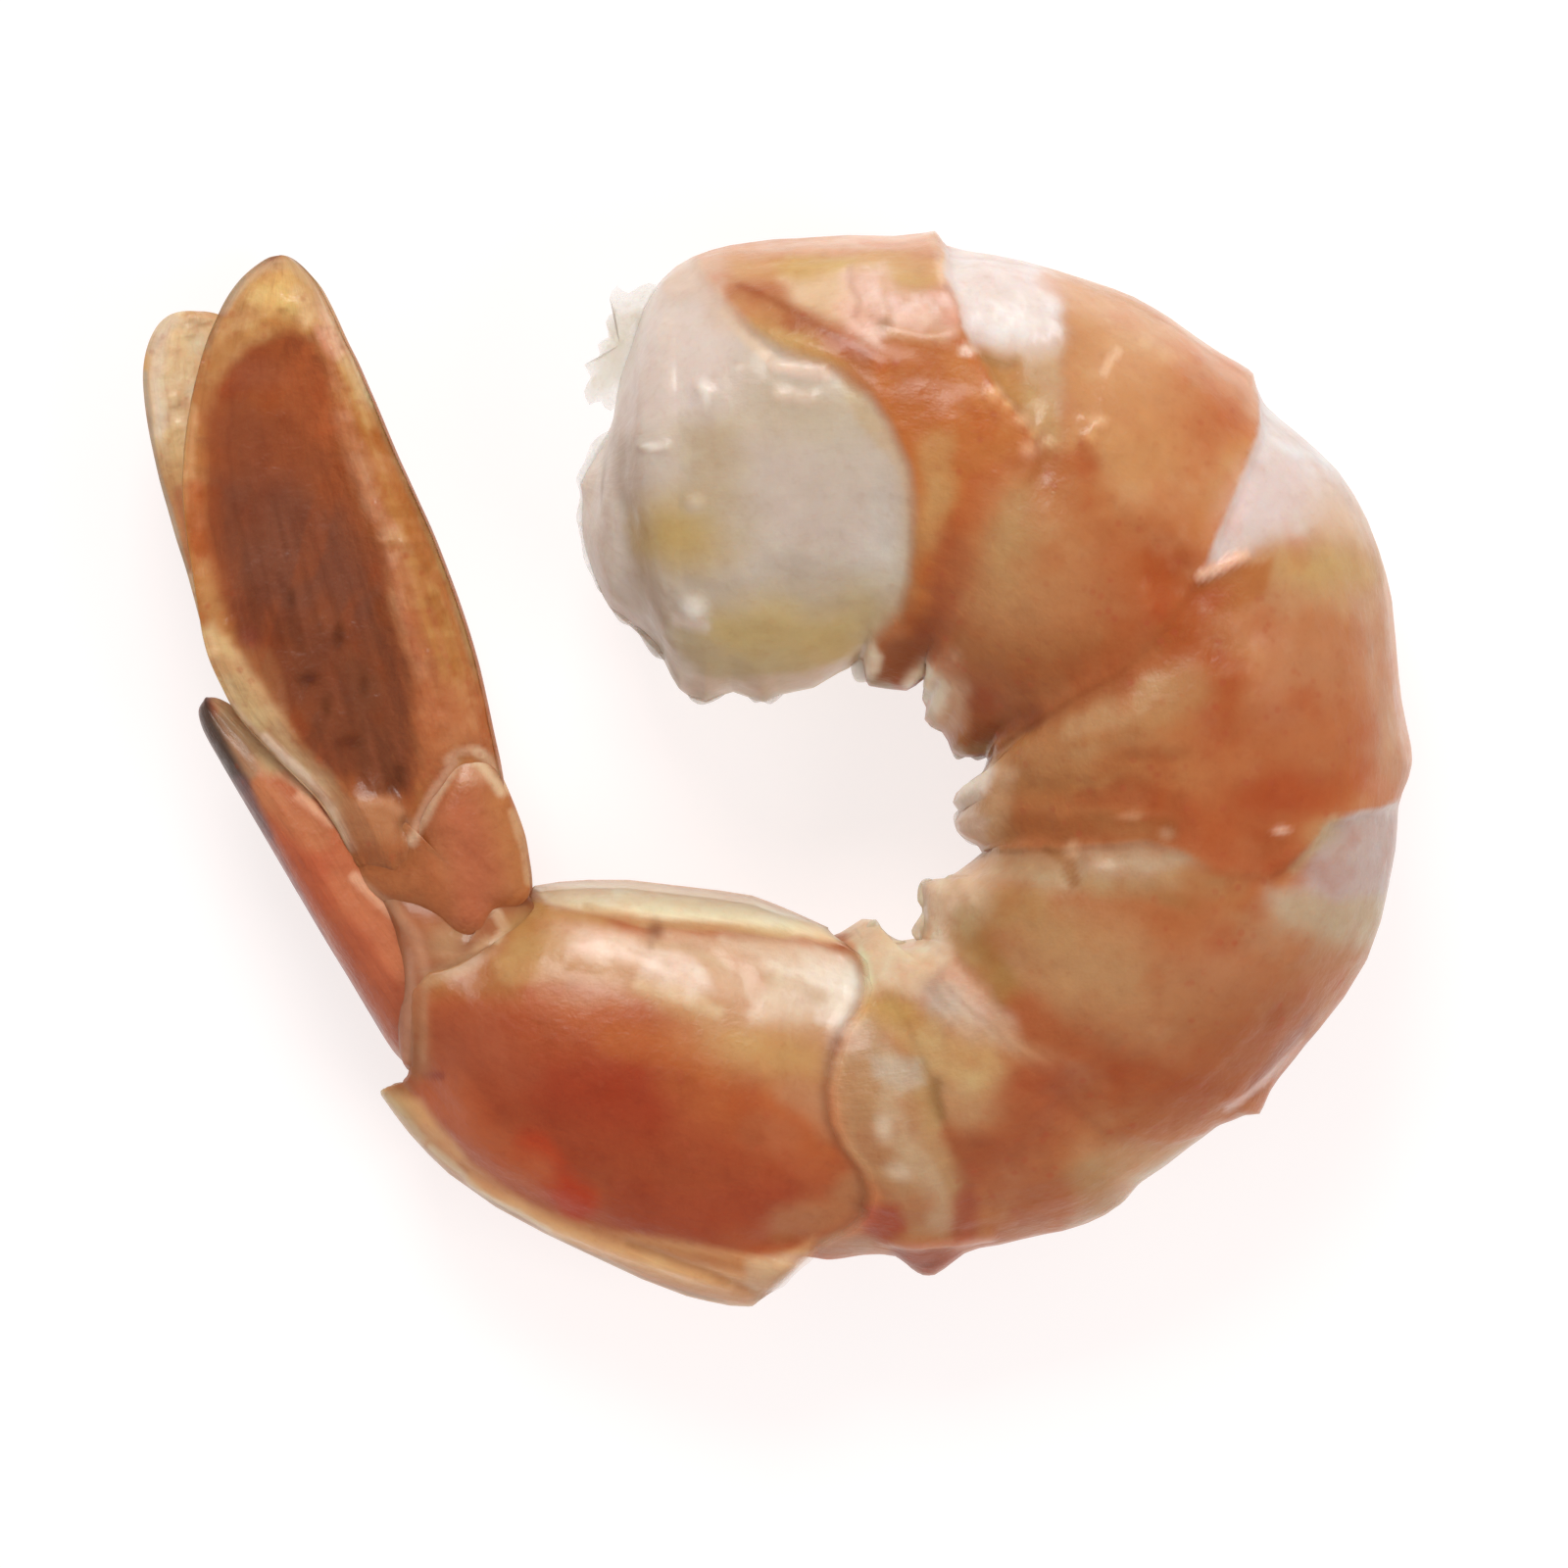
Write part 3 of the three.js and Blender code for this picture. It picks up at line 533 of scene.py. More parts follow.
def meat_paint(p, d, e, flow, lean):
    """Colours of the flesh and its skin, and how many pigment dots show."""
    n = fractal(p, 3.0, 4, 91)
    c = np.ones(p.shape) * (0.50, 0.18, 0.07)
    c = mix(c, (0.56, 0.27, 0.12), 0.45 * smooth(-0.1, 0.6, n))
    c = mix(c, (0.44, 0.11, 0.04), 0.5 * smooth(0.0, -0.6, n))
    A, L, S = d.area, d.line, d.spot
    EA, EL, ES = e.area, e.line, e.spot
    lay = lambda colour, mask, amount=1.0: mix(c, colour, mask * amount)
    behind = {name: smooth(-3.0, 4.0, -e.across(line)) for name, line in SEAMS.items()}
    # First skin.
    c = lay((0.78, 0.46, 0.30), A([(690, 215), (970, 215), (966, 262), (900, 266), (800, 262), (715, 285)], 18), 0.9)
    facing = smooth(0.05, 0.42, lean)
    c = lay((0.70, 0.42, 0.19), L([(760, 288), (830, 280), (900, 284), (950, 284)], 17), 0.75 * facing)
    c = lay((0.64, 0.39, 0.13), A([(782, 268), (840, 262), (876, 268), (874, 292), (800, 298)], 10), 0.8 * facing)
    # A pale line along the back's outline: painted light along the rim.
    c = lay((0.82, 0.54, 0.40), EL([(780, 244), (864, 244), (950, 242)], 12), 0.75)
    c = lay((0.72, 0.50, 0.37), A([(680, 270), (740, 262), (750, 300), (735, 330), (700, 300)], 12), 0.7)
    c = lay((0.60, 0.28, 0.115), A([(742, 290), (790, 286), (815, 326), (800, 336), (766, 332), (748, 312)], 9), 0.8)
    c = lay((0.58, 0.32, 0.12), A([(758, 330), (800, 338), (850, 362), (872, 382), (840, 376), (790, 362)], 8), 0.85)
    c = lay((0.79, 0.55, 0.34), A([(796, 296), (866, 288), (884, 330), (872, 352), (846, 346), (812, 324)], 10), 0.9)
    # A pale pink patch on the first skin: partly its own colour, partly a painted highlight, with whiter painted
    # glints.
    c = lay((0.85, 0.56, 0.44), A([(864, 290), (905, 284), (914, 306), (970, 306), (977, 330), (970, 352), (912, 350), (908, 372), (892, 370), (862, 352), (850, 322)], 12)
            * (0.6 + 0.4 * smooth(-0.4, 0.3, fractal(p, 1.0, 3, 99))), 0.97)
    c = lay((0.90, 0.66, 0.58), smooth(-0.2, 0.35, fractal(p, 0.8, 3, 100)) * A([(908, 312), (968, 314), (970, 340), (912, 342), (890, 320)], 8), 0.75)
    c = lay((0.90, 0.66, 0.56), smooth(-0.1, 0.35, fractal(p, 0.7, 3, 101)) * L([(884, 296), (892, 325), (900, 358)], 10), 0.7)
    c = lay((0.63, 0.39, 0.16), S((932, 300), (22, 11)), 0.75 * facing)
    c = lay((0.62, 0.36, 0.26), L([(871, 288), (873, 312), (869, 336)], 4.5, 0.9), 0.6)
    c = lay((0.64, 0.36, 0.22), L([(906, 300), (902, 318), (904, 334)], 3.5, 0.9), 0.45)
    c = lay((0.76, 0.50, 0.28), L([(912, 352), (940, 356), (962, 353)], 5, 0.9), 0.45)
    c = lay((0.44, 0.15, 0.06), L([(754, 300), (790, 316), (811, 327), (849, 350), (887, 372), (904, 378)], 9, 0.9), 0.6)
    c = lay((0.36, 0.11, 0.04), EL([(756, 302), (790, 317), (811, 329), (849, 352), (887, 373)], 3.5, 0.9), 0.7)
    c = lay((0.60, 0.26, 0.18), L([(862, 360), (884, 372), (900, 372)], 5, 0.9), 0.5)
    c = lay((0.36, 0.16, 0.06), ES((902, 341), (8, 6)), 0.75)
    c = lay((0.86, 0.62, 0.44), EL([(950, 240), (957, 270), (958, 300)], 5), 0.6)
    c = lay((0.46, 0.26, 0.18), EL([(953, 236), (953, 270)], 4, 0.9), 0.5)
    c = lay((0.53, 0.33, 0.26), EL([(962, 306), (975, 324), (979, 346)], 4, 0.9), 0.6)
    c = lay((0.53, 0.17, 0.048), A([(905, 358), (985, 352), (1004, 390), (1048, 462), (1000, 512), (985, 600), (962, 690), (905, 706), (935, 600), (938, 520), (904, 440), (892, 390)], 7), 0.95)
    c = lay((0.60, 0.24, 0.08), L([(975, 372), (1000, 410), (1020, 440)], 12), 0.5)
    c = lay((0.46, 0.135, 0.04), S((935, 400), (24, 40)), 0.5)
    c = lay((0.57, 0.28, 0.105), L([(955, 462), (958, 500), (950, 545)], 18), 0.85)
    c = lay((0.50, 0.12, 0.036), L([(1040, 488), (1004, 500), (992, 530)], 17), 0.8)
    c = lay((0.42, 0.11, 0.042), L([(975, 560), (970, 600), (962, 640)], 20), 0.85)
    c = lay((0.47, 0.21, 0.08), L([(938, 560), (932, 600), (918, 630)], 8), 0.6)
    c = lay((0.31, 0.085, 0.033), S((948, 645), (22, 22)), 0.8)
    c = lay((0.33, 0.11, 0.05), EA([(898, 650), (960, 650), (950, 684), (936, 700), (900, 700), (884, 694), (900, 674)], 8), 0.85)
    c = lay((0.27, 0.07, 0.028), S((935, 668), (26, 14), -0.3), 0.8)
    c = lay((0.40, 0.30, 0.18), EL([(882, 690), (893, 697), (905, 700)], 7), 0.8)
    # Joint between the first and the second skin.
    c = lay((0.60, 0.39, 0.22), A([(1012, 356), (1088, 346), (1086, 396), (1078, 440), (1066, 458), (1046, 440), (1022, 410)], 20) * behind['one'], 0.85)
    c = lay((0.85, 0.74, 0.69), A([(930, 200), (1094, 200), (1092, 290), (1084, 336), (1070, 358), (1040, 360), (1010, 356), (985, 354), (960, 376), (950, 338), (940, 280)], 22) * behind['one'], 0.95)
    c = lay((0.54, 0.25, 0.08), A([(984, 360), (1026, 366), (1036, 388), (1048, 420), (1038, 428), (1012, 400), (992, 384)], 9) * behind['one'], 0.85)
    c = lay((0.36, 0.20, 0.09), L([(1002, 370), (1022, 372)], 5, 0.9), 0.5)
    c = lay((0.57, 0.33, 0.13), L([(1046, 404), (1060, 430), (1070, 446)], 10, 0.9), 0.6)
    # Painted highlights, broken up, on the joint's white patch.
    c = lay((0.95, 0.86, 0.82), smooth(0.05, 0.45, fractal(p, 0.75, 3, 98)) * L([(1000, 318), (1030, 334), (1056, 342)], 22), 0.7)
    # Second segment.
    c = lay((0.62, 0.30, 0.13), A([(1085, 282), (1280, 400), (1274, 450), (1240, 540), (1222, 590), (1100, 520), (1056, 480), (1092, 430), (1084, 380)], 14), 0.9)
    # Paler along the back edge: painted light along the rim.
    c = lay((0.76, 0.46, 0.29), L([(1090, 292), (1130, 302), (1180, 334), (1232, 368), (1272, 404)], 30), 0.85)
    c = lay((0.82, 0.52, 0.38), L([(1190, 332), (1232, 364), (1274, 392)], 13), 0.7)
    c = lay((0.70, 0.38, 0.20), S((1150, 370), (50, 30), 0.3), 0.5)
    c = lay((0.53, 0.165, 0.062), S((1232, 436), (42, 50), 0.1), 0.75)
    c = lay((0.58, 0.27, 0.10), S((1150, 470), (60, 24), 0.1), 0.5)
    c = lay((0.57, 0.25, 0.08), L([(1262, 470), (1240, 510), (1226, 545)], 12), 0.6)
    c = lay((0.52, 0.15, 0.05), S((1195, 545), (50, 40), 0.3), 0.6)
    c = lay((0.46, 0.125, 0.038), L([(1040, 486), (1070, 484), (1100, 474)], 14), 0.8)
    c = lay((0.48, 0.15, 0.05), L([(1060, 500), (1110, 530), (1160, 570), (1206, 602)], 34), 0.75)
    c = lay((0.43, 0.105, 0.033), S((1176, 600), (56, 44), 0.3), 0.8)
    c = lay((0.53, 0.27, 0.115), S((1036, 575), (44, 76), 0.1), 0.85)
    c = lay((0.52, 0.32, 0.14), S((1024, 550), (18, 40), 0.1), 0.5)
    c = lay((0.52, 0.22, 0.09), S((1090, 590), (40, 50)), 0.55)
    c = lay((0.41, 0.15, 0.052), A([(975, 640), (1120, 640), (1190, 650), (1120, 700), (1050, 735), (985, 755), (960, 700)], 24), 0.75)
    c = lay((0.38, 0.12, 0.043), L([(1120, 684), (1050, 715), (990, 735)], 26, 0.9), 0.75)
    c = lay((0.45, 0.13, 0.045), L([(1200, 648), (1160, 668), (1110, 690)], 18, 0.9), 0.6)
    c = lay((0.34, 0.10, 0.048), S((1000, 712), (34, 26)), 0.7)
    c = lay((0.28, 0.08, 0.03), L([(1048, 730), (1015, 748), (1000, 752)], 13), 0.85)
    c = lay((0.43, 0.12, 0.036), L([(1190, 640), (1205, 670), (1200, 690)], 22), 0.7)
    # Joint between the second and the third skin.
    c = lay((0.78, 0.68, 0.64), A([(1250, 350), (1330, 420), (1384, 486), (1440, 520), (1424, 556), (1340, 546), (1296, 556), (1256, 570), (1234, 588), (1220, 552), (1230, 480), (1250, 440)], 18) * behind['two'], 0.96)
    c = lay((0.70, 0.52, 0.47), S((1290, 520), (36, 46), 0.5), 0.6)
    # A short painted highlight in the joint's white patch.
    c = lay((0.86, 0.64, 0.60), EL([(1268, 502), (1262, 522), (1252, 538)], 7, 0.9), 0.5)
    c = lay((0.71, 0.48, 0.33), S((1366, 540), (46, 40), 0.2), 0.85)
    c = lay((0.60, 0.36, 0.18), S((1356, 592), (78, 40), 0.05), 0.85)
    c = lay((0.55, 0.36, 0.13), S((1345, 585), (44, 18)), 0.6)
    # Fold and third segment.
    c = lay((0.51, 0.18, 0.065), A([(1230, 640), (1300, 622), (1430, 630), (1440, 800), (1340, 830), (1300, 880), (1230, 870), (1180, 850), (1030, 862), (1005, 790), (1100, 740), (1210, 680)], 18), 0.8)
    c = lay((0.47, 0.16, 0.046), EA([(1222, 596), (1252, 580), (1291, 573), (1285, 608), (1250, 636), (1214, 622)], 6), 0.85)
    c = lay((0.43, 0.10, 0.035), ES((1226, 612), (20, 13), -0.4), 0.85)
    # A lit edge on the fold: painted highlight.
    c = lay((0.90, 0.56, 0.40), EL([(1222, 590), (1246, 578), (1262, 570)], 5.5), 0.9)
    c = lay((0.62, 0.32, 0.16), EL([(1264, 574), (1284, 572)], 4, 0.9), 0.4)
    c = lay((0.44, 0.11, 0.034), L([(1205, 655), (1222, 690), (1232, 720)], 26), 0.7)
    c = lay((0.58, 0.24, 0.11), L([(1280, 640), (1290, 670), (1285, 710)], 22), 0.6)
    c = lay((0.53, 0.24, 0.12), S((1340, 690), (60, 70)), 0.6)
    # Lighter speckles over the third segment: painted wet sheen.
    wet = smooth(-0.1, 0.5, fractal(p, 1.1, 4, 102))
    c = lay((0.60, 0.27, 0.15), wet * A([(1180, 600), (1240, 590), (1300, 640), (1310, 740), (1240, 760), (1190, 700)], 20), 0.5)
    c = lay((0.43, 0.095, 0.035), smooth(-0.1, 0.5, fractal(p, 1.2, 4, 103)) * A([(1170, 590), (1240, 620), (1260, 700), (1230, 800), (1190, 730), (1160, 640)], 20), 0.6)
    c = lay((0.60, 0.29, 0.15), wet * L([(1190, 470), (1230, 520), (1180, 580)], 26, 0.9), 0.3)
    c = lay((0.47, 0.135, 0.05), L([(1250, 760), (1310, 740), (1380, 760)], 36), 0.55)
    # Paler along the back edge: painted light along the rim.
    c = lay((0.56, 0.29, 0.16), L([(1395, 620), (1410, 700), (1412, 780)], 22), 0.75)
    c = lay((0.78, 0.47, 0.32), EL([(1416, 600), (1424, 660), (1428, 720), (1436, 770)], 11), 0.6)
    c = lay((0.48, 0.13, 0.045), L([(1385, 790), (1340, 810)], 18), 0.5)
    c = lay((0.43, 0.082, 0.027), S((1298, 812), (52, 24), -0.1), 0.9)
    c = lay((0.44, 0.10, 0.033), L([(1190, 835), (1240, 858), (1290, 868)], 30), 0.75)
    c = lay((0.49, 0.23, 0.095), L([(1040, 782), (1090, 756), (1150, 732), (1200, 705)], 26), 0.85)
    c = lay((0.56, 0.31, 0.15), L([(1095, 740), (1150, 716), (1170, 700)], 13), 0.7)
    c = lay((0.45, 0.19, 0.065), S((1080, 800), (60, 20), -0.1), 0.6)
    c = lay((0.38, 0.12, 0.04), L([(1150, 776), (1200, 765)], 8), 0.35)
    c = lay((0.39, 0.105, 0.036), L([(1110, 816), (1150, 812), (1190, 820)], 13), 0.75)
    c = lay((0.36, 0.115, 0.038), L([(1020, 838), (1080, 846), (1180, 846)], 13), 0.8)
    c = lay((0.40, 0.17, 0.06), L([(1020, 800), (1030, 850)], 12), 0.5)
    c = lay((0.70, 0.46, 0.30), S((1028, 790), (12, 8)), 0.7)
    # Translucent tabs along the belly.
    c = lay((0.74, 0.46, 0.30), A([(930, 680), (952, 664), (980, 668), (992, 704), (984, 744), (960, 756), (930, 740)], 13), 0.75)
    c = lay((0.92, 0.80, 0.62), A([(926, 690), (948, 672), (966, 676), (970, 700), (960, 724), (940, 738), (926, 720)], 9), 0.9)
    c = lay((0.58, 0.45, 0.30), EL([(952, 738), (945, 722)], 6), 0.6)
    c = lay((0.40, 0.27, 0.14), L([(970, 764), (990, 769), (1008, 764)], 8, 0.9), 0.8)
    c = lay((0.66, 0.40, 0.22), A([(960, 790), (1002, 780), (1020, 766), (1038, 790), (1030, 840), (1010, 872), (960, 862)], 13), 0.7)
    c = lay((0.93, 0.82, 0.70), A([(960, 795), (998, 788), (1010, 772), (1018, 784), (1012, 806), (996, 822), (962, 830)], 8), 0.9)
    c = lay((0.72, 0.54, 0.42), A([(966, 824), (998, 822), (1012, 836), (1006, 862), (964, 862)], 8), 0.8)
    c = lay((0.54, 0.44, 0.34), L([(976, 818), (990, 818), (1000, 812)], 6, 0.9), 0.55)
    # Joint between the third and the fourth skin.
    c = lay((0.60, 0.46, 0.41), A([(1470, 790), (1372, 800), (1340, 840), (1326, 880), (1318, 910), (1336, 935), (1400, 925), (1450, 890)], 15) * behind['three'], 0.97)
    c = lay((0.66, 0.52, 0.46), EL([(1424, 830), (1420, 880), (1410, 920)], 11), 0.7)
    c = lay((0.52, 0.35, 0.24), A([(1290, 905), (1420, 925), (1400, 975), (1330, 972), (1262, 955), (1270, 925)], 13), 0.75)
    c = lay((0.53, 0.38, 0.24), A([(1264, 950), (1300, 914), (1360, 905), (1416, 905), (1410, 960), (1385, 996), (1330, 984), (1280, 972)], 11), 0.8)
    c = lay((0.52, 0.37, 0.32), A([(1336, 862), (1352, 838), (1424, 834), (1426, 892), (1400, 912), (1346, 910), (1322, 888)], 9), 0.8)
    c = lay((0.60, 0.42, 0.22), EL([(1350, 834), (1334, 862), (1318, 886)], 5, 0.9), 0.5)
    c = lay((0.52, 0.36, 0.16), S((1345, 850), (18, 12)), 0.4)
    c = lay((0.55, 0.37, 0.23), L([(1104, 884), (1160, 878), (1192, 886)], 20, 0.95) * behind['three'], 0.85)
    c = lay((0.54, 0.36, 0.20), L([(1020, 884), (1075, 890)], 20, 0.95) * behind['three'], 0.75)
    c = lay((0.51, 0.32, 0.15), L([(1110, 900), (1180, 905), (1230, 902)], 12), 0.7)
    c = lay((0.46, 0.17, 0.06), L([(1215, 900), (1250, 908), (1270, 930)], 18), 0.6)
    c = lay((0.38, 0.16, 0.06), EL([(1070, 866), (1088, 880), (1094, 900)], 6), 0.8)
    # Fourth segment.
    c = lay((0.48, 0.20, 0.085), A([(1000, 905), (1100, 910), (1230, 920), (1400, 970), (1340, 1050), (1250, 1130), (1130, 1150), (1060, 1085), (990, 1010)], 18), 0.8)
    c = lay((0.46, 0.14, 0.048), S((1180, 940), (64, 32), 0.1), 0.85)
    c = lay((0.38, 0.15, 0.05), ES((1194, 916), (20, 8), 0.3), 0.6)
    c = lay((0.48, 0.20, 0.10), S((1260, 985), (70, 36), 0.1), 0.5)
    c = lay((0.54, 0.30, 0.14), S((1110, 985), (60, 52), 0.4), 0.75)
    c = lay((0.54, 0.30, 0.13), S((1070, 950), (36, 20)), 0.6)
    c = lay((0.50, 0.30, 0.12), L([(1000, 925), (1050, 925)], 18), 0.6)
    c = lay((0.40, 0.20, 0.06), L([(992, 955), (1006, 985), (1030, 1010)], 18), 0.75)
    c = lay((0.43, 0.115, 0.042), L([(1050, 1030), (1070, 1060), (1120, 1090)], 22), 0.8)
    c = lay((0.40, 0.11, 0.042), S((1110, 1060), (40, 36)), 0.5)
    c = lay((0.50, 0.22, 0.10), S((1165, 1040), (26, 20)), 0.55)
    c = lay((0.40, 0.10, 0.038), S((1190, 1100), (90, 38), -0.2), 0.8)
    c = lay((0.40, 0.12, 0.048), S((1280, 1040), (56, 36), -0.7), 0.7)
    c = lay((0.32, 0.10, 0.05), L([(1325, 1045), (1300, 1075), (1270, 1105)], 10), 0.65)
    edge = smooth(0.12, 0.45, lean)
    # A painted highlight strip along the flap.
    c = lay((0.78, 0.52, 0.44), EL([(1328, 1064), (1300, 1090), (1268, 1113), (1250, 1126)], 4), 0.75 * edge)
    c = lay((0.24, 0.15, 0.10), EL([(1322, 1080), (1300, 1108), (1285, 1136)], 4.5), 0.8 * edge)
    c = lay((0.30, 0.18, 0.13), EL([(1262, 1143), (1235, 1156), (1220, 1168)], 4), 0.6)
    # Belly between the third segment and the shell.
    c = lay((0.86, 0.64, 0.44), A([(925, 880), (992, 870), (1018, 888), (1004, 915), (988, 940), (980, 985), (992, 1014), (1020, 1044), (1024, 1060), (990, 1058), (950, 1030), (900, 1000), (895, 950)], 24), 0.88)
    c = lay((0.58, 0.46, 0.34), EL([(944, 905), (946, 945)], 6), 0.6)
    c = lay((0.50, 0.29, 0.12), L([(990, 930), (992, 970), (1006, 1000)], 10, 0.9), 0.6)
    c = lay((0.72, 0.50, 0.36), L([(925, 975), (975, 1010), (1020, 1048)], 17, 0.9), 0.5)
    c = lay((0.58, 0.45, 0.38), S((954, 1016), (24, 18), 0.6), 0.7)
    c = lay((0.88, 0.66, 0.52), L([(972, 1004), (990, 1022), (1006, 1038)], 8, 0.95), 0.6)
    c = lay((0.62, 0.33, 0.17), L([(1012, 1052), (1050, 1082), (1084, 1104)], 15, 0.95), 0.55)
    grain = np.stack([(d.uv[..., 0] * 0.70 + d.uv[..., 1] * 0.71) * 0.012, (d.uv[..., 0] * 0.71 - d.uv[..., 1] * 0.70) * 0.10, 0 * d.uv[..., 0]], -1)
    fold = A([(900, 900), (1000, 900), (1010, 1000), (1100, 1090), (1080, 1120), (980, 1080), (900, 1010)], 30)
    c = mix(c, np.clip(c * (1.12, 1.2, 1.25), 0, 0.92), 0.5 * smooth(0.0, 0.5, noise(grain, 1.0, 220)) * fold)
    c = mix(c, c * (0.88, 0.78, 0.72), 0.5 * smooth(0.0, 0.5, noise(grain, 1.0, 221)) * fold)
    # Fifth segment.
    c = lay((0.57, 0.32, 0.165), A([(1240, 1146), (1180, 1162), (1130, 1160), (1104, 1164), (1096, 1190), (1100, 1260), (1200, 1230), (1280, 1160)], 22), 0.9)
    c = lay((0.58, 0.40, 0.28), EL([(1270, 1150), (1210, 1178), (1150, 1215), (1100, 1246)], 14), 0.75)
    c = lay((0.42, 0.20, 0.075), L([(1110, 1190), (1120, 1220)], 18), 0.5)
    c = lay((0.56, 0.31, 0.15), A([(950, 1078), (1000, 1085), (1022, 1108), (1014, 1136), (988, 1150), (962, 1140), (952, 1110)], 22), 0.85)
    c = lay((0.42, 0.105, 0.042), L([(1036, 1112), (1060, 1106), (1086, 1108)], 24, 0.9), 0.75)
    c = lay((0.40, 0.10, 0.042), L([(1070, 1134), (1040, 1162), (1004, 1182)], 26, 0.9), 0.75)
    c = lay((0.43, 0.14, 0.065), S((1050, 1215), (46, 36)), 0.7)
    c = lay((0.36, 0.105, 0.045), S((985, 1172), (24, 24)), 0.8)
    c = lay((0.88, 0.65, 0.43), A([(866, 925), (940, 940), (950, 985), (930, 1010), (890, 1025), (872, 1000)], 9), 0.8)
    c = lay((0.62, 0.37, 0.16), L([(892, 1034), (925, 1044), (960, 1070), (996, 1088)], 24), 0.8)
    c = lay((0.62, 0.36, 0.11), S((915, 1032), (24, 12)), 0.6)
    c = lay((0.50, 0.28, 0.135), A([(850, 1075), (890, 1068), (940, 1078), (948, 1120), (962, 1150), (970, 1180), (990, 1205), (980, 1222), (962, 1252), (930, 1250), (908, 1205), (868, 1180), (850, 1130)], 13), 0.93)
    c = lay((0.62, 0.44, 0.28), L([(905, 1085), (912, 1130), (925, 1170), (945, 1200), (955, 1235)], 13), 0.5)
    c = lay((0.50, 0.30, 0.13), L([(936, 1080), (942, 1118), (956, 1150)], 8), 0.6)
    c = lay((0.56, 0.35, 0.20), A([(852, 1040), (890, 1036), (904, 1066), (890, 1080), (856, 1084)], 9), 0.75)
    c = lay((0.74, 0.58, 0.43), np.maximum(ES((900, 1150), (9, 12)), ES((918, 1190), (12, 8), 0.4)), 0.6)
    c = lay((0.44, 0.20, 0.10), np.maximum(ES((884, 1162), (8, 12)), ES((930, 1150), (5, 9))), 0.5)
    c = lay((0.58, 0.46, 0.35), EA([(888, 1078), (938, 1078), (942, 1104), (920, 1112), (890, 1100)], 7), 0.6)
    c = lay((0.50, 0.24, 0.12), L([(925, 1220), (960, 1240)], 20), 0.5)
    c = lay((0.36, 0.19, 0.07), L([(952, 1102), (956, 1122), (962, 1138)], 7, 0.9), 0.7)
    c = lay((0.43, 0.085, 0.045), EA([(878, 1225), (915, 1222), (922, 1250), (905, 1262), (880, 1258)], 7), 0.85)
    c = lay((0.40, 0.10, 0.045), S((990, 1200), (10, 14)), 0.7)
    c = lay((0.40, 0.10, 0.055), EL([(985, 1222), (984, 1255)], 14), 0.8)
    c = lay((0.40, 0.14, 0.07), EL([(1060, 1240), (1020, 1258)], 9), 0.5)
    c = lay((0.60, 0.28, 0.18), EL([(915, 1264), (960, 1262), (1010, 1258)], 4), 0.8)
    c = lay((0.36, 0.10, 0.06), EL([(920, 1280), (970, 1280)], 12), 0.8)
    c = lay((0.35, 0.115, 0.075), ES((945, 1292), (22, 12)), 0.9)
    c = lay((0.50, 0.36, 0.24), EL([(838, 1272), (880, 1272)], 10), 0.6)
    # Bare flesh of the cut end.
    s = e.across([(690, 215), (712, 270), (738, 312), (770, 344), (808, 368), (850, 384), (884, 408), (908, 442), (926, 482),
                  (932, 530), (929, 590), (915, 626), (894, 650), (878, 690)])
    cut = smooth(-8, 10, s) * smooth(1010, 950, d.uv[..., 0]) * smooth(790, 760, d.uv[..., 1])
    f = mix(np.ones(p.shape) * (0.60, 0.48, 0.38), (0.70, 0.60, 0.50), 0.5 * smooth(-0.2, 0.7, n))
    lay2 = lambda colour, mask, amount=1.0: mix(f, colour, mask * amount)
    f = lay2((0.74, 0.61, 0.54), A([(620, 300), (740, 290), (770, 350), (740, 420), (640, 450), (610, 400)], 34), 0.85)
    f = lay2((0.74, 0.54, 0.42), L([(690, 280), (730, 290), (752, 330)], 20), 0.7)
    f = lay2((0.61, 0.48, 0.41), A([(780, 460), (900, 450), (930, 520), (900, 570), (780, 560)], 24), 0.8)
    f = lay2((0.57, 0.46, 0.39), A([(600, 440), (680, 460), (680, 520), (600, 530)], 20), 0.5)
    f = lay2((0.58, 0.44, 0.30), S((830, 425), (70, 26)), 0.6)
    f = lay2((0.52, 0.38, 0.24), A([(690, 440), (750, 430), (760, 520), (700, 520)], 22), 0.75)
    f = lay2((0.56, 0.38, 0.15), S((692, 552), (50, 34)), 0.95)
    f = lay2((0.66, 0.49, 0.25), A([(720, 622), (800, 604), (900, 588), (905, 640), (870, 680), (800, 690), (735, 680)], 26), 0.9)
    f = lay2((0.58, 0.40, 0.15), L([(720, 645), (780, 655), (850, 660)], 18, 0.9), 0.5)
    f = lay2((0.50, 0.40, 0.33), S((830, 600), (44, 24)), 0.6)
    f = lay2((0.58, 0.46, 0.36), L([(612, 560), (640, 612), (675, 640)], 22), 0.6)
    f = lay2((0.54, 0.42, 0.24), L([(690, 660), (730, 690), (800, 694)], 22, 0.9), 0.7)
    f = lay2((0.60, 0.52, 0.40), S((860, 470), (50, 60)), 0.3)
    f = lay2((0.68, 0.60, 0.53), S((905, 560), (30, 46)), 0.5)
    f = lay2((0.42, 0.30, 0.18), EL([(664, 648), (682, 662), (690, 690)], 8), 0.55)
    f = lay2((0.45, 0.33, 0.24), EL([(700, 708), (724, 712)], 8), 0.6)
    f = lay2((0.42, 0.33, 0.26), EL([(776, 712), (788, 708)], 6), 0.5)
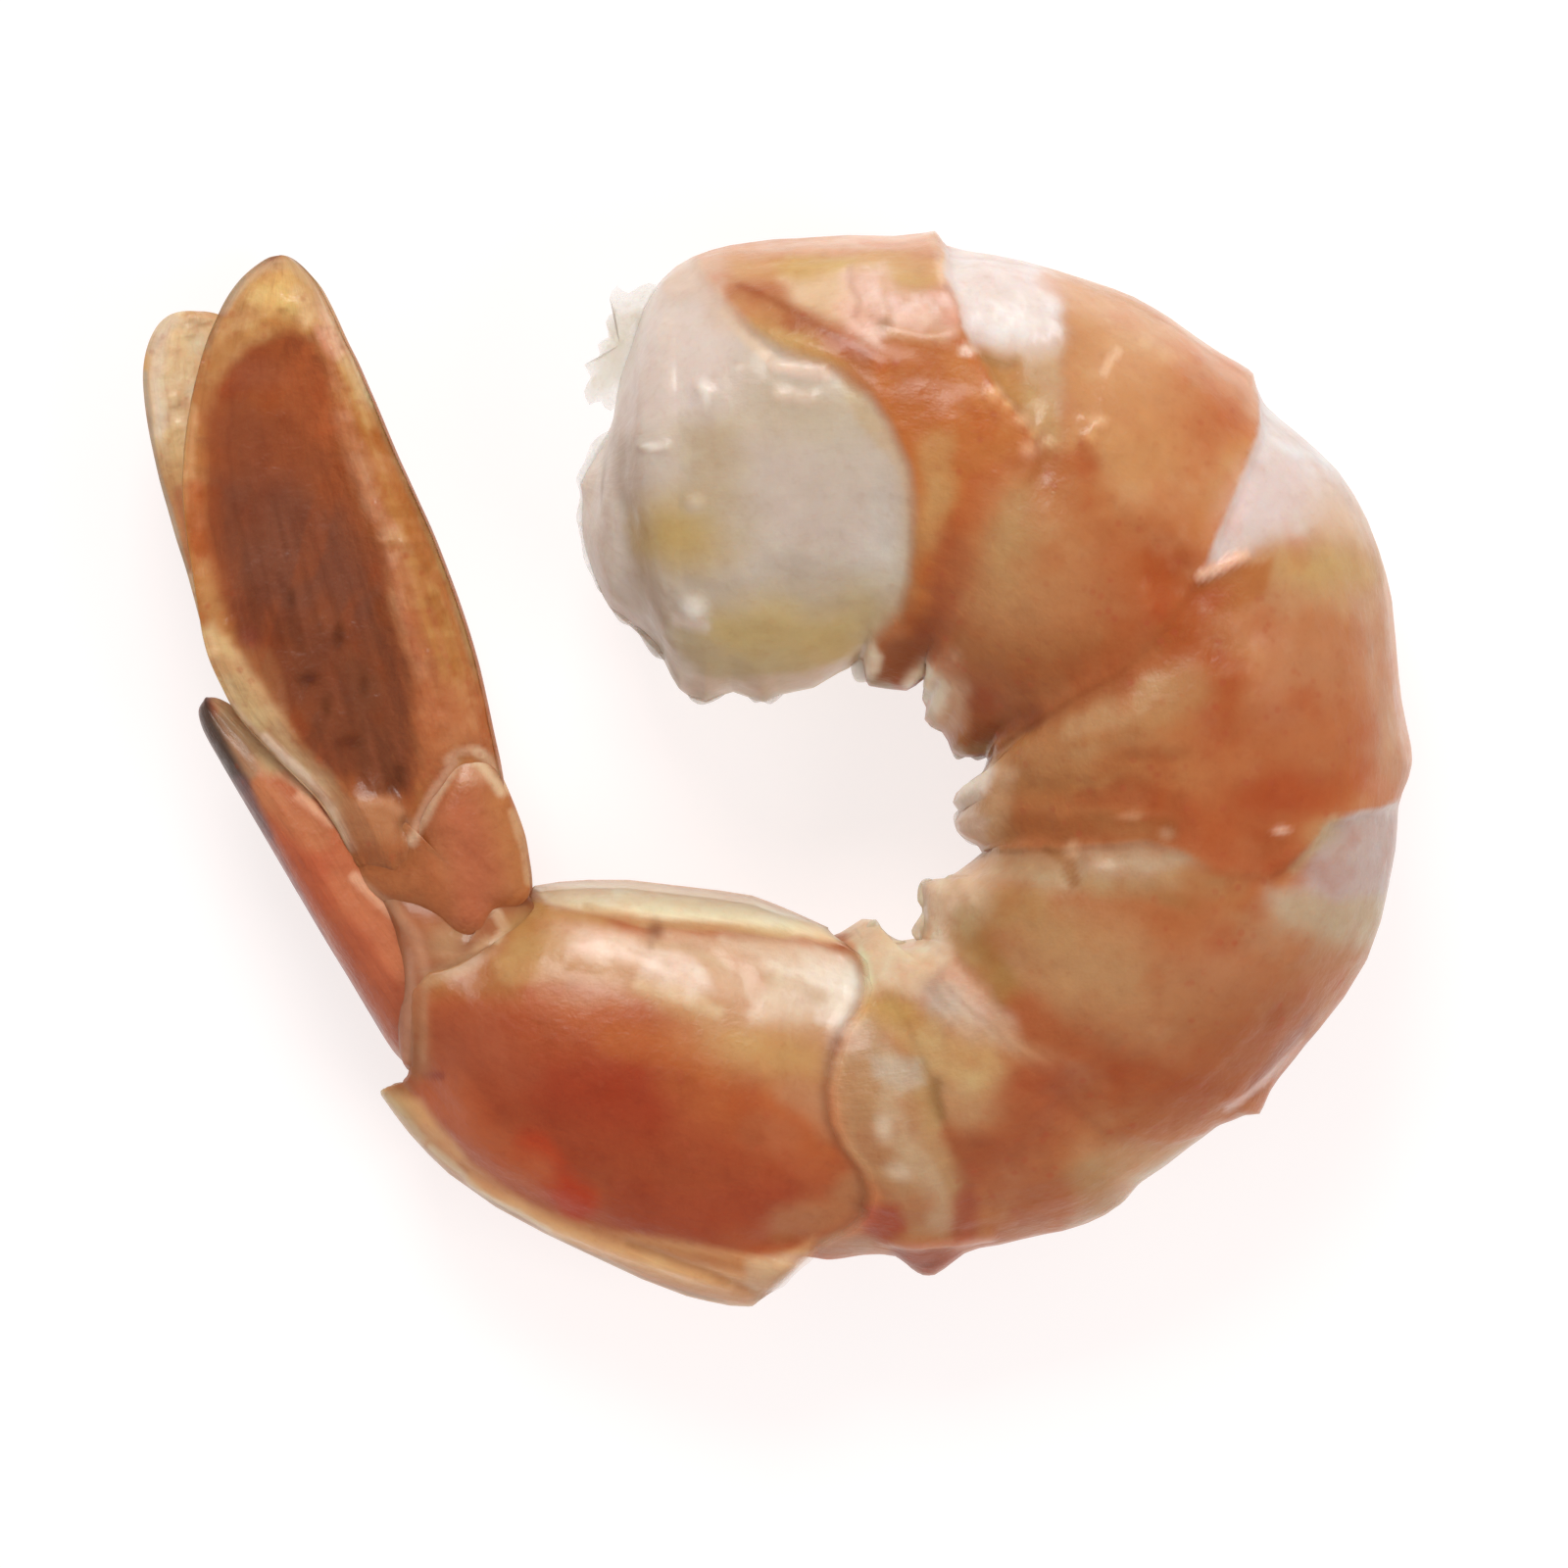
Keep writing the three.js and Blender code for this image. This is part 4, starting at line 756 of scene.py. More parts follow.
    # Painted highlights along the top of the cut face.
    f = lay2((0.78, 0.58, 0.42), EL([(742, 326), (765, 352), (788, 372)], 6), 0.85)
    f = lay2((0.84, 0.64, 0.52), EL([(792, 378), (815, 384), (842, 388)], 7), 0.85)
    f = lay2((0.74, 0.56, 0.44), EL([(795, 408), (825, 412)], 7), 0.6)
    f = lay2((0.60, 0.42, 0.22), EL([(866, 396), (880, 430), (900, 455)], 9), 0.45)
    f = lay2((0.66, 0.44, 0.32), EL([(900, 450), (922, 490), (932, 540)], 6), 0.45)
    # Painted highlights: the ring at the small opening and two small glints.
    f = lay2((0.86, 0.78, 0.70), ES((709, 624), (12, 11)), 0.95)
    f = lay2((0.80, 0.66, 0.56), EL([(690, 634), (720, 640)], 6), 0.7)
    f = lay2((0.90, 0.80, 0.72), np.maximum(ES((722, 404), (5, 10)), ES((668, 459), (10, 3))), 0.9)
    f = lay2((0.70, 0.56, 0.42), ES((710, 518), (9, 8)), 0.7)
    f = lay2((0.72, 0.56, 0.46), EL([(700, 700), (760, 700), (820, 694), (866, 680)], 8), 0.7)
    # The pale left rim of the cut end: partly the thin fringe's own colour, partly painted light where the dome turns
    # away from the light.
    f = lay2((0.84, 0.72, 0.62), EL([(628, 400), (612, 450), (600, 500), (598, 560), (620, 615), (660, 655)], 9), 0.75)
    f = lay2((0.82, 0.72, 0.64), EL([(664, 300), (650, 340), (636, 390)], 12), 0.6)
    f = lay2((0.86, 0.74, 0.64), A([(574, 430), (614, 430), (630, 530), (648, 610), (700, 690), (690, 716), (640, 694), (592, 620), (576, 540)], 14), 0.85)
    f = mix(f, (0.60, 0.40, 0.23), 0.55 * np.exp(-((s / 16.0) ** 2)) * smooth(390, 470, d.uv[..., 1]))
    c = mix(c, f, cut)
    c = lay((0.86, 0.70, 0.52), EA([(872, 690), (876, 660), (890, 655), (900, 668), (896, 684), (884, 690)], 5), 0.9)
    # Mottling: patches of yellower and redder flesh, smaller than the segments.
    skin = 1 - cut
    c = mix(c, np.clip(c * (1.12, 1.42, 1.6), 0, 0.92), 0.42 * smooth(0.0, 0.6, fractal(p, 1.7, 4, 95)) * skin)
    c = mix(c, c * (0.93, 0.66, 0.58), 0.5 * smooth(0.0, 0.6, fractal(p, 1.5, 4, 96)) * skin)
    c = mix(c, np.clip(c * (1.08, 1.12, 1.1), 0, 0.92), 0.4 * smooth(0.1, 0.5, fractal(p, 0.8, 3, 97)))
    # Small wet glints in the folds and on the granules.
    for centre, r, colour in [((1302, 848), (7, 4), (0.97, 0.62, 0.46)), ((1150, 833), (11, 4), (0.66, 0.32, 0.17)),
                              ((1093, 867), (6, 8), (0.86, 0.52, 0.30)), ((1126, 882), (12, 4), (0.74, 0.52, 0.38)),
                              ((1012, 408), (7, 7), (0.86, 0.52, 0.28)), ((1024, 420), (5, 5), (0.84, 0.50, 0.24)),
                              ((1039, 434), (7, 6), (0.84, 0.52, 0.28)), ((1050, 447), (5, 6), (0.80, 0.50, 0.24)),
                              ((1046, 464), (9, 7), (0.80, 0.44, 0.26)), ((1064, 457), (8, 4), (0.84, 0.56, 0.32)),
                              ((1112, 437), (10, 6), (0.84, 0.52, 0.30)), ((1108, 453), (6, 4), (0.76, 0.42, 0.18)),
                              ((1186, 850), (7, 6), (0.60, 0.32, 0.18)), ((985, 366), (8, 5), (0.90, 0.72, 0.58)),
                              ((1400, 800), (16, 8), (0.60, 0.24, 0.12))]:
        c = lay(colour, ES(centre, r), 0.6)
    c = lay((0.88, 0.58, 0.38), EL([(1134, 366), (1126, 377), (1122, 388)], 4, 0.9), 0.6)
    # Where the flank turns away, the colour is painted lighter, a painted glow of light through the thin flesh, and
    # mottled darker at random.
    c = mix(c, np.clip(c * 1.15 + 0.10, 0, 0.92), 0.36 * smooth(0.32, 0.05, lean) * (0.7 + 0.3 * smooth(-0.4, 0.4, fractal(p, 2.4, 3, 213))))
    c = mix(c, c * (0.95, 0.74, 0.64), 0.45 * smooth(0.0, 0.5, fractal(p, 3.4, 3, 214)) * smooth(0.3, 0.05, lean) * skin)
    side_skin = smooth(0.4, 0.12, lean) * smooth(872, 846, d.uv[..., 0]) * smooth(380, 300, d.uv[..., 1]) * skin
    c = mix(c, np.array((0.66, 0.335, 0.195)), 0.78 * side_skin)
    # Beside the thin front edge of the shell the flesh is painted paler: painted light against the shadow of the edge.
    painted_light_at_shell_edge = np.exp(-(((signed(e.uv, SHELL_LINE) - 3) / 6.0) ** 2)) * smooth(0.3, 0.6, lean) * smooth(760, 830, d.uv[..., 0])
    c = mix(c, np.clip(c * (1.5, 1.55, 1.6), 0, 0.9), 0.8 * painted_light_at_shell_edge)
    # A thin shade behind the skins' edges and a lit line on them.
    for name, line in SEAMS.items():
        s = -e.across(line)
        k = e.level(line) * smooth(0.0, 0.4, lean)
        c = mix(c, c * (0.78, 0.62, 0.52), 0.5 * k * np.exp(-(((s - 4) / 5.0) ** 2)))
        c = mix(c, np.clip(c * 1.2 + 0.02, 0, 0.9), 0.35 * k * np.exp(-(((s + 6) / 7.0) ** 2)))
    pigment = smooth(0.32, 0.12, c[..., 1]) * (1 - cut)
    return tone(c), 0.4 * pigment + 0.04, 1 - 0.55 * cut


def stretch(g, normal, outline, c, tip, free, rounds=5):
    """Stretches the back half and the belly half of every ring until the silhouette lies on a drawn outline.

    Broad differences stretch a whole half, so that it stays round; narrow teeth stay near the equator.
    tip is 1 at a closed front end, where a ring moves as one, and 0 behind it."""
    flat = normal[..., :2] / np.maximum(np.linalg.norm(normal[..., :2], axis=-1, keepdims=True), 1e-6)
    near = smooth(0.85, 0.15, np.abs(normal[..., 2]))
    width = 9.0 * len(g) / 519
    steps = np.arange(-30, 31)
    kernel = np.exp(-((steps / width) ** 2) / 2)
    kernel = kernel / kernel.sum()
    soften = lambda v: np.convolve(np.pad(v, 30, mode="edge"), kernel, "valid")
    sides = []
    for cosine in (c, -c):
        column = int(np.argmax(cosine[0]))
        way = np.stack([soften(flat[:, column, 0]), soften(flat[:, column, 1])], -1)
        way = way / np.linalg.norm(way, axis=-1, keepdims=True)
        wide = np.maximum(cosine, 0) * (1 - tip) + 0.5 * (1 + cosine) * tip
        sides.append((column, way, wide, near * smooth(0.0, 0.4, wide)))
    shift = [np.zeros(len(g)), np.zeros(len(g))]
    out = g
    for _ in range(rounds):
        for i, (column, way, wide, narrow) in enumerate(sides):
            gap = signed(plane(out[:, column]), outline) * MM_PER_UNIT
            shift[i] = shift[i] + np.clip(gap, -1.8, 1.8) * 0.9 * free
        out = g.copy()
        for total, (column, way, wide, narrow) in zip(shift, sides):
            broad = soften(total)
            out[..., :2] += way[:, None, :] * (broad[:, None] * wide + (total - broad)[:, None] * narrow)[..., None]
    return out


def build_meat():
    around = 184
    along = 468
    dome = 50
    end = len(MEAT_HALF) - 1
    # Rings at equal steps along the middle of the body.
    fine = np.linspace(0, end, 2000)
    centre = section(MEAT_BACK, MEAT_BELLY, MEAT_HALF, fine)[0]
    run = np.concatenate([[0], np.cumsum(np.linalg.norm(np.diff(centre, axis=0), axis=1))])
    at = np.interp(np.linspace(0, run[-1], along), run, fine)
    t = np.cos(np.linspace(0.02, math.pi / 2, dome, endpoint=False))
    at = np.concatenate([np.zeros(dome), at, [end]])
    grow = np.concatenate([np.sqrt(1 - t * t) ** 0.86, np.ones(along), [0.5]])
    forward = np.concatenate([FRONT_DOME * t, np.zeros(along), [-0.6]])
    # More points on the near flank than on the far one.
    f = np.arange(around) / around
    a = 2 * math.pi * f + 0.34 * np.cos(2 * math.pi * f)
    c, n = np.cos(a)[None, :], np.sin(a)[None, :]
    mid, up, high, wide = section(MEAT_BACK, MEAT_BELLY, MEAT_HALF, at)
    inside = smooth(11.8, 13.2, at)[:, None]
    power = np.where(c > 0, 0.92 + (1.3 - 0.92) * inside, 0.92 + 0.03 * inside)
    hi = high[:, None] * (1 - 0.03 * n * n) * c * grow[:, None]
    wi = wide[:, None] * (1 + 0.05 * c - 0.05 * c * c) * np.sign(n) * np.abs(n) ** power * grow[:, None]
    in_shell = smooth(10.6, 12.2, at)[:, None]
    mid_z = (wide[:, None] - REST_PRESS) * (1 - in_shell) + TAIL_MID_Z * in_shell
    ahead = np.stack([up[:, 1], -up[:, 0]], -1)
    x = mid[:, :1] + up[:, :1] * hi - (ahead[:, 0] * forward)[:, None]
    y = mid[:, 1:] + up[:, 1:] * hi - (ahead[:, 1] * forward)[:, None]
    g = np.stack([x + SHIFT[0], y + SHIFT[1], mid_z + wi], -1)

    def outward(g):
        normal = grid_normals(g)
        return -normal if (normal[along // 2, 0, :2] @ up[along // 2]) < 0 else normal

    normal = outward(g)
    tip = np.concatenate([t**1.5, np.zeros(along + 1)])[:, None]
    g = stretch(g, normal, BODY, c, tip, 1 - smooth(12.3, 12.9, at))
    normal = outward(g)
    length = np.concatenate([run[0] - forward[:dome], np.linspace(0, run[-1], along), [run[-1]]])
    flow = np.stack([np.broadcast_to(length[:, None], x.shape), np.broadcast_to(a[None, :] * 7.5, x.shape), np.zeros_like(x)], -1)
    # The drawing is laid over the near flank, and over the far flank as its mirror image.
    d, e = Drawing(g, 8.0), Drawing(g, 2.2, 5)
    lean = np.abs(normal[..., 2])
    # Round the sides the drawing is drawn inwards and along, and its finest marks fade.
    flat = normal[..., :2] / np.maximum(np.linalg.norm(normal[..., :2], axis=-1, keepdims=True), 1e-6)
    side = smooth(0.32, 0.03, lean)[..., None]
    inward, onward = flat * (-1, 1), -flat[..., ::-1]
    d.uv = d.uv + side * (inward * 28 + onward * 18 * fractal(g, 3.5, 3, 211)[..., None])
    e.uv = e.uv + side * onward * 12 * fractal(g, 2.5, 3, 212)[..., None]
    e.fade = smooth(0.0, 0.2, lean)
    h = meat_relief(g, d, e, flow) * (0.1 + 0.9 * (1 - smooth(11.9, 12.8, at)[:, None]))
    h = h * smooth(0.02, 0.45, lean)
    ease = np.concatenate([np.linspace(0.3, 1, dome), np.ones(along + 1)])[:, None]
    shown = g + normal * (h * ease)[..., None]
    floor = np.where(in_shell > 0.5, 0.9 * smooth(11.0, 11.9, at)[:, None], 0.0)
    shown[..., 2] = np.maximum(shown[..., 2], floor + 0.02)
    tint, speck, grit = meat_paint(g, d, e, flow, lean)
    tint = mix(tint, np.array(RED), np.broadcast_to(inside, x.shape) * 0.5)
    rows = len(at)
    verts = np.concatenate([shown.reshape(-1, 3), shown[:1].mean(1), shown[-1:].mean(1)])
    j = np.arange(around)
    k = (j + 1) % around
    top, last = rows * around, (rows - 1) * around
    tris = np.concatenate([np.stack([np.full(around, top), k, j], -1), np.stack([np.full(around, top + 1), last + j, last + k], -1)])
    ends = lambda v: np.concatenate([v.reshape(-1, *v.shape[2:]), v[:1].mean(1), v[-1:].mean(1)])
    o = solid("body_flesh", verts, band(rows, around, True), tris, tint=ends(tint), speck=ends(speck), grit=ends(grit), flow=ends(flow * [0.45, 1.6, 1.0]))
    o.data.materials.append(MEAT)
    return settle(o, "meat")


# ---------------------------------------------------------------------------
# Shell of the last segment
# ---------------------------------------------------------------------------
SHELL_LINE = [(545, 904), (570, 900), (600, 898), (640, 898), (692, 904), (735, 909), (767, 914), (789, 922), (808, 930), (826, 938),
              (846, 947), (868, 955), (884, 975), (890, 1005), (884, 1030), (868, 1052), (858, 1080), (853, 1112), (856, 1146), (870, 1172),
              (888, 1190), (896, 1215), (888, 1244), (866, 1262), (836, 1276), (820, 1292), (798, 1314), (780, 1326), (766, 1335), (745, 1334),
              (720, 1329), (700, 1324), (655, 1307), (606, 1284), (555, 1260), (505, 1233), (457, 1199), (437, 1180), (416, 1157),
              (400, 1136), (384, 1114), (412, 1106), (424, 1085), (422, 1050), (424, 1012), (440, 992), (470, 984), (500, 965), (515, 950),
              (538, 930)]


def shell_paint(p, d, e, outer, lean):
    n = fractal(p, 2.6, 4, 131)
    c = np.ones(p.shape) * np.array((0.42, 0.105, 0.042))
    A, L, S = d.area, d.line, d.spot
    EA, EL, ES = e.area, e.line, e.spot
    lay = lambda colour, mask, amount=1.0: mix(c, colour, mask * amount)
    c = lay((0.50, 0.16, 0.06), smooth(-0.2, 0.7, n), 0.25)
    # Red flank, deepest in the middle.
    c = lay((0.41, 0.10, 0.04), A([(430, 1000), (560, 1010), (700, 1040), (860, 1090), (880, 1240), (700, 1260), (560, 1220), (430, 1120)], 30), 0.7)
    c = lay((0.36, 0.09, 0.045), A([(430, 1040), (520, 1040), (560, 1100), (520, 1130), (440, 1110)], 24), 0.7)
    c = lay((0.34, 0.055, 0.026), A([(560, 1080), (660, 1070), (700, 1110), (680, 1180), (620, 1190), (550, 1160), (530, 1120)], 26), 0.9)
    c = lay((0.36, 0.075, 0.032), L([(500, 1130), (560, 1170), (640, 1180), (740, 1180)], 34), 0.7)
    c = lay((0.37, 0.07, 0.032), L([(640, 1230), (720, 1240), (790, 1225)], 26), 0.75)
    c = lay((0.42, 0.11, 0.038), L([(700, 1090), (760, 1130), (830, 1160)], 30), 0.7)
    c = lay((0.45, 0.125, 0.045), L([(790, 1120), (850, 1150), (870, 1190)], 20), 0.6)
    c = lay((0.49, 0.062, 0.024), L([(545, 1170), (566, 1205), (590, 1225)], 20), 0.95)
    c = lay((0.50, 0.125, 0.05), L([(450, 1120), (490, 1160), (540, 1195)], 26), 0.85)
    c = lay((0.47, 0.13, 0.05), L([(540, 1010), (640, 1030), (720, 1060)], 22), 0.7)
    c = lay((0.47, 0.13, 0.038), L([(630, 1060), (690, 1070), (740, 1090)], 18), 0.5)
    c = lay((0.42, 0.16, 0.055), A([(425, 990), (520, 975), (530, 1020), (440, 1020)], 12), 0.75)
    c = lay((0.28, 0.055, 0.03), EL([(434, 1096), (452, 1097)], 4), 0.8)
    c = lay((0.40, 0.13, 0.06), L([(770, 1150), (800, 1160)], 18), 0.4)
    c = lay((0.46, 0.20, 0.09), L([(800, 1250), (850, 1240), (870, 1215)], 20), 0.6)
    # Straw-coloured shoulder.
    c = lay((0.57, 0.29, 0.12), S((796, 1070), (84, 30), 0.25), 0.9)
    c = lay((0.58, 0.33, 0.13), S((776, 1066), (42, 16), 0.25), 0.6)
    c = lay((0.52, 0.24, 0.12), L([(810, 1110), (846, 1140)], 18), 0.6)
    c = lay((0.56, 0.31, 0.12), A([(545, 915), (620, 930), (640, 965), (600, 975), (520, 1000), (505, 980), (520, 950)], 12), 0.85)
    c = lay((0.55, 0.27, 0.11), L([(520, 990), (600, 985), (660, 1000), (720, 1030)], 15), 0.7)
    c = lay((0.52, 0.22, 0.10), L([(560, 1010), (640, 1015)], 12), 0.5)
    # Pale upper side, mottled and soft at its edges: partly the shell's own pale colour, partly a broad painted
    # highlight of the wet surface.
    patchy = 0.55 + 0.45 * smooth(-0.45, 0.35, fractal(p, 1.3, 3, 133))
    c = lay((0.64, 0.36, 0.20), A([(556, 944), (700, 948), (800, 955), (880, 975), (888, 1040), (860, 1062), (790, 1056), (720, 1034), (640, 1006), (570, 985)], 16), 0.75)
    c = lay((0.88, 0.60, 0.46), A([(572, 946), (610, 948), (650, 955), (664, 970), (645, 985), (620, 982), (585, 968)], 12) * patchy, 1.0)
    c = lay((0.91, 0.67, 0.54), A([(650, 966), (700, 970), (722, 990), (728, 1010), (708, 1018), (680, 1008), (652, 994)], 10) * patchy, 1.0)
    c = lay((0.73, 0.45, 0.30), A([(672, 948), (740, 955), (775, 985), (770, 1020), (735, 1012), (720, 985), (680, 966)], 10), 0.8)
    c = lay((0.88, 0.65, 0.49), A([(740, 954), (830, 962), (870, 985), (884, 1010), (882, 1034), (862, 1056), (845, 1042), (790, 1048), (768, 1040), (776, 1012), (790, 992), (760, 976)], 12) * patchy, 1.0)
    c = lay((0.95, 0.78, 0.66), S((840, 1004), (30, 24), 0.3) * (0.6 + 0.4 * patchy), 0.9)
    c = lay((0.90, 0.68, 0.56), EL([(838, 1036), (858, 1038)], 7), 0.6)
    c = lay((0.64, 0.42, 0.27), EL([(786, 1000), (812, 1004), (840, 1016)], 7), 0.6)
    c = lay((0.86, 0.60, 0.38), L([(650, 1004), (700, 1016), (736, 1030)], 6, 0.9), 0.45)
    c = lay((0.66, 0.42, 0.26), EL([(668, 962), (700, 966), (740, 985)], 5), 0.6)
    # Rims where the shell stands clear of the flesh: partly the thin shell's own paler colour, partly painted light
    # glowing through it.
    c = lay((1.0, 0.73, 0.46), EA([(540, 900), (640, 894), (740, 905), (850, 944), (880, 962), (850, 962), (740, 940), (640, 932), (560, 920)], 5), 0.95)
    c = lay((1.0, 0.82, 0.56), EL([(585, 908), (680, 926), (760, 930), (830, 944)], 9), 0.9)
    c = lay((0.66, 0.40, 0.20), EL([(600, 924), (660, 939), (740, 944), (800, 950)], 5), 0.65)
    c = lay((0.78, 0.52, 0.32), EL([(560, 906), (620, 912)], 5), 0.5)
    c = lay((0.74, 0.37, 0.165), EA([(380, 1110), (430, 1120), (480, 1185), (540, 1232), (620, 1256), (700, 1268), (790, 1286), (830, 1262), (830, 1300), (760, 1345), (600, 1290), (480, 1225), (400, 1150)], 7), 0.9)
    c = lay((0.50, 0.185, 0.07), EL([(470, 1190), (540, 1236), (620, 1262), (700, 1280), (760, 1292)], 6), 0.7)
    c = lay((0.86, 0.46, 0.21), EL([(480, 1206), (560, 1250), (650, 1284), (740, 1312)], 9), 0.75)
    c = lay((0.47, 0.20, 0.08), EL([(640, 1268), (720, 1296), (768, 1318)], 4), 0.6)
    c = lay((0.86, 0.60, 0.36), EL([(440, 1172), (500, 1220), (560, 1252)], 4), 0.75)
    c = lay((0.30, 0.17, 0.09), EL([(410, 1152), (460, 1203), (560, 1264), (660, 1310), (740, 1334)], 4), 0.7)
    c = lay((0.68, 0.43, 0.26), EA([(760, 1284), (825, 1274), (815, 1304), (775, 1330), (760, 1310)], 7), 0.75)
    c = lay((0.57, 0.40, 0.24), EL([(840, 1270), (866, 1262)], 8), 0.6)
    c = lay((0.62, 0.36, 0.16), A([(376, 1108), (416, 1108), (428, 1136), (420, 1160), (392, 1140)], 12), 0.8)
    c = lay((0.80, 0.60, 0.36), EL([(388, 1114), (412, 1140), (430, 1162)], 5), 0.5)
    c = lay((0.47, 0.18, 0.085), L([(424, 1008), (422, 1050), (428, 1088)], 11, 0.9), 0.8)
    c = lay((0.55, 0.26, 0.14), L([(432, 1006), (430, 1050), (432, 1080)], 3.5, 0.9), 0.45)
    c = lay((0.60, 0.31, 0.16), L([(436, 1000), (452, 994), (478, 986), (498, 970), (510, 950)], 8, 0.9), 0.75)
    c = lay((0.80, 0.50, 0.30), EL([(508, 930), (516, 946), (508, 958)], 4.5), 0.85)
    c = lay((0.26, 0.11, 0.06), ES((669, 947), (7, 9)), 0.85 if outer else 0.0)
    c = lay((0.48, 0.26, 0.16), EL([(666, 956), (664, 966)], 4), 0.5 if outer else 0.0)
    # Painted light where the surface turns away.
    c = mix(c, np.clip(c * 1.15 + 0.06, 0, 0.97), 0.25 * smooth(0.35, 0.05, lean))
    c = mix(c, np.array((0.78, 0.49, 0.275)), 0.85 * smooth(0.34, 0.1, lean))
    c = mix(c, np.array((0.66, 0.35, 0.18)), 0.5 * smooth(0.34, 0.1, lean) * smooth(-0.1, 0.5, fractal(p, 1.9, 4, 216)))
    if not outer:
        c = mix(c, np.array((0.80, 0.50, 0.31)), np.full(c.shape[:-1], 0.55))
    c = mix(c, np.clip(c * (1.12, 1.3, 1.4), 0, 0.95), 0.35 * smooth(0.0, 0.6, fractal(p, 1.8, 4, 134)))
    c = mix(c, c * (0.94, 0.72, 0.66), 0.4 * smooth(0.0, 0.6, fractal(p, 1.4, 4, 135)))
    c = tone(c, 0.018, 1.0)
    clear = np.maximum(1.2 * EA([(530, 885), (860, 885), (890, 965), (830, 945), (720, 932), (620, 922), (540, 920)], 8),
                       0.5 * EA([(370, 1100), (420, 1136), (490, 1214), (600, 1274), (700, 1310), (800, 1300), (800, 1350), (560, 1345), (370, 1200)], 7))
    return c, 0.3 * smooth(0.3, 0.1, c[..., 1]), 1 - 0.4 * clear


def height_over(o, points, above):
    """Height of an object's surface over or under given points, NaN where there is none."""
    tree = BVHTree.FromPolygons([v.co for v in o.data.vertices], [f.vertices for f in o.data.polygons])
    start, down = (0.1, -1.0) if above else (-0.1, 1.0)
    out = np.full(len(points), np.nan)
    for i, (x, y) in enumerate(points):
        place = tree.ray_cast(Vector((x * 0.001, y * 0.001, start)), Vector((0, 0, down)))[0]
        if place is not None:
            out[i] = place.z * 1000
    return out


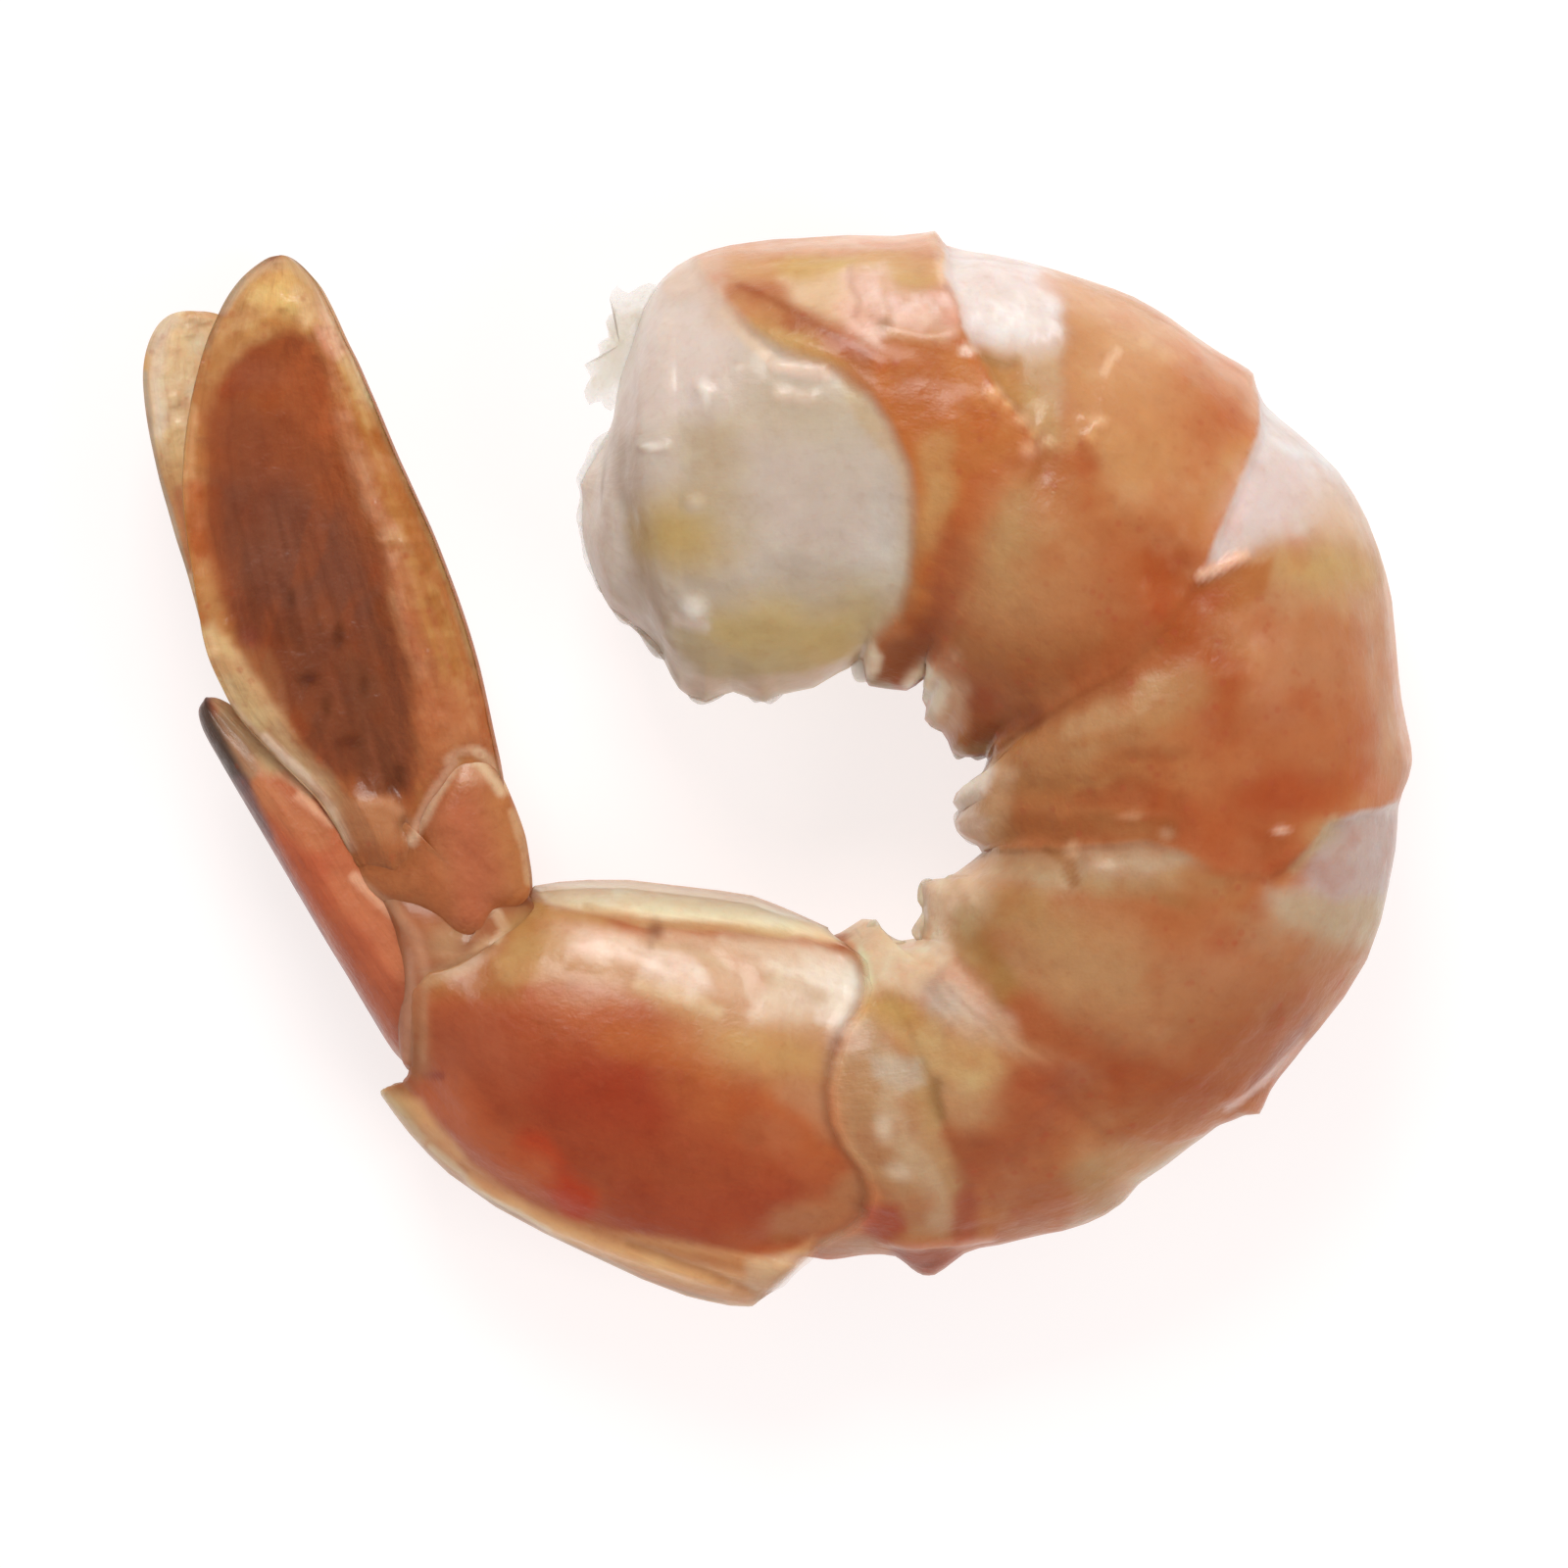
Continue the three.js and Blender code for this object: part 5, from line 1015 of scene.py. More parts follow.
def build_shell(flesh):
    around = 190
    along = 128
    end = len(SHELL_HALF) - 1
    t = np.linspace(0, 1, along)[:, None]
    f = np.arange(around) / around
    a = (2 * math.pi * f + 0.3 * np.cos(2 * math.pi * f))[None, :]
    c, n = np.cos(a), np.sin(a)
    mid, up, high, wide = section(SHELL_BACK, SHELL_BELLY, SHELL_HALF, t[:, 0] * end)
    reach = 3.0 * n * n * (1 - t) ** 2.2 - 1.8 * smooth(-0.65, -0.1, c) * (1 - smooth(0.3, 0.95, c)) * t**5

    def sheet(inset):
        hi = (high[:, None] - inset) * c
        wi = (wide[:, None] - inset) * np.sign(n) * np.abs(n) ** np.where(c > 0, 1.12, 0.85)
        x = mid[:, :1] + up[:, :1] * hi - up[:, 1:] * reach + SHIFT[0]
        y = mid[:, 1:] + up[:, 1:] * hi + up[:, :1] * reach + SHIFT[1]
        return np.stack([x, y, TAIL_MID_Z + wi], -1)

    outer, inner = sheet(0.0), sheet(0.38)
    normal = grid_normals(outer)
    if (normal[along // 2, 0, :2] @ up[along // 2]) < 0:
        normal = -normal
    # Belly and keel follow the drawn outline, and so do the front and the rear edge of the flank.
    before = outer.copy()
    outer = stretch(outer, normal, SHELL_LINE, c, 0.0, np.ones(along))
    ahead = np.stack([up[:, 1], -up[:, 0]], -1)[:, None, :] * np.ones((along, around, 1))
    flank = smooth(0.15, 0.6, np.abs(n)) * np.ones((along, 1))
    for sign, weight in ((1.0, smooth(0.3, 0.0, t) * flank), (-1.0, smooth(0.7, 1.0, t) * flank)):
        direction = ahead if (np.mean((outer[0] - outer[-1])[:, :2] @ ahead[0, 0]) > 0) == (sign > 0) else -ahead
        for _ in range(3):
            edge = outer[0] if sign > 0 else outer[-1]
            gap = np.clip(signed(plane(edge), SHELL_LINE) * MM_PER_UNIT, -1.5, 1.5)[None, :]
            outer[..., :2] += direction * (gap * weight * 0.8)[..., None]
    inner = inner + (outer - before)
    d, e = Drawing(outer, 5.0, 8), Drawing(outer, 1.6, 9)
    h = 0.07 * fractal(outer, 4.0, 3, 140) + 0.02 * fractal(outer, 1.0, 3, 141)
    # A lip along the front edge, ribs along the keel, a crease under the belly rim.
    h += 0.015 * np.exp(-(((t - 0.04) / 0.03) ** 2)) - 0.015 * np.exp(-(((t - 0.1) / 0.04) ** 2))
    h += 0.14 * e.ridge([(480, 1204), (560, 1248), (650, 1282), (740, 1312)], 6) - 0.08 * e.ridge([(450, 1160), (540, 1222), (640, 1256), (780, 1286)], 10)
    h -= 0.08 * e.ridge([(640, 1268), (720, 1296), (768, 1318)], 4)
    h -= 0.14 * e.ridge([(560, 915), (660, 938), (740, 943), (800, 950)], 8)
    h += 0.12 * e.ridge([(560, 905), (640, 916), (740, 926), (840, 946)], 6)
    h += 0.10 * d.spot((612, 962), (44, 18), 0.25) + 0.10 * d.spot((690, 992), (40, 22), 0.2) - 0.08 * d.ridge([(660, 962), (700, 966), (750, 990), (770, 1020)], 12)
    h += 0.07 * fractal(outer, 1.5, 3, 143) * e.area([(560, 940), (870, 950), (890, 1040), (700, 1030), (560, 990)], 20)
    h += 0.10 * d.spot((835, 1008), (46, 36), 0.3) - 0.05 * d.ridge([(740, 1040), (680, 1016), (600, 990)], 14)
    h += 0.14 * d.spot((640, 1130), (150, 60), 0.25) + 0.1 * d.spot((500, 1160), (60, 30), 0.8)
    h = h * smooth(0.0, 0.35, np.abs(normal[..., 2]))
    shown = outer + normal * h[..., None]
    edge_cover = 0.1 + 0.9 * smooth(0.0, 0.045, t) * np.ones((1, around))
    edge_cover = edge_cover * (1 - 0.3 * smooth(0.96, 1.0, t))
    edge_cover = 1 - (1 - edge_cover) * smooth(0.3, 0.6, np.abs(normal[..., 2]))
    ragged = 0.16 * fractal(outer, 1.4, 3, 150) * np.exp(-t / 0.03) + 0.18 * fractal(outer, 1.2, 3, 151) * np.exp(-(1 - t) / 0.03)
    along3 = np.concatenate([ahead, np.zeros((along, around, 1))], -1)
    shown = shown + along3 * ragged[..., None]
    inner = inner + along3 * ragged[..., None]
    # The front edge thins out and lies on the flesh.
    hold = smooth(0.2, 0.03, t) * smooth(0.42, 0.72, np.abs(normal[..., 2]))
    thin = np.maximum(smooth(0.12, 0.0, t), smooth(0.9, 1.0, t)) * np.ones((1, around))
    inner = mix(inner, shown - normal * 0.12, thin)
    drop = np.zeros((along, around))
    for above in (True, False):
        pick = np.argwhere((hold > 0.01) & ((normal[..., 2] > 0) == above))
        i, j = pick[:, 0], pick[:, 1]
        z = height_over(flesh, shown[i, j, :2], above)
        ok = ~np.isnan(z)
        i, j, z = i[ok], j[ok], z[ok]
        gap = (z + (0.09 if above else -0.09)) - shown[i, j, 2]
        drop[i, j] = hold[i, j] * np.clip(gap, -1.6, 1.0)
    for _ in range(8):
        drop = 0.5 * drop + 0.25 * (np.roll(drop, 1, 1) + np.roll(drop, -1, 1))
        drop[1:-1] = 0.5 * drop[1:-1] + 0.25 * (drop[2:] + drop[:-2])
    shown[..., 2] += drop
    inner[..., 2] += drop
    # The rear edge comes down to the skin over the joint.
    low = 0.42 * smooth(0.74, 1.0, t) * smooth(0.3, 0.7, np.abs(normal[..., 2])) * np.sign(normal[..., 2])
    shown[..., 2] -= low
    inner[..., 2] -= low
    shown[..., 2] = np.maximum(shown[..., 2], 0.03)
    inner[..., 2] = np.maximum(inner[..., 2], 0.35)
    lean = np.abs(normal[..., 2])
    # Down the sides the drawing is drawn inwards, as on the flesh.
    flat = normal[..., :2] / np.maximum(np.linalg.norm(normal[..., :2], axis=-1, keepdims=True), 1e-6)
    side = smooth(0.26, 0.03, lean)[..., None]
    d.uv = d.uv + side * flat * (-12, 12)
    e.fade = smooth(0.0, 0.22, lean)
    co, so, wo = shell_paint(outer, d, e, True, lean)
    # A painted shadow line along the lower part of the shell's front edge.
    painted_edge_shadow = smooth(0.06, 0.02, t) * smooth(1040, 1062, d.uv[..., 1]) * smooth(0.3, 0.6, lean)
    co = mix(co, np.array((0.36, 0.11, 0.05)), 0.35 * painted_edge_shadow)
    ci, si, wi = shell_paint(outer, d, e, False, lean)
    wo, wi = wo * edge_cover, wi * edge_cover
    off = along * around
    j = np.arange(around)
    k = (j + 1) % around
    q = band(along, around, True)
    front = np.stack([j, off + j, off + k, k], -1)
    last = (along - 1) * around
    rear = np.stack([last + j, last + k, off + last + k, off + last + j], -1)
    flow = np.stack([t * 18.0 * np.ones_like(a), a * 7.0 * np.ones_like(t), np.zeros((along, around))], -1).reshape(-1, 3) * [0.3, 1.1, 1.0]
    o = solid("last_segment_shell", np.concatenate([shown.reshape(-1, 3), inner.reshape(-1, 3)]),
              np.concatenate([q, (q + off)[:, ::-1], front, rear]),
              tint=np.concatenate([co.reshape(-1, 3), ci.reshape(-1, 3)]), speck=np.concatenate([so.ravel(), si.ravel()]),
              cover=np.concatenate([wo.ravel(), wi.ravel()]), flow=np.concatenate([flow, flow]))
    o.data.materials.append(SHELL)
    return settle(o, "tail_shell")


# ---------------------------------------------------------------------------
# Tail spike, stems and blades, each between two drawn edges
# ---------------------------------------------------------------------------
def to_mm(uv):
    uv = np.asarray(uv, float)
    return np.stack([(uv[..., 0] - 790.5) * MM_PER_UNIT + SHIFT[0], (788 - uv[..., 1]) * MM_PER_UNIT + SHIFT[1]], -1)


def strip(left, right, rows, cols, bunch=None):
    """Points between two drawn edges, [rows, cols, 2] in millimetres, with s across in 0..1."""
    a, b = to_mm(resample(left, rows, bunch=bunch)), to_mm(resample(right, rows, bunch=bunch))
    s = 0.5 - 0.5 * np.cos(math.pi * np.linspace(0, 1, cols))
    return a[:, None, :] + (b - a)[:, None, :] * s[None, :, None], s[None, :], np.linalg.norm(b - a, axis=-1)[:, None]


def plate(name, xy, top, bottom, paint, material, node, mirror, scale=(0.3, 2.0)):
    """A closed plate over a grid of points, with a top and a bottom height; mirrored for the far side."""
    rows, cols = top.shape
    high = np.concatenate([xy, top[..., None]], -1)
    low = np.concatenate([xy, np.minimum(bottom, top - 0.04)[..., None]], -1)
    for g in (high, low):
        g[..., 2] = TAIL_MID_Z + mirror * (g[..., 2] - TAIL_MID_Z)
    d, e = Drawing(high, 4.0, 31), Drawing(high, 1.5, 33)
    ct, cb, speck, cover = paint(high, d, e)
    off = rows * cols
    q = band(rows, cols, False)
    i, j, c1 = np.arange(rows - 1), np.arange(cols - 1), cols - 1
    r1 = (rows - 1) * cols
    sides = [np.stack([i * cols, (i + 1) * cols, off + (i + 1) * cols, off + i * cols], -1),
             np.stack([i * cols + c1, off + i * cols + c1, off + (i + 1) * cols + c1, (i + 1) * cols + c1], -1),
             np.stack([j, off + j, off + j + 1, j + 1], -1), np.stack([r1 + j, r1 + j + 1, off + r1 + j + 1, off + r1 + j], -1)]
    run = np.linspace(0, 1, rows)[:, None] * 24.0 * np.ones((1, cols))
    across = np.linspace(0, 1, cols)[None, :] * 9.0 * np.ones((rows, 1))
    flow = (np.stack([run * scale[0], across * scale[1], np.zeros_like(run)], -1)).reshape(-1, 3)
    o = solid(name, np.concatenate([high.reshape(-1, 3), low.reshape(-1, 3)]), np.concatenate([q, (q + off)[:, ::-1], *sides]),
              tint=np.concatenate([ct.reshape(-1, 3), cb.reshape(-1, 3)]), speck=np.concatenate([speck.ravel()] * 2),
              cover=np.concatenate([cover.ravel()] * 2), flow=np.concatenate([flow] * 2))
    o.data.materials.append(material)
    return settle(o, node)


SPIKE_LEFT = [(430, 1100), (408, 1082), (395, 1066), (376, 1035), (357, 1003), (338, 972), (320, 942), (300, 908), (280, 874), (260, 840),
              (240, 806), (222, 775), (210, 754), (203, 738), (201, 724), (207, 713)]
SPIKE_RIGHT = [(500, 1020), (484, 990), (464, 956), (442, 930), (418, 908), (394, 888), (374, 858), (356, 828), (334, 800), (312, 780),
               (292, 762), (270, 746), (250, 731), (234, 719), (220, 712), (209, 711)]


def build_spike():
    rows, cols = ((170, 60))
    xy, s, width = strip(SPIKE_LEFT, SPIKE_RIGHT, rows, cols, bunch=lambda f: 1 - (1 - f) ** 1.35)
    t = np.linspace(0, 1, rows)[:, None]
    half = through([2.9, 2.85, 2.75, 2.6, 2.4, 2.1, 1.7, 1.1, 0.35], t[:, 0] * 8)[:, None]
    under = through([2.1, 2.0, 1.9, 1.7, 1.4, 1.1, 0.8, 0.5, 0.2], t[:, 0] * 8)[:, None]
    dome = np.clip(1 - np.abs(2 * s - 1) ** 3, 0, 1) ** 0.5
    g = np.concatenate([xy, np.full((rows, cols, 1), TAIL_MID_Z)], -1)
    ribs = 0.09 * np.exp(-(((s - 0.36) / 0.08) ** 2)) - 0.10 * np.exp(-(((s - 0.58) / 0.10) ** 2))
    top = TAIL_MID_Z + half * dome + ribs * (1 - 0.6 * t) * dome + 0.05 * fractal(g, 1.5, 3, 160)
    bottom = TAIL_MID_Z - under * dome

    def paint(p, d, e):
        c = np.ones(p.shape) * (0.46, 0.135, 0.062)
        lay = lambda colour, mask, amount=1.0: mix(c, colour, mask * amount)
        c = lay((0.48, 0.17, 0.075), smooth(0.0, 0.7, fractal(p, 2.0, 3, 161)), 0.6)
        c = lay((0.45, 0.105, 0.05), d.line([(290, 840), (310, 880), (330, 920)], 20), 0.7)
        c = lay((0.40, 0.10, 0.05), d.line([(360, 960), (390, 1010), (410, 1050)], 24), 0.75)
        c = lay((0.50, 0.17, 0.08), d.line([(345, 900), (390, 950), (420, 1000)], 12), 0.6)
        c = lay((0.47, 0.19, 0.085), d.line([(262, 800), (290, 830), (320, 856)], 14), 0.6)
        c = lay((0.62, 0.43, 0.22), d.line([(238, 722), (260, 750), (280, 776)], 15), 0.85)
        # Painted highlights along the upper ridge and the right rim.
        c = lay((0.70, 0.50, 0.29), e.line([(222, 712), (250, 738), (285, 772), (318, 806)], 7), 0.7)
        c = lay((0.80, 0.56, 0.36), e.line([(262, 744), (292, 768), (320, 796), (344, 826), (358, 852)], 6, 0.9), 0.8)
        c = lay((0.33, 0.22, 0.13), d.line([(224, 738), (244, 766), (256, 786)], 9), 0.7)
        c = lay((0.07, 0.05, 0.04), e.line([(204, 714), (210, 738), (230, 774), (244, 800)], 9.5), 0.94)
        c = lay((0.17, 0.09, 0.085), e.line([(246, 800), (258, 828), (270, 852)], 9), 0.9)
        c = lay((0.26, 0.10, 0.09), e.line([(270, 852), (300, 908), (342, 988), (384, 1050)], 5.5), 0.7)
        # Pink strokes: painted highlights on the lit edges.
        c = lay((0.70, 0.36, 0.22), e.line([(306, 813), (322, 826), (339, 839)], 4.5, 0.9), 0.8)
        c = lay((0.70, 0.38, 0.22), e.line([(286, 790), (304, 800), (322, 822)], 4, 0.9), 0.5)
        c = lay((0.66, 0.33, 0.20), e.line([(362, 896), (392, 922), (416, 944), (428, 966)], 6), 0.85)
        c = lay((0.50, 0.24, 0.12), d.area([(402, 1078), (440, 1040), (450, 1090), (420, 1105)], 8), 0.8)
        c = tone(c, 0.015, 0.92)
        return c, c * 0.95, 0.25 * np.ones(p.shape[:-1]), np.ones(p.shape[:-1])

    return plate("tail_spike", xy, top, bottom, paint, FAN, "telson", 1.0)


TROUGH_LEFT = [(384, 905), (368, 888), (356, 868), (342, 842), (324, 816), (303, 794), (280, 771), (258, 748), (240, 725), (227, 700), (216, 675),
               (209, 650), (204, 620), (199, 590), (194, 560), (190, 530), (188, 500), (189, 470), (192, 440), (197, 410), (204, 380),
               (212, 352), (222, 328), (233, 306), (246, 288), (260, 275), (275, 265), (288, 262)]
TROUGH_RIGHT = [(455, 905), (490, 880), (506, 840), (512, 806), (509, 780), (502, 748), (495, 715), (487, 680), (478, 648), (469, 620), (459, 592),
                (448, 563), (437, 536), (426, 512), (415, 488), (404, 464), (393, 438), (383, 414), (373, 391), (363, 368), (352, 346),
                (342, 324), (333, 305), (324, 289), (314, 277), (304, 268), (295, 263), (289, 262)]
HOLLOW = [(298, 338), (318, 352), (334, 378), (340, 410), (343, 440), (352, 472), (364, 500), (375, 530), (388, 562), (396, 592),
          (404, 622), (412, 655), (420, 690), (425, 725), (427, 760), (426, 800), (425, 835), (414, 842), (404, 826), (380, 818),
          (352, 816), (335, 792), (308, 762), (290, 735), (272, 700), (256, 668), (240, 640), (228, 610), (217, 575), (211, 540),
          (209, 500), (210, 460), (214, 425), (224, 398), (240, 374), (262, 354), (280, 344)]


STEM = [(417, 852), (423, 841), (430, 827), (438, 811), (447, 796), (456, 781), (466, 770), (478, 764), (491, 767), (503, 779), (512, 796), (519, 812), (527, 832), (534, 853),
        (538, 875), (541, 897), (540, 914), (527, 926), (511, 935), (503, 950), (497, 964), (482, 971), (464, 963), (447, 947), (426, 934),
        (400, 924), (378, 908), (362, 890), (351, 868), (348, 846), (356, 826), (376, 817), (398, 822), (411, 836)]
TUCKED = [(330, 790), (412, 790), (421, 846), (430, 866), (424, 884), (400, 896), (366, 900), (330, 900)]


def build_trough(side, mirror):
    """The outer blade: a long hollow between a thin left rim and a thick, rolled right edge."""
    rows, cols = ((240, 110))
    xy, s, width = strip(TROUGH_LEFT, TROUGH_RIGHT, rows, cols, bunch=lambda f: 1 - (1 - f) ** 1.4)
    g = np.concatenate([xy, np.full((rows, cols, 1), 10.0)], -1)
    e = Drawing(g, 2.0, 61)
    t = (1 - (1 - np.linspace(0, 1, rows)) ** 1.4)[:, None]
    depth = through([0.6, 0.9, 1.5, 2.0, 2.2, 2.0, 1.6, 1.1, 0.3], t[:, 0] * 8)[:, None]
    dome = np.sqrt(np.clip(1 - (2 * s - 1) ** 2, 0, 1))
    base = 9.9 - 0.4 * t - 0.75 * smooth(0.32, 0.03, t)
    bottom = base - depth * dome**1.1 + 0.35 * (1 - s) ** 5
    crest = base + 0.3 + (0.3 * depth) * np.maximum(smooth(0.1, 0.75, s), 0.9 * smooth(0.16, 0.06, t)) * np.sqrt(np.clip(1 - (np.clip(s - 0.8, 0, 1) / 0.2) ** 2, 0, 1)) \
        - 0.35 * smooth(0.86, 1.0, s)
    hollow = base - 0.1 - 0.2 * depth * dome
    m = smooth(-26, 38, signed(e.uv, HOLLOW))
    top = crest * (1 - m) + hollow * m
    grain = np.stack([t * 25.0 * np.ones_like(s), s * 14.0 * np.ones_like(t), np.zeros((rows, cols))], -1)
    top += 0.05 * noise(grain * [0.25, 1.6, 0], 1.0, 180) * m + 0.06 * fractal(g, 1.4, 3, 181)
    # Ribs in the hollow, granules on the ridge beside it, the rim's edge.
    top += 0.05 * e.ridge([(330, 545), (338, 600), (345, 660), (352, 730)], 7) - 0.05 * e.ridge([(342, 545), (352, 620), (362, 700), (372, 780)], 8)
    top += 0.05 * e.ridge([(352, 455), (372, 500), (398, 560), (412, 610)], 9) + 0.08 * smooth(0.1, 0.7, noise(g, 0.55, 182)) * e.line([(372, 500), (385, 530), (402, 560)], 14)
    top += 0.1 * smooth(0.2, 0.8, noise(g, 0.7, 183)) * (1 - m)
    top -= 0.12 * e.spot((405, 800), (12, 14)) + 0.06 * e.spot((357, 752), (8, 7)) + 0.06 * e.spot((346, 652), (6, 10))
    top += 0.12 * e.ridge([(232, 712), (262, 746), (300, 780), (336, 812)], 7)
    # It sinks where the stem comes out from under it.
    under_stem = smooth(-14, 14, signed(e.uv, STEM)) * (1 - smooth(-20, 24, signed(e.uv, TUCKED)))
    top -= 0.55 * under_stem
    bottom -= 0.5 * under_stem
    # The left rim turns down towards the spike.
    turned = 1.1 * np.clip(1 - s * width / 1.7, 0, 1) ** 1.2 * smooth(0.42, 0.3, t)
    top, bottom = top - turned, bottom - turned
    rim = np.minimum(s, 1 - s) * width
    top = np.maximum(top, bottom + 0.14 + 0.3 * smooth(0.0, 1.2, rim))
    fray = 0.16 * fractal(g, 1.1, 3, 184 if side == "near" else 190) * np.exp(-rim / 0.5)
    top, bottom = top + fray, bottom + fray

    # Where the hollow's side climbs to the ridge, the colour is painted lighter: painted light against the shade on
    # that slope.
    painted_slope_light = np.clip(np.gradient(top, axis=1) / np.maximum(np.gradient(xy[..., 0], axis=1), 1e-3), 0, 0.7) * smooth(0.35, 0.5, s) * smooth(0.97, 0.9, s)

    def paint(p, d, e):
        A, L, S, EA, EL, ES = d.area, d.line, d.spot, e.area, e.line, e.spot
        c = np.ones(p.shape) * (0.46, 0.19, 0.068)
        lay = lambda colour, mask, amount=1.0: mix(c, colour, mask * amount)
        n = fractal(p, 2.0, 4, 185)
        c = lay((0.52, 0.25, 0.09), smooth(-0.1, 0.6, n), 0.5)
        # Rolled right edge.
        c = lay((0.44, 0.165, 0.075), L([(346, 430), (372, 500), (398, 560), (424, 640), (440, 720)], 17, 0.9), 0.8)
        c = lay((0.60, 0.29, 0.16), smooth(-0.1, 0.4, fractal(p, 0.7, 3, 192)) * L([(322, 326), (337, 389), (360, 450), (377, 527), (400, 580), (416, 640)], 12, 0.9), 0.45)
        c = lay((0.48, 0.19, 0.085), smooth(0.0, 0.4, fractal(p, 0.9, 3, 193)) * L([(385, 450), (410, 530), (436, 620), (460, 720)], 16, 0.9), 0.6)
        c = lay((0.41, 0.135, 0.055), L([(425, 640), (440, 720), (445, 790)], 20), 0.7)
        c = lay((0.48, 0.21, 0.07), L([(378, 430), (396, 480), (416, 540), (440, 610), (460, 690)], 11), 0.8)
        c = lay((0.43, 0.165, 0.045), L([(366, 420), (382, 450)], 9), 0.6)
        c = lay((0.70, 0.46, 0.28), EL([(322, 296), (345, 340), (362, 372), (380, 410)], 10), 0.8)
        c = lay((0.62, 0.38, 0.15), EL([(352, 370), (368, 402), (380, 430)], 8), 0.6)
        c = lay((0.38, 0.24, 0.11), EL([(376, 400), (404, 468), (430, 524), (456, 588), (474, 640), (488, 690)], 4), 0.55)
        # Pale strokes and spots along the ridge: painted highlights on its granules.
        c = lay((0.80, 0.47, 0.32), L([(324, 320), (335, 342), (343, 362)], 9), 0.6)
        c = lay((0.58, 0.28, 0.15), L([(362, 478), (374, 505), (386, 528)], 8, 0.9), 0.4)
        c = lay((0.68, 0.38, 0.21), np.maximum(ES((406, 540), (6, 4)), ES((394, 552), (5, 4))), 0.45)
        c = lay((0.58, 0.30, 0.16), EL([(392, 545), (408, 548), (418, 560)], 6), 0.3)
        c = lay((0.40, 0.16, 0.06), EL([(385, 560), (405, 555)], 4), 0.5)
        c = lay((0.47, 0.175, 0.075), L([(440, 740), (470, 730), (490, 750)], 16), 0.5)
        c = mix(c, np.clip(c * (1.14, 1.3, 1.5), 0, 0.9), 0.6 * smooth(0.0, 0.7, noise(grain * [0.3, 2.4, 0], 1.0, 194)))
        c = mix(c, c * (0.90, 0.74, 0.74), 0.6 * smooth(0.0, 0.7, noise(grain * [0.3, 2.0, 0], 1.0, 195)))
        c = lay((0.46, 0.155, 0.066), A([(424, 700), (500, 690), (520, 800), (500, 800), (470, 770), (440, 800)], 20), 0.75)
        # Honey-coloured tip and left border.
        c = lay((0.62, 0.33, 0.13), A([(210, 400), (222, 330), (255, 280), (290, 265), (320, 290), (330, 330), (296, 336), (250, 352), (222, 392)], 9), 0.9)
        c = lay((0.80, 0.52, 0.20), A([(258, 290), (290, 274), (312, 300), (304, 326), (272, 322), (256, 308)], 14), 0.95)
        c = lay((0.60, 0.31, 0.10), L([(262, 332), (290, 326), (312, 334)], 7), 0.5)
        c = lay((0.84, 0.56, 0.30), EL([(306, 300), (318, 318), (312, 330)], 8), 0.6)
        c = lay((0.68, 0.48, 0.27), EL([(230, 314), (250, 289), (272, 273), (300, 271), (324, 292)], 6), 0.6)
        c = lay((0.40, 0.28, 0.17), EL([(213, 354), (226, 322), (248, 288)], 4), 0.45)
        c = lay((0.50, 0.21, 0.07), L([(222, 372), (244, 350), (276, 336), (300, 330)], 9), 0.7)
        c = lay((0.47, 0.20, 0.07), L([(212, 400), (206, 440), (204, 500)], 9), 0.7)
        c = lay((0.62, 0.33, 0.15), EL([(198, 420), (194, 470), (196, 520)], 6), 0.7)
        c = lay((0.48, 0.15, 0.055), L([(200, 500), (205, 550), (214, 590)], 10), 0.75)
        c = lay((0.50, 0.26, 0.10), L([(208, 580), (218, 620), (232, 650)], 8), 0.6)
        # Cream rim along the lower left: partly the thin rim's own colour, partly painted light glowing through it.
        c = lay((0.54, 0.33, 0.17), A([(230, 660), (250, 670), (275, 710), (310, 760), (345, 790), (362, 830), (362, 880), (330, 838), (290, 800), (240, 745), (222, 700)], 9), 0.9)
        c = lay((0.60, 0.39, 0.19), A([(204, 640), (220, 636), (236, 655), (252, 690), (278, 732), (270, 752), (240, 735), (214, 700)], 8), 0.95)
        c = lay((0.74, 0.50, 0.32), EL([(236, 720), (262, 750), (290, 778), (316, 808)], 5, 0.9), 0.8)
        c = lay((0.36, 0.20, 0.09), EL([(226, 712), (250, 742), (280, 770)], 3.5, 0.9), 0.6)
        c = lay((0.74, 0.51, 0.28), EL([(214, 650), (222, 680), (236, 708)], 6), 0.6)
        c = lay((0.60, 0.36, 0.18), A([(244, 664), (266, 690), (290, 730), (276, 740), (250, 700), (236, 676)], 9), 0.8)
        c = lay((0.86, 0.60, 0.43), EL([(272, 752), (288, 768), (309, 789), (330, 811), (348, 838), (361, 866)], 5), 0.85)
        c = lay((0.60, 0.35, 0.20), EL([(322, 790), (340, 812), (350, 836)], 5), 0.5)
        honey = A([(190, 400), (222, 330), (255, 270), (290, 255), (330, 290), (400, 440), (480, 660), (430, 640), (350, 430), (300, 336), (222, 392), (215, 600), (190, 560)], 12)
        c = mix(c, c * (0.74, 0.62, 0.5), 0.5 * honey * smooth(0.05, 0.5, fractal(p, 0.8, 4, 196)))
        c = mix(c, np.clip(c * (1.12, 1.2, 1.3) + 0.02, 0, 0.92), 0.55 * honey * smooth(0.05, 0.5, fractal(p, 0.9, 4, 197)))
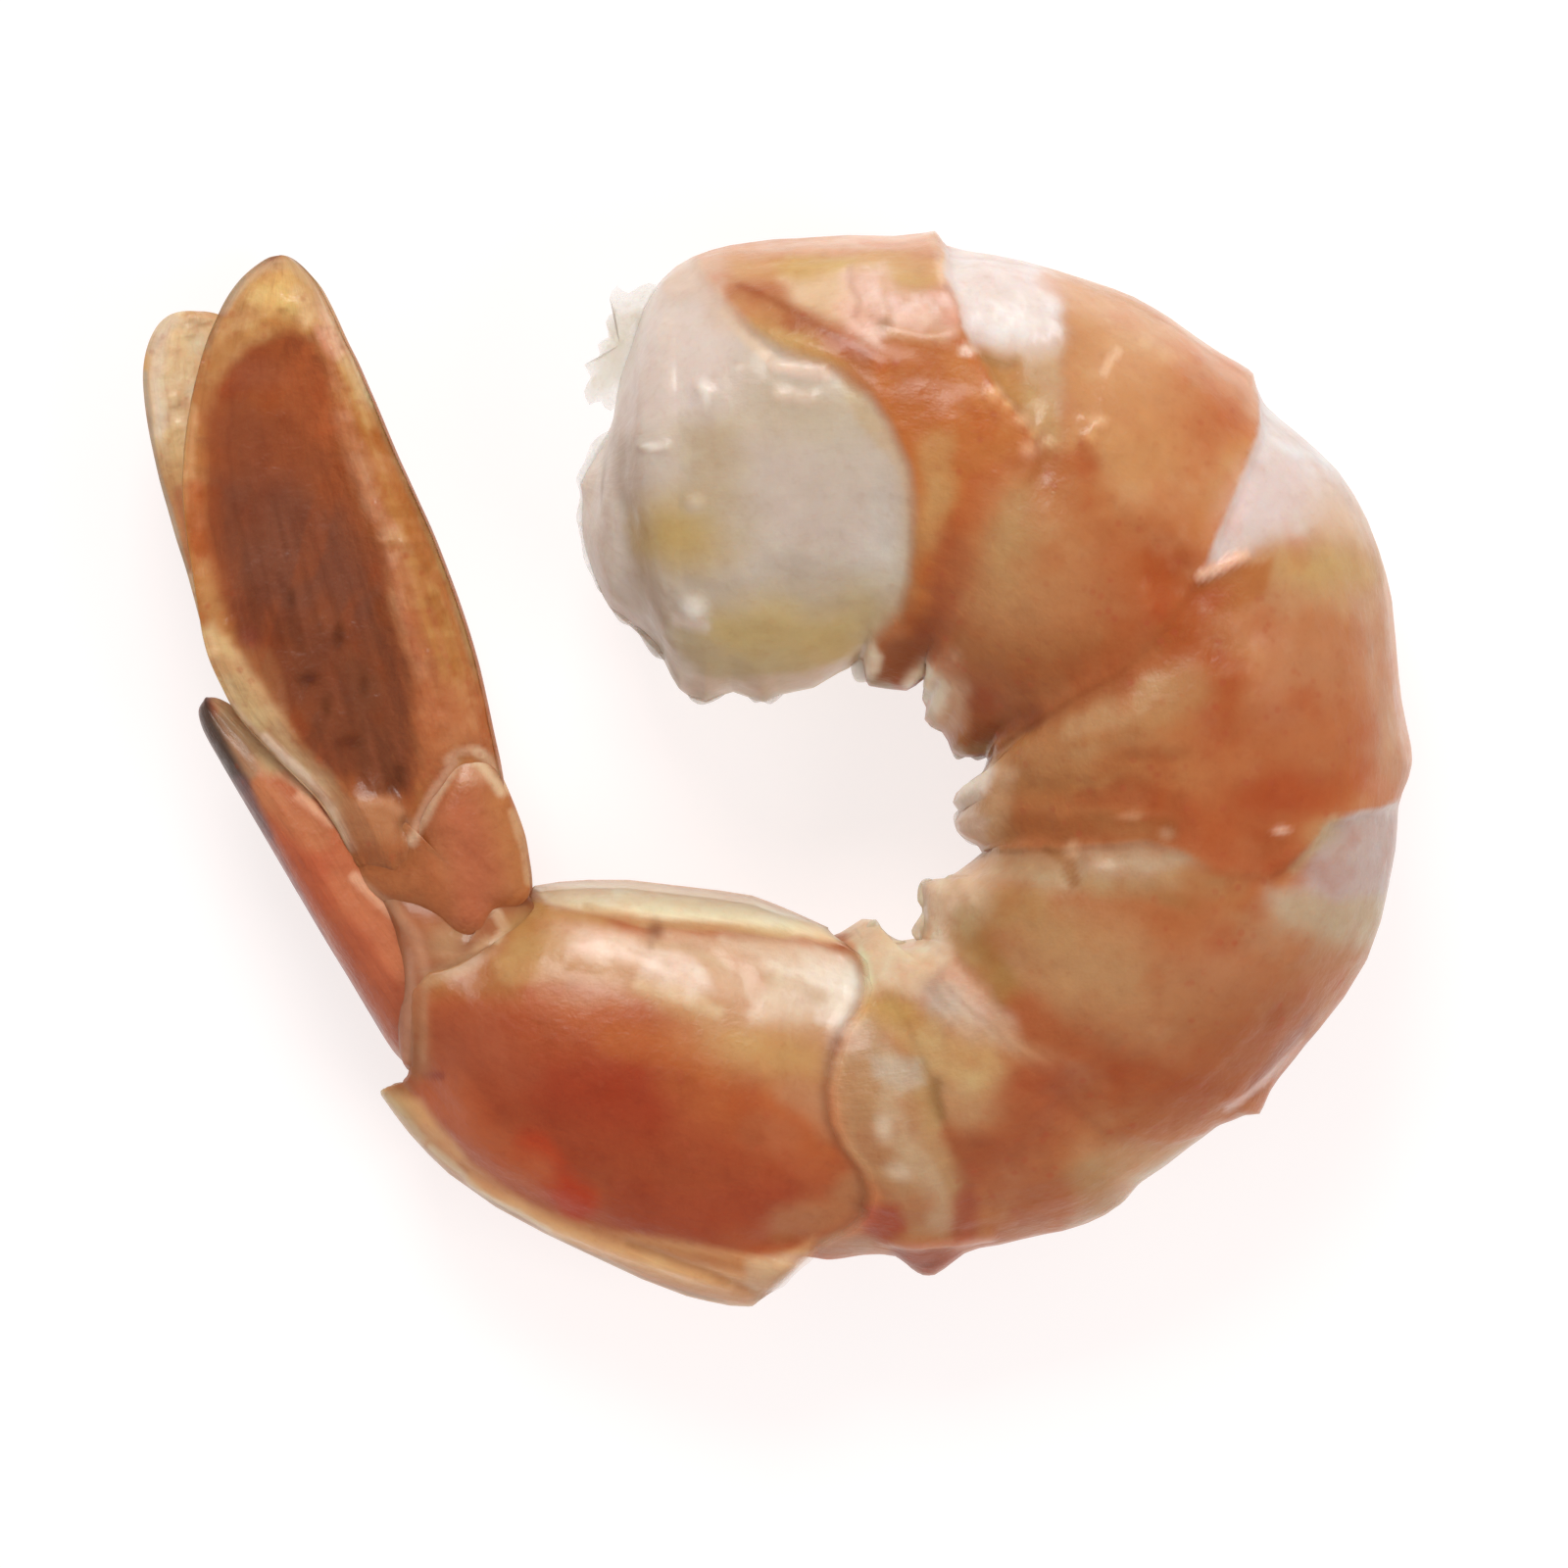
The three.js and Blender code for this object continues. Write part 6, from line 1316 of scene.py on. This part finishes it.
        # Inside of the hollow.
        hue = np.ones(p.shape) * (0.34, 0.095, 0.036)
        over = lambda colour, mask, amount=1.0: mix(hue, colour, mask * amount)
        hue = over((0.36, 0.10, 0.036), smooth(0.0, 0.6, n), 0.5)
        hue = over((0.40, 0.105, 0.038), L([(300, 350), (316, 390), (328, 430)], 22), 0.8)
        hue = over((0.32, 0.075, 0.032), L([(232, 392), (256, 384), (262, 366)], 14), 0.6)
        hue = over((0.37, 0.12, 0.06), S((268, 384), (26, 16)), 0.5)
        hue = over((0.26, 0.075, 0.036), A([(218, 420), (290, 420), (330, 470), (300, 520), (222, 520)], 22), 0.75)
        hue = over((0.195, 0.070, 0.042), A([(222, 490), (300, 490), (350, 520), (390, 600), (400, 660), (330, 640), (250, 640), (224, 570)], 26), 0.9)
        hue = over((0.24, 0.072, 0.036), L([(250, 420), (262, 480), (256, 540)], 14), 0.4)
        hue = over((0.195, 0.058, 0.030), A([(222, 620), (260, 600), (330, 640), (380, 780), (340, 800), (290, 750), (246, 690)], 16), 0.85)
        hue = over((0.24, 0.075, 0.036), L([(330, 620), (345, 680), (350, 740)], 13), 0.7)
        hue = over((0.20, 0.065, 0.032), L([(300, 640), (312, 700), (330, 760)], 10), 0.6)
        hue = over((0.18, 0.065, 0.032), L([(368, 690), (380, 740), (384, 800)], 18), 0.85)
        hue = over((0.25, 0.072, 0.028), L([(395, 620), (408, 690), (414, 760)], 13), 0.75)
        hue = over((0.32, 0.125, 0.055), A([(252, 648), (276, 664), (290, 700), (300, 745), (318, 770), (300, 762), (276, 716), (258, 680)], 7), 0.7)
        hue = over((0.25, 0.07, 0.045), ES((258, 652), (11, 9)), 0.7)
        for centre, r in [((347, 652), (5, 11)), ((358, 752), (8, 7)), ((406, 800), (12, 12)), ((318, 694), (11, 6))]:
            hue = over((0.11, 0.032, 0.016), ES(centre, r), 0.8)
        hue = over((0.30, 0.082, 0.034), smooth(0.1, 0.6, noise(np.stack([d.uv[..., 0] + d.uv[..., 1] * 0.28, d.uv[..., 1] * 0.12, 0 * n], -1), 13.0, 187)), 0.45)
        hue = over((0.19, 0.062, 0.033), A([(300, 640), (400, 640), (424, 720), (420, 810), (350, 790), (316, 730)], 20), 0.7)
        hue = over((0.36, 0.125, 0.05), L([(352, 808), (380, 818), (408, 826)], 9, 0.9), 0.6)
        # Dark flecks and fine streaks along the hollow.
        streaks = noise(np.stack([e.uv[..., 0] + e.uv[..., 1] * -0.26, e.uv[..., 1] * 0.09, 0 * n], -1), 7.0, 221)
        hue = over((0.125, 0.042, 0.024), smooth(0.25, 0.75, streaks) * smooth(420, 560, d.uv[..., 1]), 0.28)
        hue = over((0.30, 0.10, 0.055), smooth(0.3, 0.8, -streaks) * smooth(420, 560, d.uv[..., 1]), 0.22)
        for centre, r in [((347, 650), (5, 12)), ((318, 693), (9, 6)), ((360, 757), (10, 7)), ((411, 788), (8, 11)), ((300, 610), (4, 10)),
                          ((372, 700), (5, 12)), ((334, 722), (4, 9))]:
            hue = over((0.085, 0.028, 0.015), ES(centre, r), 0.5)
        c = mix(c, hue, smooth(-13, 9, signed(d.uv, HOLLOW) + 5 * fractal(p, 1.2, 3, 186)))
        c = lay((0.40, 0.145, 0.062), A([(345, 822), (400, 824), (426, 842), (440, 900), (370, 900), (352, 858)], 12), 0.85)
        c = lay((0.44, 0.185, 0.085), A([(352, 818), (400, 816), (420, 838), (416, 858), (372, 862), (350, 846)], 10), 0.8)
        c = lay((0.54, 0.26, 0.14), L([(368, 822), (388, 818), (408, 828)], 5, 0.9), 0.6)
        c = lay((0.37, 0.12, 0.05), L([(366, 870), (392, 868), (418, 876)], 8, 0.9), 0.5)
        # The same red as the stem, with a pale lip along the end drawn as painted highlights.
        c = lay((0.44, 0.145, 0.062), A([(430, 905), (424, 850), (436, 818), (452, 798), (480, 790), (500, 800), (516, 830), (540, 900)], 9), 0.9)
        c = lay((0.66, 0.37, 0.24), EL([(464, 779), (454, 793), (441, 812), (434, 826), (427, 840), (420, 856)], 4.5, 0.9), 0.75)
        c = lay((0.66, 0.37, 0.23), EL([(458, 777), (468, 769), (482, 765), (494, 770)], 4.5, 0.9), 0.7)
        c = lay((0.74, 0.50, 0.31), EL([(488, 767), (500, 777), (510, 792)], 5, 0.9), 0.7)
        c = lay((0.10, 0.03, 0.016), ES((414, 840), (7, 7)), 0.5)
        c = mix(c, np.clip(c * (1.12, 1.35, 1.5), 0, 0.92), 0.4 * smooth(0.0, 0.6, fractal(p, 1.2, 4, 188)) * (1 - 0.6 * smooth(-9, 9, signed(d.uv, HOLLOW))))
        c = mix(c, c * (0.92, 0.70, 0.62), 0.4 * smooth(0.0, 0.6, fractal(p, 1.1, 4, 189)))
        # Painted light on the slope up to the ridge.
        c = np.clip(c * (1 + 0.28 * painted_slope_light)[..., None], 0, 0.92)
        ridge = A([(330, 326), (352, 330), (430, 500), (510, 740), (440, 760), (410, 640), (372, 500), (336, 400)], 12)
        c = mix(c, c * (0.86, 0.72, 0.6), 0.6 * ridge * smooth(0.0, 0.45, fractal(p, 0.7, 4, 198)))
        c = mix(c, np.clip(c * (1.12, 1.3, 1.25) + 0.01, 0, 0.92), 0.6 * ridge * smooth(0.05, 0.45, fractal(p, 0.6, 4, 199)))
        c = tone(c, 0.02, 1.0)
        under = mix(np.ones(p.shape) * (0.44, 0.17, 0.065), (0.66, 0.40, 0.18), smooth(0.75, 1.0, t) * np.ones(p.shape[:-1]))
        cover = 1 - 0.16 * smooth(0.0, 1.0, EA([(190, 400), (210, 340), (250, 270), (290, 255), (335, 290), (330, 326), (260, 330), (215, 395)], 14)) \
            - 0.18 * np.exp(-rim / 0.35)
        return c, under, 0.35 * (1 - m), np.clip(cover, 0.4, 1)

    return plate(f"fan_blade_{side}", xy, top, bottom, paint, FAN, f"fan_trough_{side}", mirror)


LEAF_LEFT = [(262, 730), (238, 712), (222, 690), (212, 664), (204, 636), (196, 606), (188, 578), (179, 550), (171, 522), (163, 494), (156, 464), (150, 434),
             (146, 404), (145, 378), (149, 354), (158, 334), (170, 322), (184, 317), (196, 317)]
LEAF_RIGHT = [(300, 730), (288, 700), (280, 664), (272, 630), (266, 600), (262, 570), (258, 540), (256, 510), (254, 480), (254, 450), (255, 425),
              (256, 400), (255, 378), (252, 358), (246, 342), (236, 328), (222, 320), (208, 317), (198, 317)]


def build_leaf(side, mirror):
    rows, cols = ((170, 70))
    xy, s, width = strip(LEAF_LEFT, LEAF_RIGHT, rows, cols, bunch=lambda f: 1 - (1 - f) ** 1.4)
    g = np.concatenate([xy, np.full((rows, cols, 1), 7.0)], -1)
    rim = np.minimum(s, 1 - s) * width
    middle = 7.1 + 0.18 * np.sin(s * 5.0) + 0.1 * fractal(g, 3.0, 2, 204)
    thick = 0.08 + 0.26 * smooth(0.0, 1.4, rim)
    top = middle + thick + 0.06 * fractal(g, 1.2, 3, 205) + 0.1 * smooth(0.1, 0.7, noise(g, 0.6, 206)) * smooth(0.2, 0.8, rim)
    bottom = middle - thick

    def paint(p, d, e):
        A, L, EL, ES = d.area, d.line, e.line, e.spot
        c = np.ones(p.shape) * (0.56, 0.29, 0.12)
        lay = lambda colour, mask, amount=1.0: mix(c, colour, mask * amount)
        n = fractal(p, 1.8, 4, 201)
        c = lay((0.95, 0.66, 0.36), A([(150, 330), (200, 318), (230, 330), (212, 400), (196, 470), (170, 480), (156, 440)], 14), 0.95)
        c = lay((0.95, 0.70, 0.42), smooth(-0.1, 0.35, n) * L([(178, 330), (182, 390), (176, 440)], 20), 0.8)
        c = lay((0.74, 0.48, 0.24), smooth(0.1, 0.5, fractal(p, 1.1, 3, 203)) * L([(190, 330), (196, 390), (184, 450)], 24), 0.5)
        # Painted highlights along the left rim and two spots.
        c = lay((0.95, 0.74, 0.56), EL([(164, 344), (158, 390), (162, 440)], 7, 0.9), 0.6)
        c = lay((0.98, 0.78, 0.52), np.maximum(ES((203, 350), (9, 11)), ES((196, 398), (7, 10))), 0.8)
        c = lay((0.60, 0.47, 0.28), ES((196, 330), (14, 6)), 0.6)
        c = lay((0.66, 0.52, 0.40), L([(150, 352), (172, 326)], 8), 0.5)
        c = lay((0.78, 0.50, 0.22), L([(176, 445), (182, 480), (190, 500)], 10), 0.8)
        c = lay((0.62, 0.34, 0.13), L([(180, 480), (188, 520)], 12), 0.6)
        c = lay((0.50, 0.19, 0.075), L([(186, 505), (194, 545), (200, 580)], 11), 0.85)
        c = lay((0.48, 0.22, 0.10), EL([(168, 510), (180, 550), (190, 590), (198, 620)], 5), 0.7)
        c = lay((0.45, 0.36, 0.27), EL([(146, 380), (150, 432), (160, 480), (176, 536), (192, 592)], 3.5), 0.75)
        c = lay((0.70, 0.48, 0.30), EL([(196, 590), (204, 630), (214, 664)], 6), 0.8)
        for centre in [(160, 378), (166, 402), (180, 360), (172, 430), (186, 412)]:
            c = lay((0.52, 0.30, 0.16), ES(centre, 5), 0.35)
        cover = 1 - 0.2 * A([(130, 300), (240, 300), (205, 420), (180, 510), (140, 520)], 26)
        c = np.clip(c * (1.07, 1.08, 1.14), 0, 0.98)
        return c, c * 0.9, 0.3 * np.ones(p.shape[:-1]), np.clip(cover, 0.5, 1)

    return plate(f"fan_leaf_look_{side}", xy, top, bottom, paint, FAN, f"fan_leaf_{side}", mirror)


# ---------------------------------------------------------------------------
# Pads: the stems, and thin scraps of skin and flesh
# ---------------------------------------------------------------------------
def pad(name, outline, z, up, down, paint, material, node, mirror, rings=22, around=96, seed=1, rough=0.08, centre=None, power=2.4, tilt=(0, 0),
        tucked=None, soft=0.62):
    """A closed cushion over a drawn outline; z is its rim's height, up and down its thickness.

    tucked is a part of the outline where the cushion dips under what lies beside it."""
    edge = to_mm(resample(outline, around, closed=True))
    heart = to_mm(centre) if centre is not None else edge.mean(0)
    rho = np.sin(np.linspace(0, 1, rings) * math.pi / 2)[:, None]
    xy = heart + (edge - heart)[None, :, :] * rho[..., None]
    body = (1 - rho**power) ** soft * np.ones((1, around))
    g = np.concatenate([xy, np.full((rings, around, 1), z)], -1)
    lie = z + (xy[..., 0] - heart[0]) * tilt[0] + (xy[..., 1] - heart[1]) * tilt[1]
    if tucked is not None:
        lie = lie - 0.6 * smooth(-20, 24, signed(plane(g), tucked))
    wave = fractal(g + seed, 1.4, 3, seed)
    top = lie + up * body * (1 + rough * 2 * wave) + rough * wave
    bottom = lie - down * body + rough * wave * (body > 0)
    high = np.concatenate([xy, top[..., None]], -1)
    low = np.concatenate([xy, bottom[..., None]], -1)[:-1]
    for part in (high, low):
        part[..., 2] = np.maximum(TAIL_MID_Z + mirror * (part[..., 2] - TAIL_MID_Z), 0.03)
    d, e = Drawing(high, 4.0, seed), Drawing(high, 1.5, seed + 2)
    h = 0.0
    c, cover = paint(high, d, e, rho * np.ones((1, around)))
    high[0], low[0] = high[0].mean(0), low[0].mean(0)
    off = rings * around
    j = np.arange(around)
    k = (j + 1) % around
    q1 = band(rings, around, True)
    i2 = band(rings - 1, around, True) + off
    join = np.stack([off + (rings - 2) * around + j, off + (rings - 2) * around + k, (rings - 1) * around + k, (rings - 1) * around + j], -1)
    verts = np.concatenate([high.reshape(-1, 3), low.reshape(-1, 3)])
    colour = np.concatenate([c.reshape(-1, 3), c[:-1].reshape(-1, 3)])
    shade = np.concatenate([cover.ravel(), cover[:-1].ravel()])
    # One point at the middle of either side instead of a ring of equal ones.
    index = np.arange(len(verts))
    index[:around] = 0
    index[off:off + around] = off
    faces = index[np.concatenate([q1, i2[:, ::-1], join[:, ::-1]])]
    fans = (faces[:, 0] == faces[:, 1]) | (faces[:, 1] == faces[:, 2]) | (faces[:, 2] == faces[:, 3]) | (faces[:, 3] == faces[:, 0])
    tris = []
    for face in faces[fans]:
        keep = [v for n, v in enumerate(face) if v != face[n - 1]]
        if len(keep) == 3:
            tris.append(keep)
    used = np.ones(len(verts), bool)
    used[1:around] = False
    used[off + 1:off + around] = False
    renumber = np.cumsum(used) - 1
    o = solid(name, verts[used], renumber[faces[~fans]], renumber[np.array(tris)], tint=colour[used], speck=np.full(used.sum(), 0.1),
              cover=shade[used], flow=verts[used] * [1.2, 1.2, 1.2])
    o.data.materials.append(material)
    return settle(o, node)


def build_stem(side, mirror):
    def paint(p, d, e, rho):
        A, L, S, EA, EL, ES = d.area, d.line, d.spot, e.area, e.line, e.spot
        c = np.ones(p.shape) * (0.44, 0.14, 0.061)
        lay = lambda colour, mask, amount=1.0: mix(c, colour, mask * amount)
        c = lay((0.47, 0.17, 0.07), smooth(0.0, 0.6, fractal(p, 2.0, 3, 171)), 0.5)
        c = lay((0.46, 0.17, 0.065), L([(512, 820), (528, 860), (532, 900)], 17, 0.9), 0.7)
        c = lay((0.47, 0.125, 0.063), L([(470, 830), (486, 890), (484, 930)], 20, 0.9), 0.6)
        c = lay((0.41, 0.115, 0.045), L([(430, 850), (440, 900), (450, 930)], 12), 0.6)
        c = lay((0.38, 0.12, 0.048), A([(345, 840), (420, 856), (440, 930), (400, 925), (362, 892)], 16), 0.8)
        c = lay((0.42, 0.16, 0.065), A([(340, 815), (380, 810), (412, 830), (414, 856), (370, 862), (345, 850)], 10), 0.85)
        c = lay((0.34, 0.11, 0.045), L([(360, 866), (388, 862), (414, 868)], 6, 0.9), 0.6)
        c = lay((0.50, 0.22, 0.11), L([(372, 824), (392, 830), (404, 842)], 5, 0.9), 0.5)
        c = lay((0.36, 0.10, 0.036), L([(372, 880), (400, 884), (420, 880)], 10), 0.5)
        # The pale lip along the top and the V line: painted highlights along the lit edges.
        c = lay((0.60, 0.29, 0.17), A([(460, 792), (468, 774), (490, 772), (508, 790), (494, 796), (474, 800)], 8), 0.6)
        c = lay((0.72, 0.42, 0.27), EL([(463, 784), (454, 798), (443, 815), (436, 829), (429, 842), (421, 858)], 5, 0.9), 0.85)
        c = lay((0.76, 0.50, 0.31), EL([(484, 775), (496, 783), (506, 796), (513, 808)], 5, 0.9), 0.75)
        c = lay((0.68, 0.38, 0.24), EL([(461, 783), (471, 774), (486, 774)], 5, 0.9), 0.65)
        # A painted shade in the notch by the joint.
        c = lay((0.34, 0.10, 0.04), ES((484, 956), (14, 9)), 0.7)
        c = lay((0.62, 0.36, 0.20), EL([(524, 830), (536, 868), (540, 900)], 4.5), 0.6)
        # A painted highlight along the lower-left edge.
        c = lay((0.64, 0.32, 0.19), EL([(354, 884), (364, 897), (384, 914), (408, 930)], 5, 0.9), 0.8)
        fade = 1.0
        c = np.clip(c * (1.0, 1.1, 1.12), 0, 0.95)
        return tone(c, 0.02, 1.0), fade * np.ones(rho.shape)

    o = pad(f"fan_stem_look_{side}", STEM, 9.05, 1.15, 1.4, paint, FAN, f"fan_stem_{side}", mirror, rings=34, around=150, seed=170,
            rough=0.05, centre=(462, 884), power=3.0, tilt=(0.06, 0.03), tucked=TUCKED, soft=0.85)
    # Loose skin over the joint between stem, spike and shell.
    def skin(p, d, e, rho):
        c = np.ones(p.shape) * (0.43, 0.155, 0.072)
        lay = lambda colour, mask, amount=1.0: mix(c, colour, mask * amount)
        c = lay((0.52, 0.29, 0.15), d.spot((458, 962), (20, 17)), 0.8)
        c = lay((0.52, 0.205, 0.105), d.line([(412, 960), (420, 1020), (420, 1090)], 16), 0.8)
        c = lay((0.64, 0.33, 0.21), d.line([(418, 970), (420, 1020), (416, 1080)], 4, 0.9), 0.6)
        # A painted shade in the notch.
        c = lay((0.30, 0.12, 0.06), d.spot((482, 964), (16, 7)), 0.6)
        # A painted highlight along the lit edge by the spike.
        c = lay((0.62, 0.30, 0.17), e.line([(390, 912), (406, 930), (426, 956), (434, 990)], 6, 0.9), 0.85)
        c = lay((0.62, 0.36, 0.19), e.line([(440, 996), (462, 988), (484, 976), (498, 960)], 6, 0.9), 0.7)
        c = lay((0.80, 0.50, 0.32), e.line([(507, 930), (516, 948), (506, 962)], 5), 0.8)
        c = lay((0.56, 0.31, 0.12), d.spot((530, 945), (18, 14)), 0.8)
        return tone(c, 0.02, 1.0), 0.96 - 0.3 * rho**3
    pad(f"joint_skin_{side}", [(388, 905), (430, 900), (470, 930), (500, 930), (515, 905), (530, 900), (540, 914), (550, 940), (530, 990),
                               (470, 1030), (440, 1094), (420, 1094), (409, 1076), (406, 1030), (408, 990), (402, 950)], 8.55, 1.25, 1.0, skin, SKIN, None, mirror,
        rings=22, around=110, seed=175, rough=0.06, centre=(470, 975), power=2.8)
    return o


def flat(colour, edge, opaque=0.85, clear=0.5):
    """Paint for a scrap: one colour in the middle, another at the rim, thinner there."""
    def paint(p, d, e, rho):
        n = smooth(-0.5, 0.6, fractal(p, 0.9, 3, 77))
        c = mix(np.ones(p.shape) * np.array(colour), edge, rho**3)
        c = mix(c, np.clip(np.array(colour) * 1.2, 0, 0.92), 0.35 * n)
        c = mix(c, np.array(colour) * (0.72, 0.68, 0.52), 0.5 * smooth(0.0, 0.5, fractal(p, 0.6, 3, 78)))
        thin = 1 - 0.45 * smooth(0.0, 0.5, fractal(p, 0.7, 3, 79))
        return c, (opaque + (clear - opaque) * rho**2) * thin
    return paint


def build_scraps():
    grey, white = (0.74, 0.66, 0.60), (0.88, 0.80, 0.73)
    scraps = [
        # Shred at the top of the cut end, and the ragged skin beside it.
        ([(630, 292), (640, 300), (660, 290), (672, 296), (668, 330), (656, 360), (640, 400), (622, 420), (612, 408), (602, 414), (596, 398), (603, 384), (596, 372), (612, 366), (610, 350), (621, 344), (618, 326), (628, 318), (622, 304)],
         8.6, (0.80, 0.71, 0.61), (0.90, 0.84, 0.76), 0.62, 0.2),
        ([(604, 452), (622, 440), (634, 450), (630, 500), (618, 540), (598, 545), (588, 530), (592, 505), (588, 488), (597, 470)], 8.3, white, (0.92, 0.86, 0.80), 0.6, 0.25),
        ([(590, 535), (600, 528), (622, 540), (632, 590), (650, 618), (630, 612), (612, 604), (604, 588), (596, 572), (593, 552)], 8.0, white, (0.92, 0.86, 0.80), 0.6, 0.25),
        ([(610, 596), (636, 604), (664, 640), (660, 652), (644, 640), (632, 634), (622, 618)], 8.4, (0.66, 0.50, 0.40), grey, 0.5, 0.25),
        ([(650, 636), (676, 640), (698, 664), (702, 694), (690, 694), (682, 676), (668, 670), (656, 654)], 8.6, (0.50, 0.38, 0.26), (0.70, 0.58, 0.46), 0.6, 0.3),
        ([(692, 690), (718, 694), (744, 696), (738, 710), (718, 719), (706, 715), (700, 706)], 8.0, (0.60, 0.48, 0.38), (0.76, 0.66, 0.58), 0.6, 0.3),
        ([(758, 698), (794, 694), (804, 702), (788, 718), (778, 716), (768, 716)], 8.0, (0.62, 0.50, 0.40), (0.76, 0.66, 0.58), 0.6, 0.3),
        # Tabs between the segments at the belly.
        ([(872, 694), (868, 676), (876, 660), (890, 651), (904, 656), (908, 674), (898, 688), (884, 696)], 8.9, (0.90, 0.76, 0.60), (0.92, 0.84, 0.70), 0.7, 0.3),
        ([(946, 690), (952, 678), (968, 668), (984, 684), (982, 716), (968, 744), (957, 746), (946, 736), (949, 720), (941, 710)], 8.9, (0.92, 0.82, 0.66), (0.94, 0.88, 0.74), 0.6, 0.25),
        ([(968, 752), (984, 746), (1006, 754), (1012, 768), (998, 776), (988, 772), (976, 775), (970, 764)], 8.2, (0.46, 0.34, 0.20), (0.62, 0.48, 0.32), 0.75, 0.4),
        ([(988, 804), (1002, 788), (1010, 772), (1028, 776), (1030, 806), (1014, 828), (990, 820), (976, 812)], 8.4, (0.92, 0.80, 0.68), (0.94, 0.86, 0.76), 0.6, 0.25),
        ([(976, 828), (998, 818), (1018, 834), (1014, 860), (992, 862), (978, 850), (973, 838)], 8.0, (0.74, 0.56, 0.44), (0.84, 0.70, 0.58), 0.7, 0.3),
        ([(938, 902), (946, 896), (958, 899), (972, 892), (984, 904), (972, 934), (958, 960), (940, 962), (930, 950), (941, 930), (936, 918)], 8.2, (0.80, 0.62, 0.44), (0.84, 0.68, 0.50), 0.95, 0.8),
        ([(884, 948), (893, 938), (902, 950), (914, 958), (926, 962), (916, 976), (896, 974)], 8.0, (0.84, 0.66, 0.48), (0.86, 0.70, 0.52), 0.95, 0.8),
    ]
    for i, (outline, z, colour, edge, opaque, clear) in enumerate(scraps):
        # Those on the cut end are thinner and hang.
        thick, rough, tilt = (0.16, 0.05, (0.5, 0.0)) if i < 4 else (0.5, 0.14, (0, 0))
        pad(f"scrap_{i + 1:02d}", outline, z, thick, thick * 1.1, flat(colour, edge, opaque, clear), SKIN, None, 1.0,
            rings=10, around=48, seed=400 + 9 * i, rough=rough, power=2.2, tilt=tilt)


# ---------------------------------------------------------------------------
# Put together
# ---------------------------------------------------------------------------
flesh = build_meat()
build_shell(flesh)
build_spike()
for side, mirror in (("near", 1.0), ("far", -1.0)):
    build_stem(side, mirror)
    build_trough(side, mirror)
    build_leaf(side, mirror)
build_scraps()

# ---------------------------------------------------------------------------
# Floor, light and camera
# ---------------------------------------------------------------------------
floor_mesh = bpy.data.meshes.new("floor")
R = 1.6
floor_mesh.from_pydata([(-R, -R, 0), (R, -R, 0), (R, R, 0), (-R, R, 0)], [], [(0, 1, 2, 3)])
floor = bpy.data.objects.new("floor", floor_mesh)
bpy.context.scene.collection.objects.link(floor)
paper = bpy.data.materials.new("paper")
paper.use_nodes = True
bsdf = paper.node_tree.nodes["Principled BSDF"]
bsdf.inputs["Base Color"].default_value = (0.34, 0.31, 0.305, 1)
bsdf.inputs["Roughness"].default_value = 0.85
bsdf.inputs["Specular IOR Level"].default_value = 0.1
bsdf.inputs["Emission Color"].default_value = (1.0, 0.97, 0.965, 1)
bsdf.inputs["Emission Strength"].default_value = 0.755
floor.data.materials.append(paper)

world = bpy.data.worlds.new("studio")
world.use_nodes = True
world.node_tree.nodes["Background"].inputs["Color"].default_value = (1.0, 0.99, 0.985, 1)
world.node_tree.nodes["Background"].inputs["Strength"].default_value = 0.5
bpy.context.scene.world = world


def lamp(name, place, size, power, colour=(1, 1, 1)):
    data = bpy.data.lights.new(name, "AREA")
    data.shape = "SQUARE"
    data.size = size
    data.energy = power
    data.color = colour
    o = bpy.data.objects.new(name, data)
    o.location = place
    o.rotation_euler = (Vector((0, 0, 0.005)) - Vector(place)).to_track_quat("-Z", "Y").to_euler()
    bpy.context.scene.collection.objects.link(o)
    return o


lamp("key", (-0.06, 0.34, 0.36), 0.2, 1.38, (1.0, 0.99, 0.97))
lamp("side", (0.42, -0.22, 0.5), 0.35, 1.55).visible_glossy = False

camera_data = bpy.data.cameras.new("camera")
camera = bpy.data.objects.new("camera", camera_data)
bpy.context.scene.collection.objects.link(camera)
middle = to_mm((800, 800)) * 0.001
camera.location = (middle[0], middle[1], 0.608)
camera.rotation_euler = (0, 0, 0)
camera_data.sensor_width = 36.0
camera_data.lens = 36.0 * 0.6 / (1600 * MM_PER_UNIT * 0.001)
camera_data.clip_start = 0.01
camera_data.clip_end = 10.0
camera_data.dof.use_dof = False
bpy.context.scene.camera = camera
bpy.context.scene.view_settings.view_transform = "Standard"
bpy.context.scene.view_settings.look = "None"
bpy.context.scene.view_settings.exposure = 0.0
bpy.context.scene.view_settings.gamma = 1.0
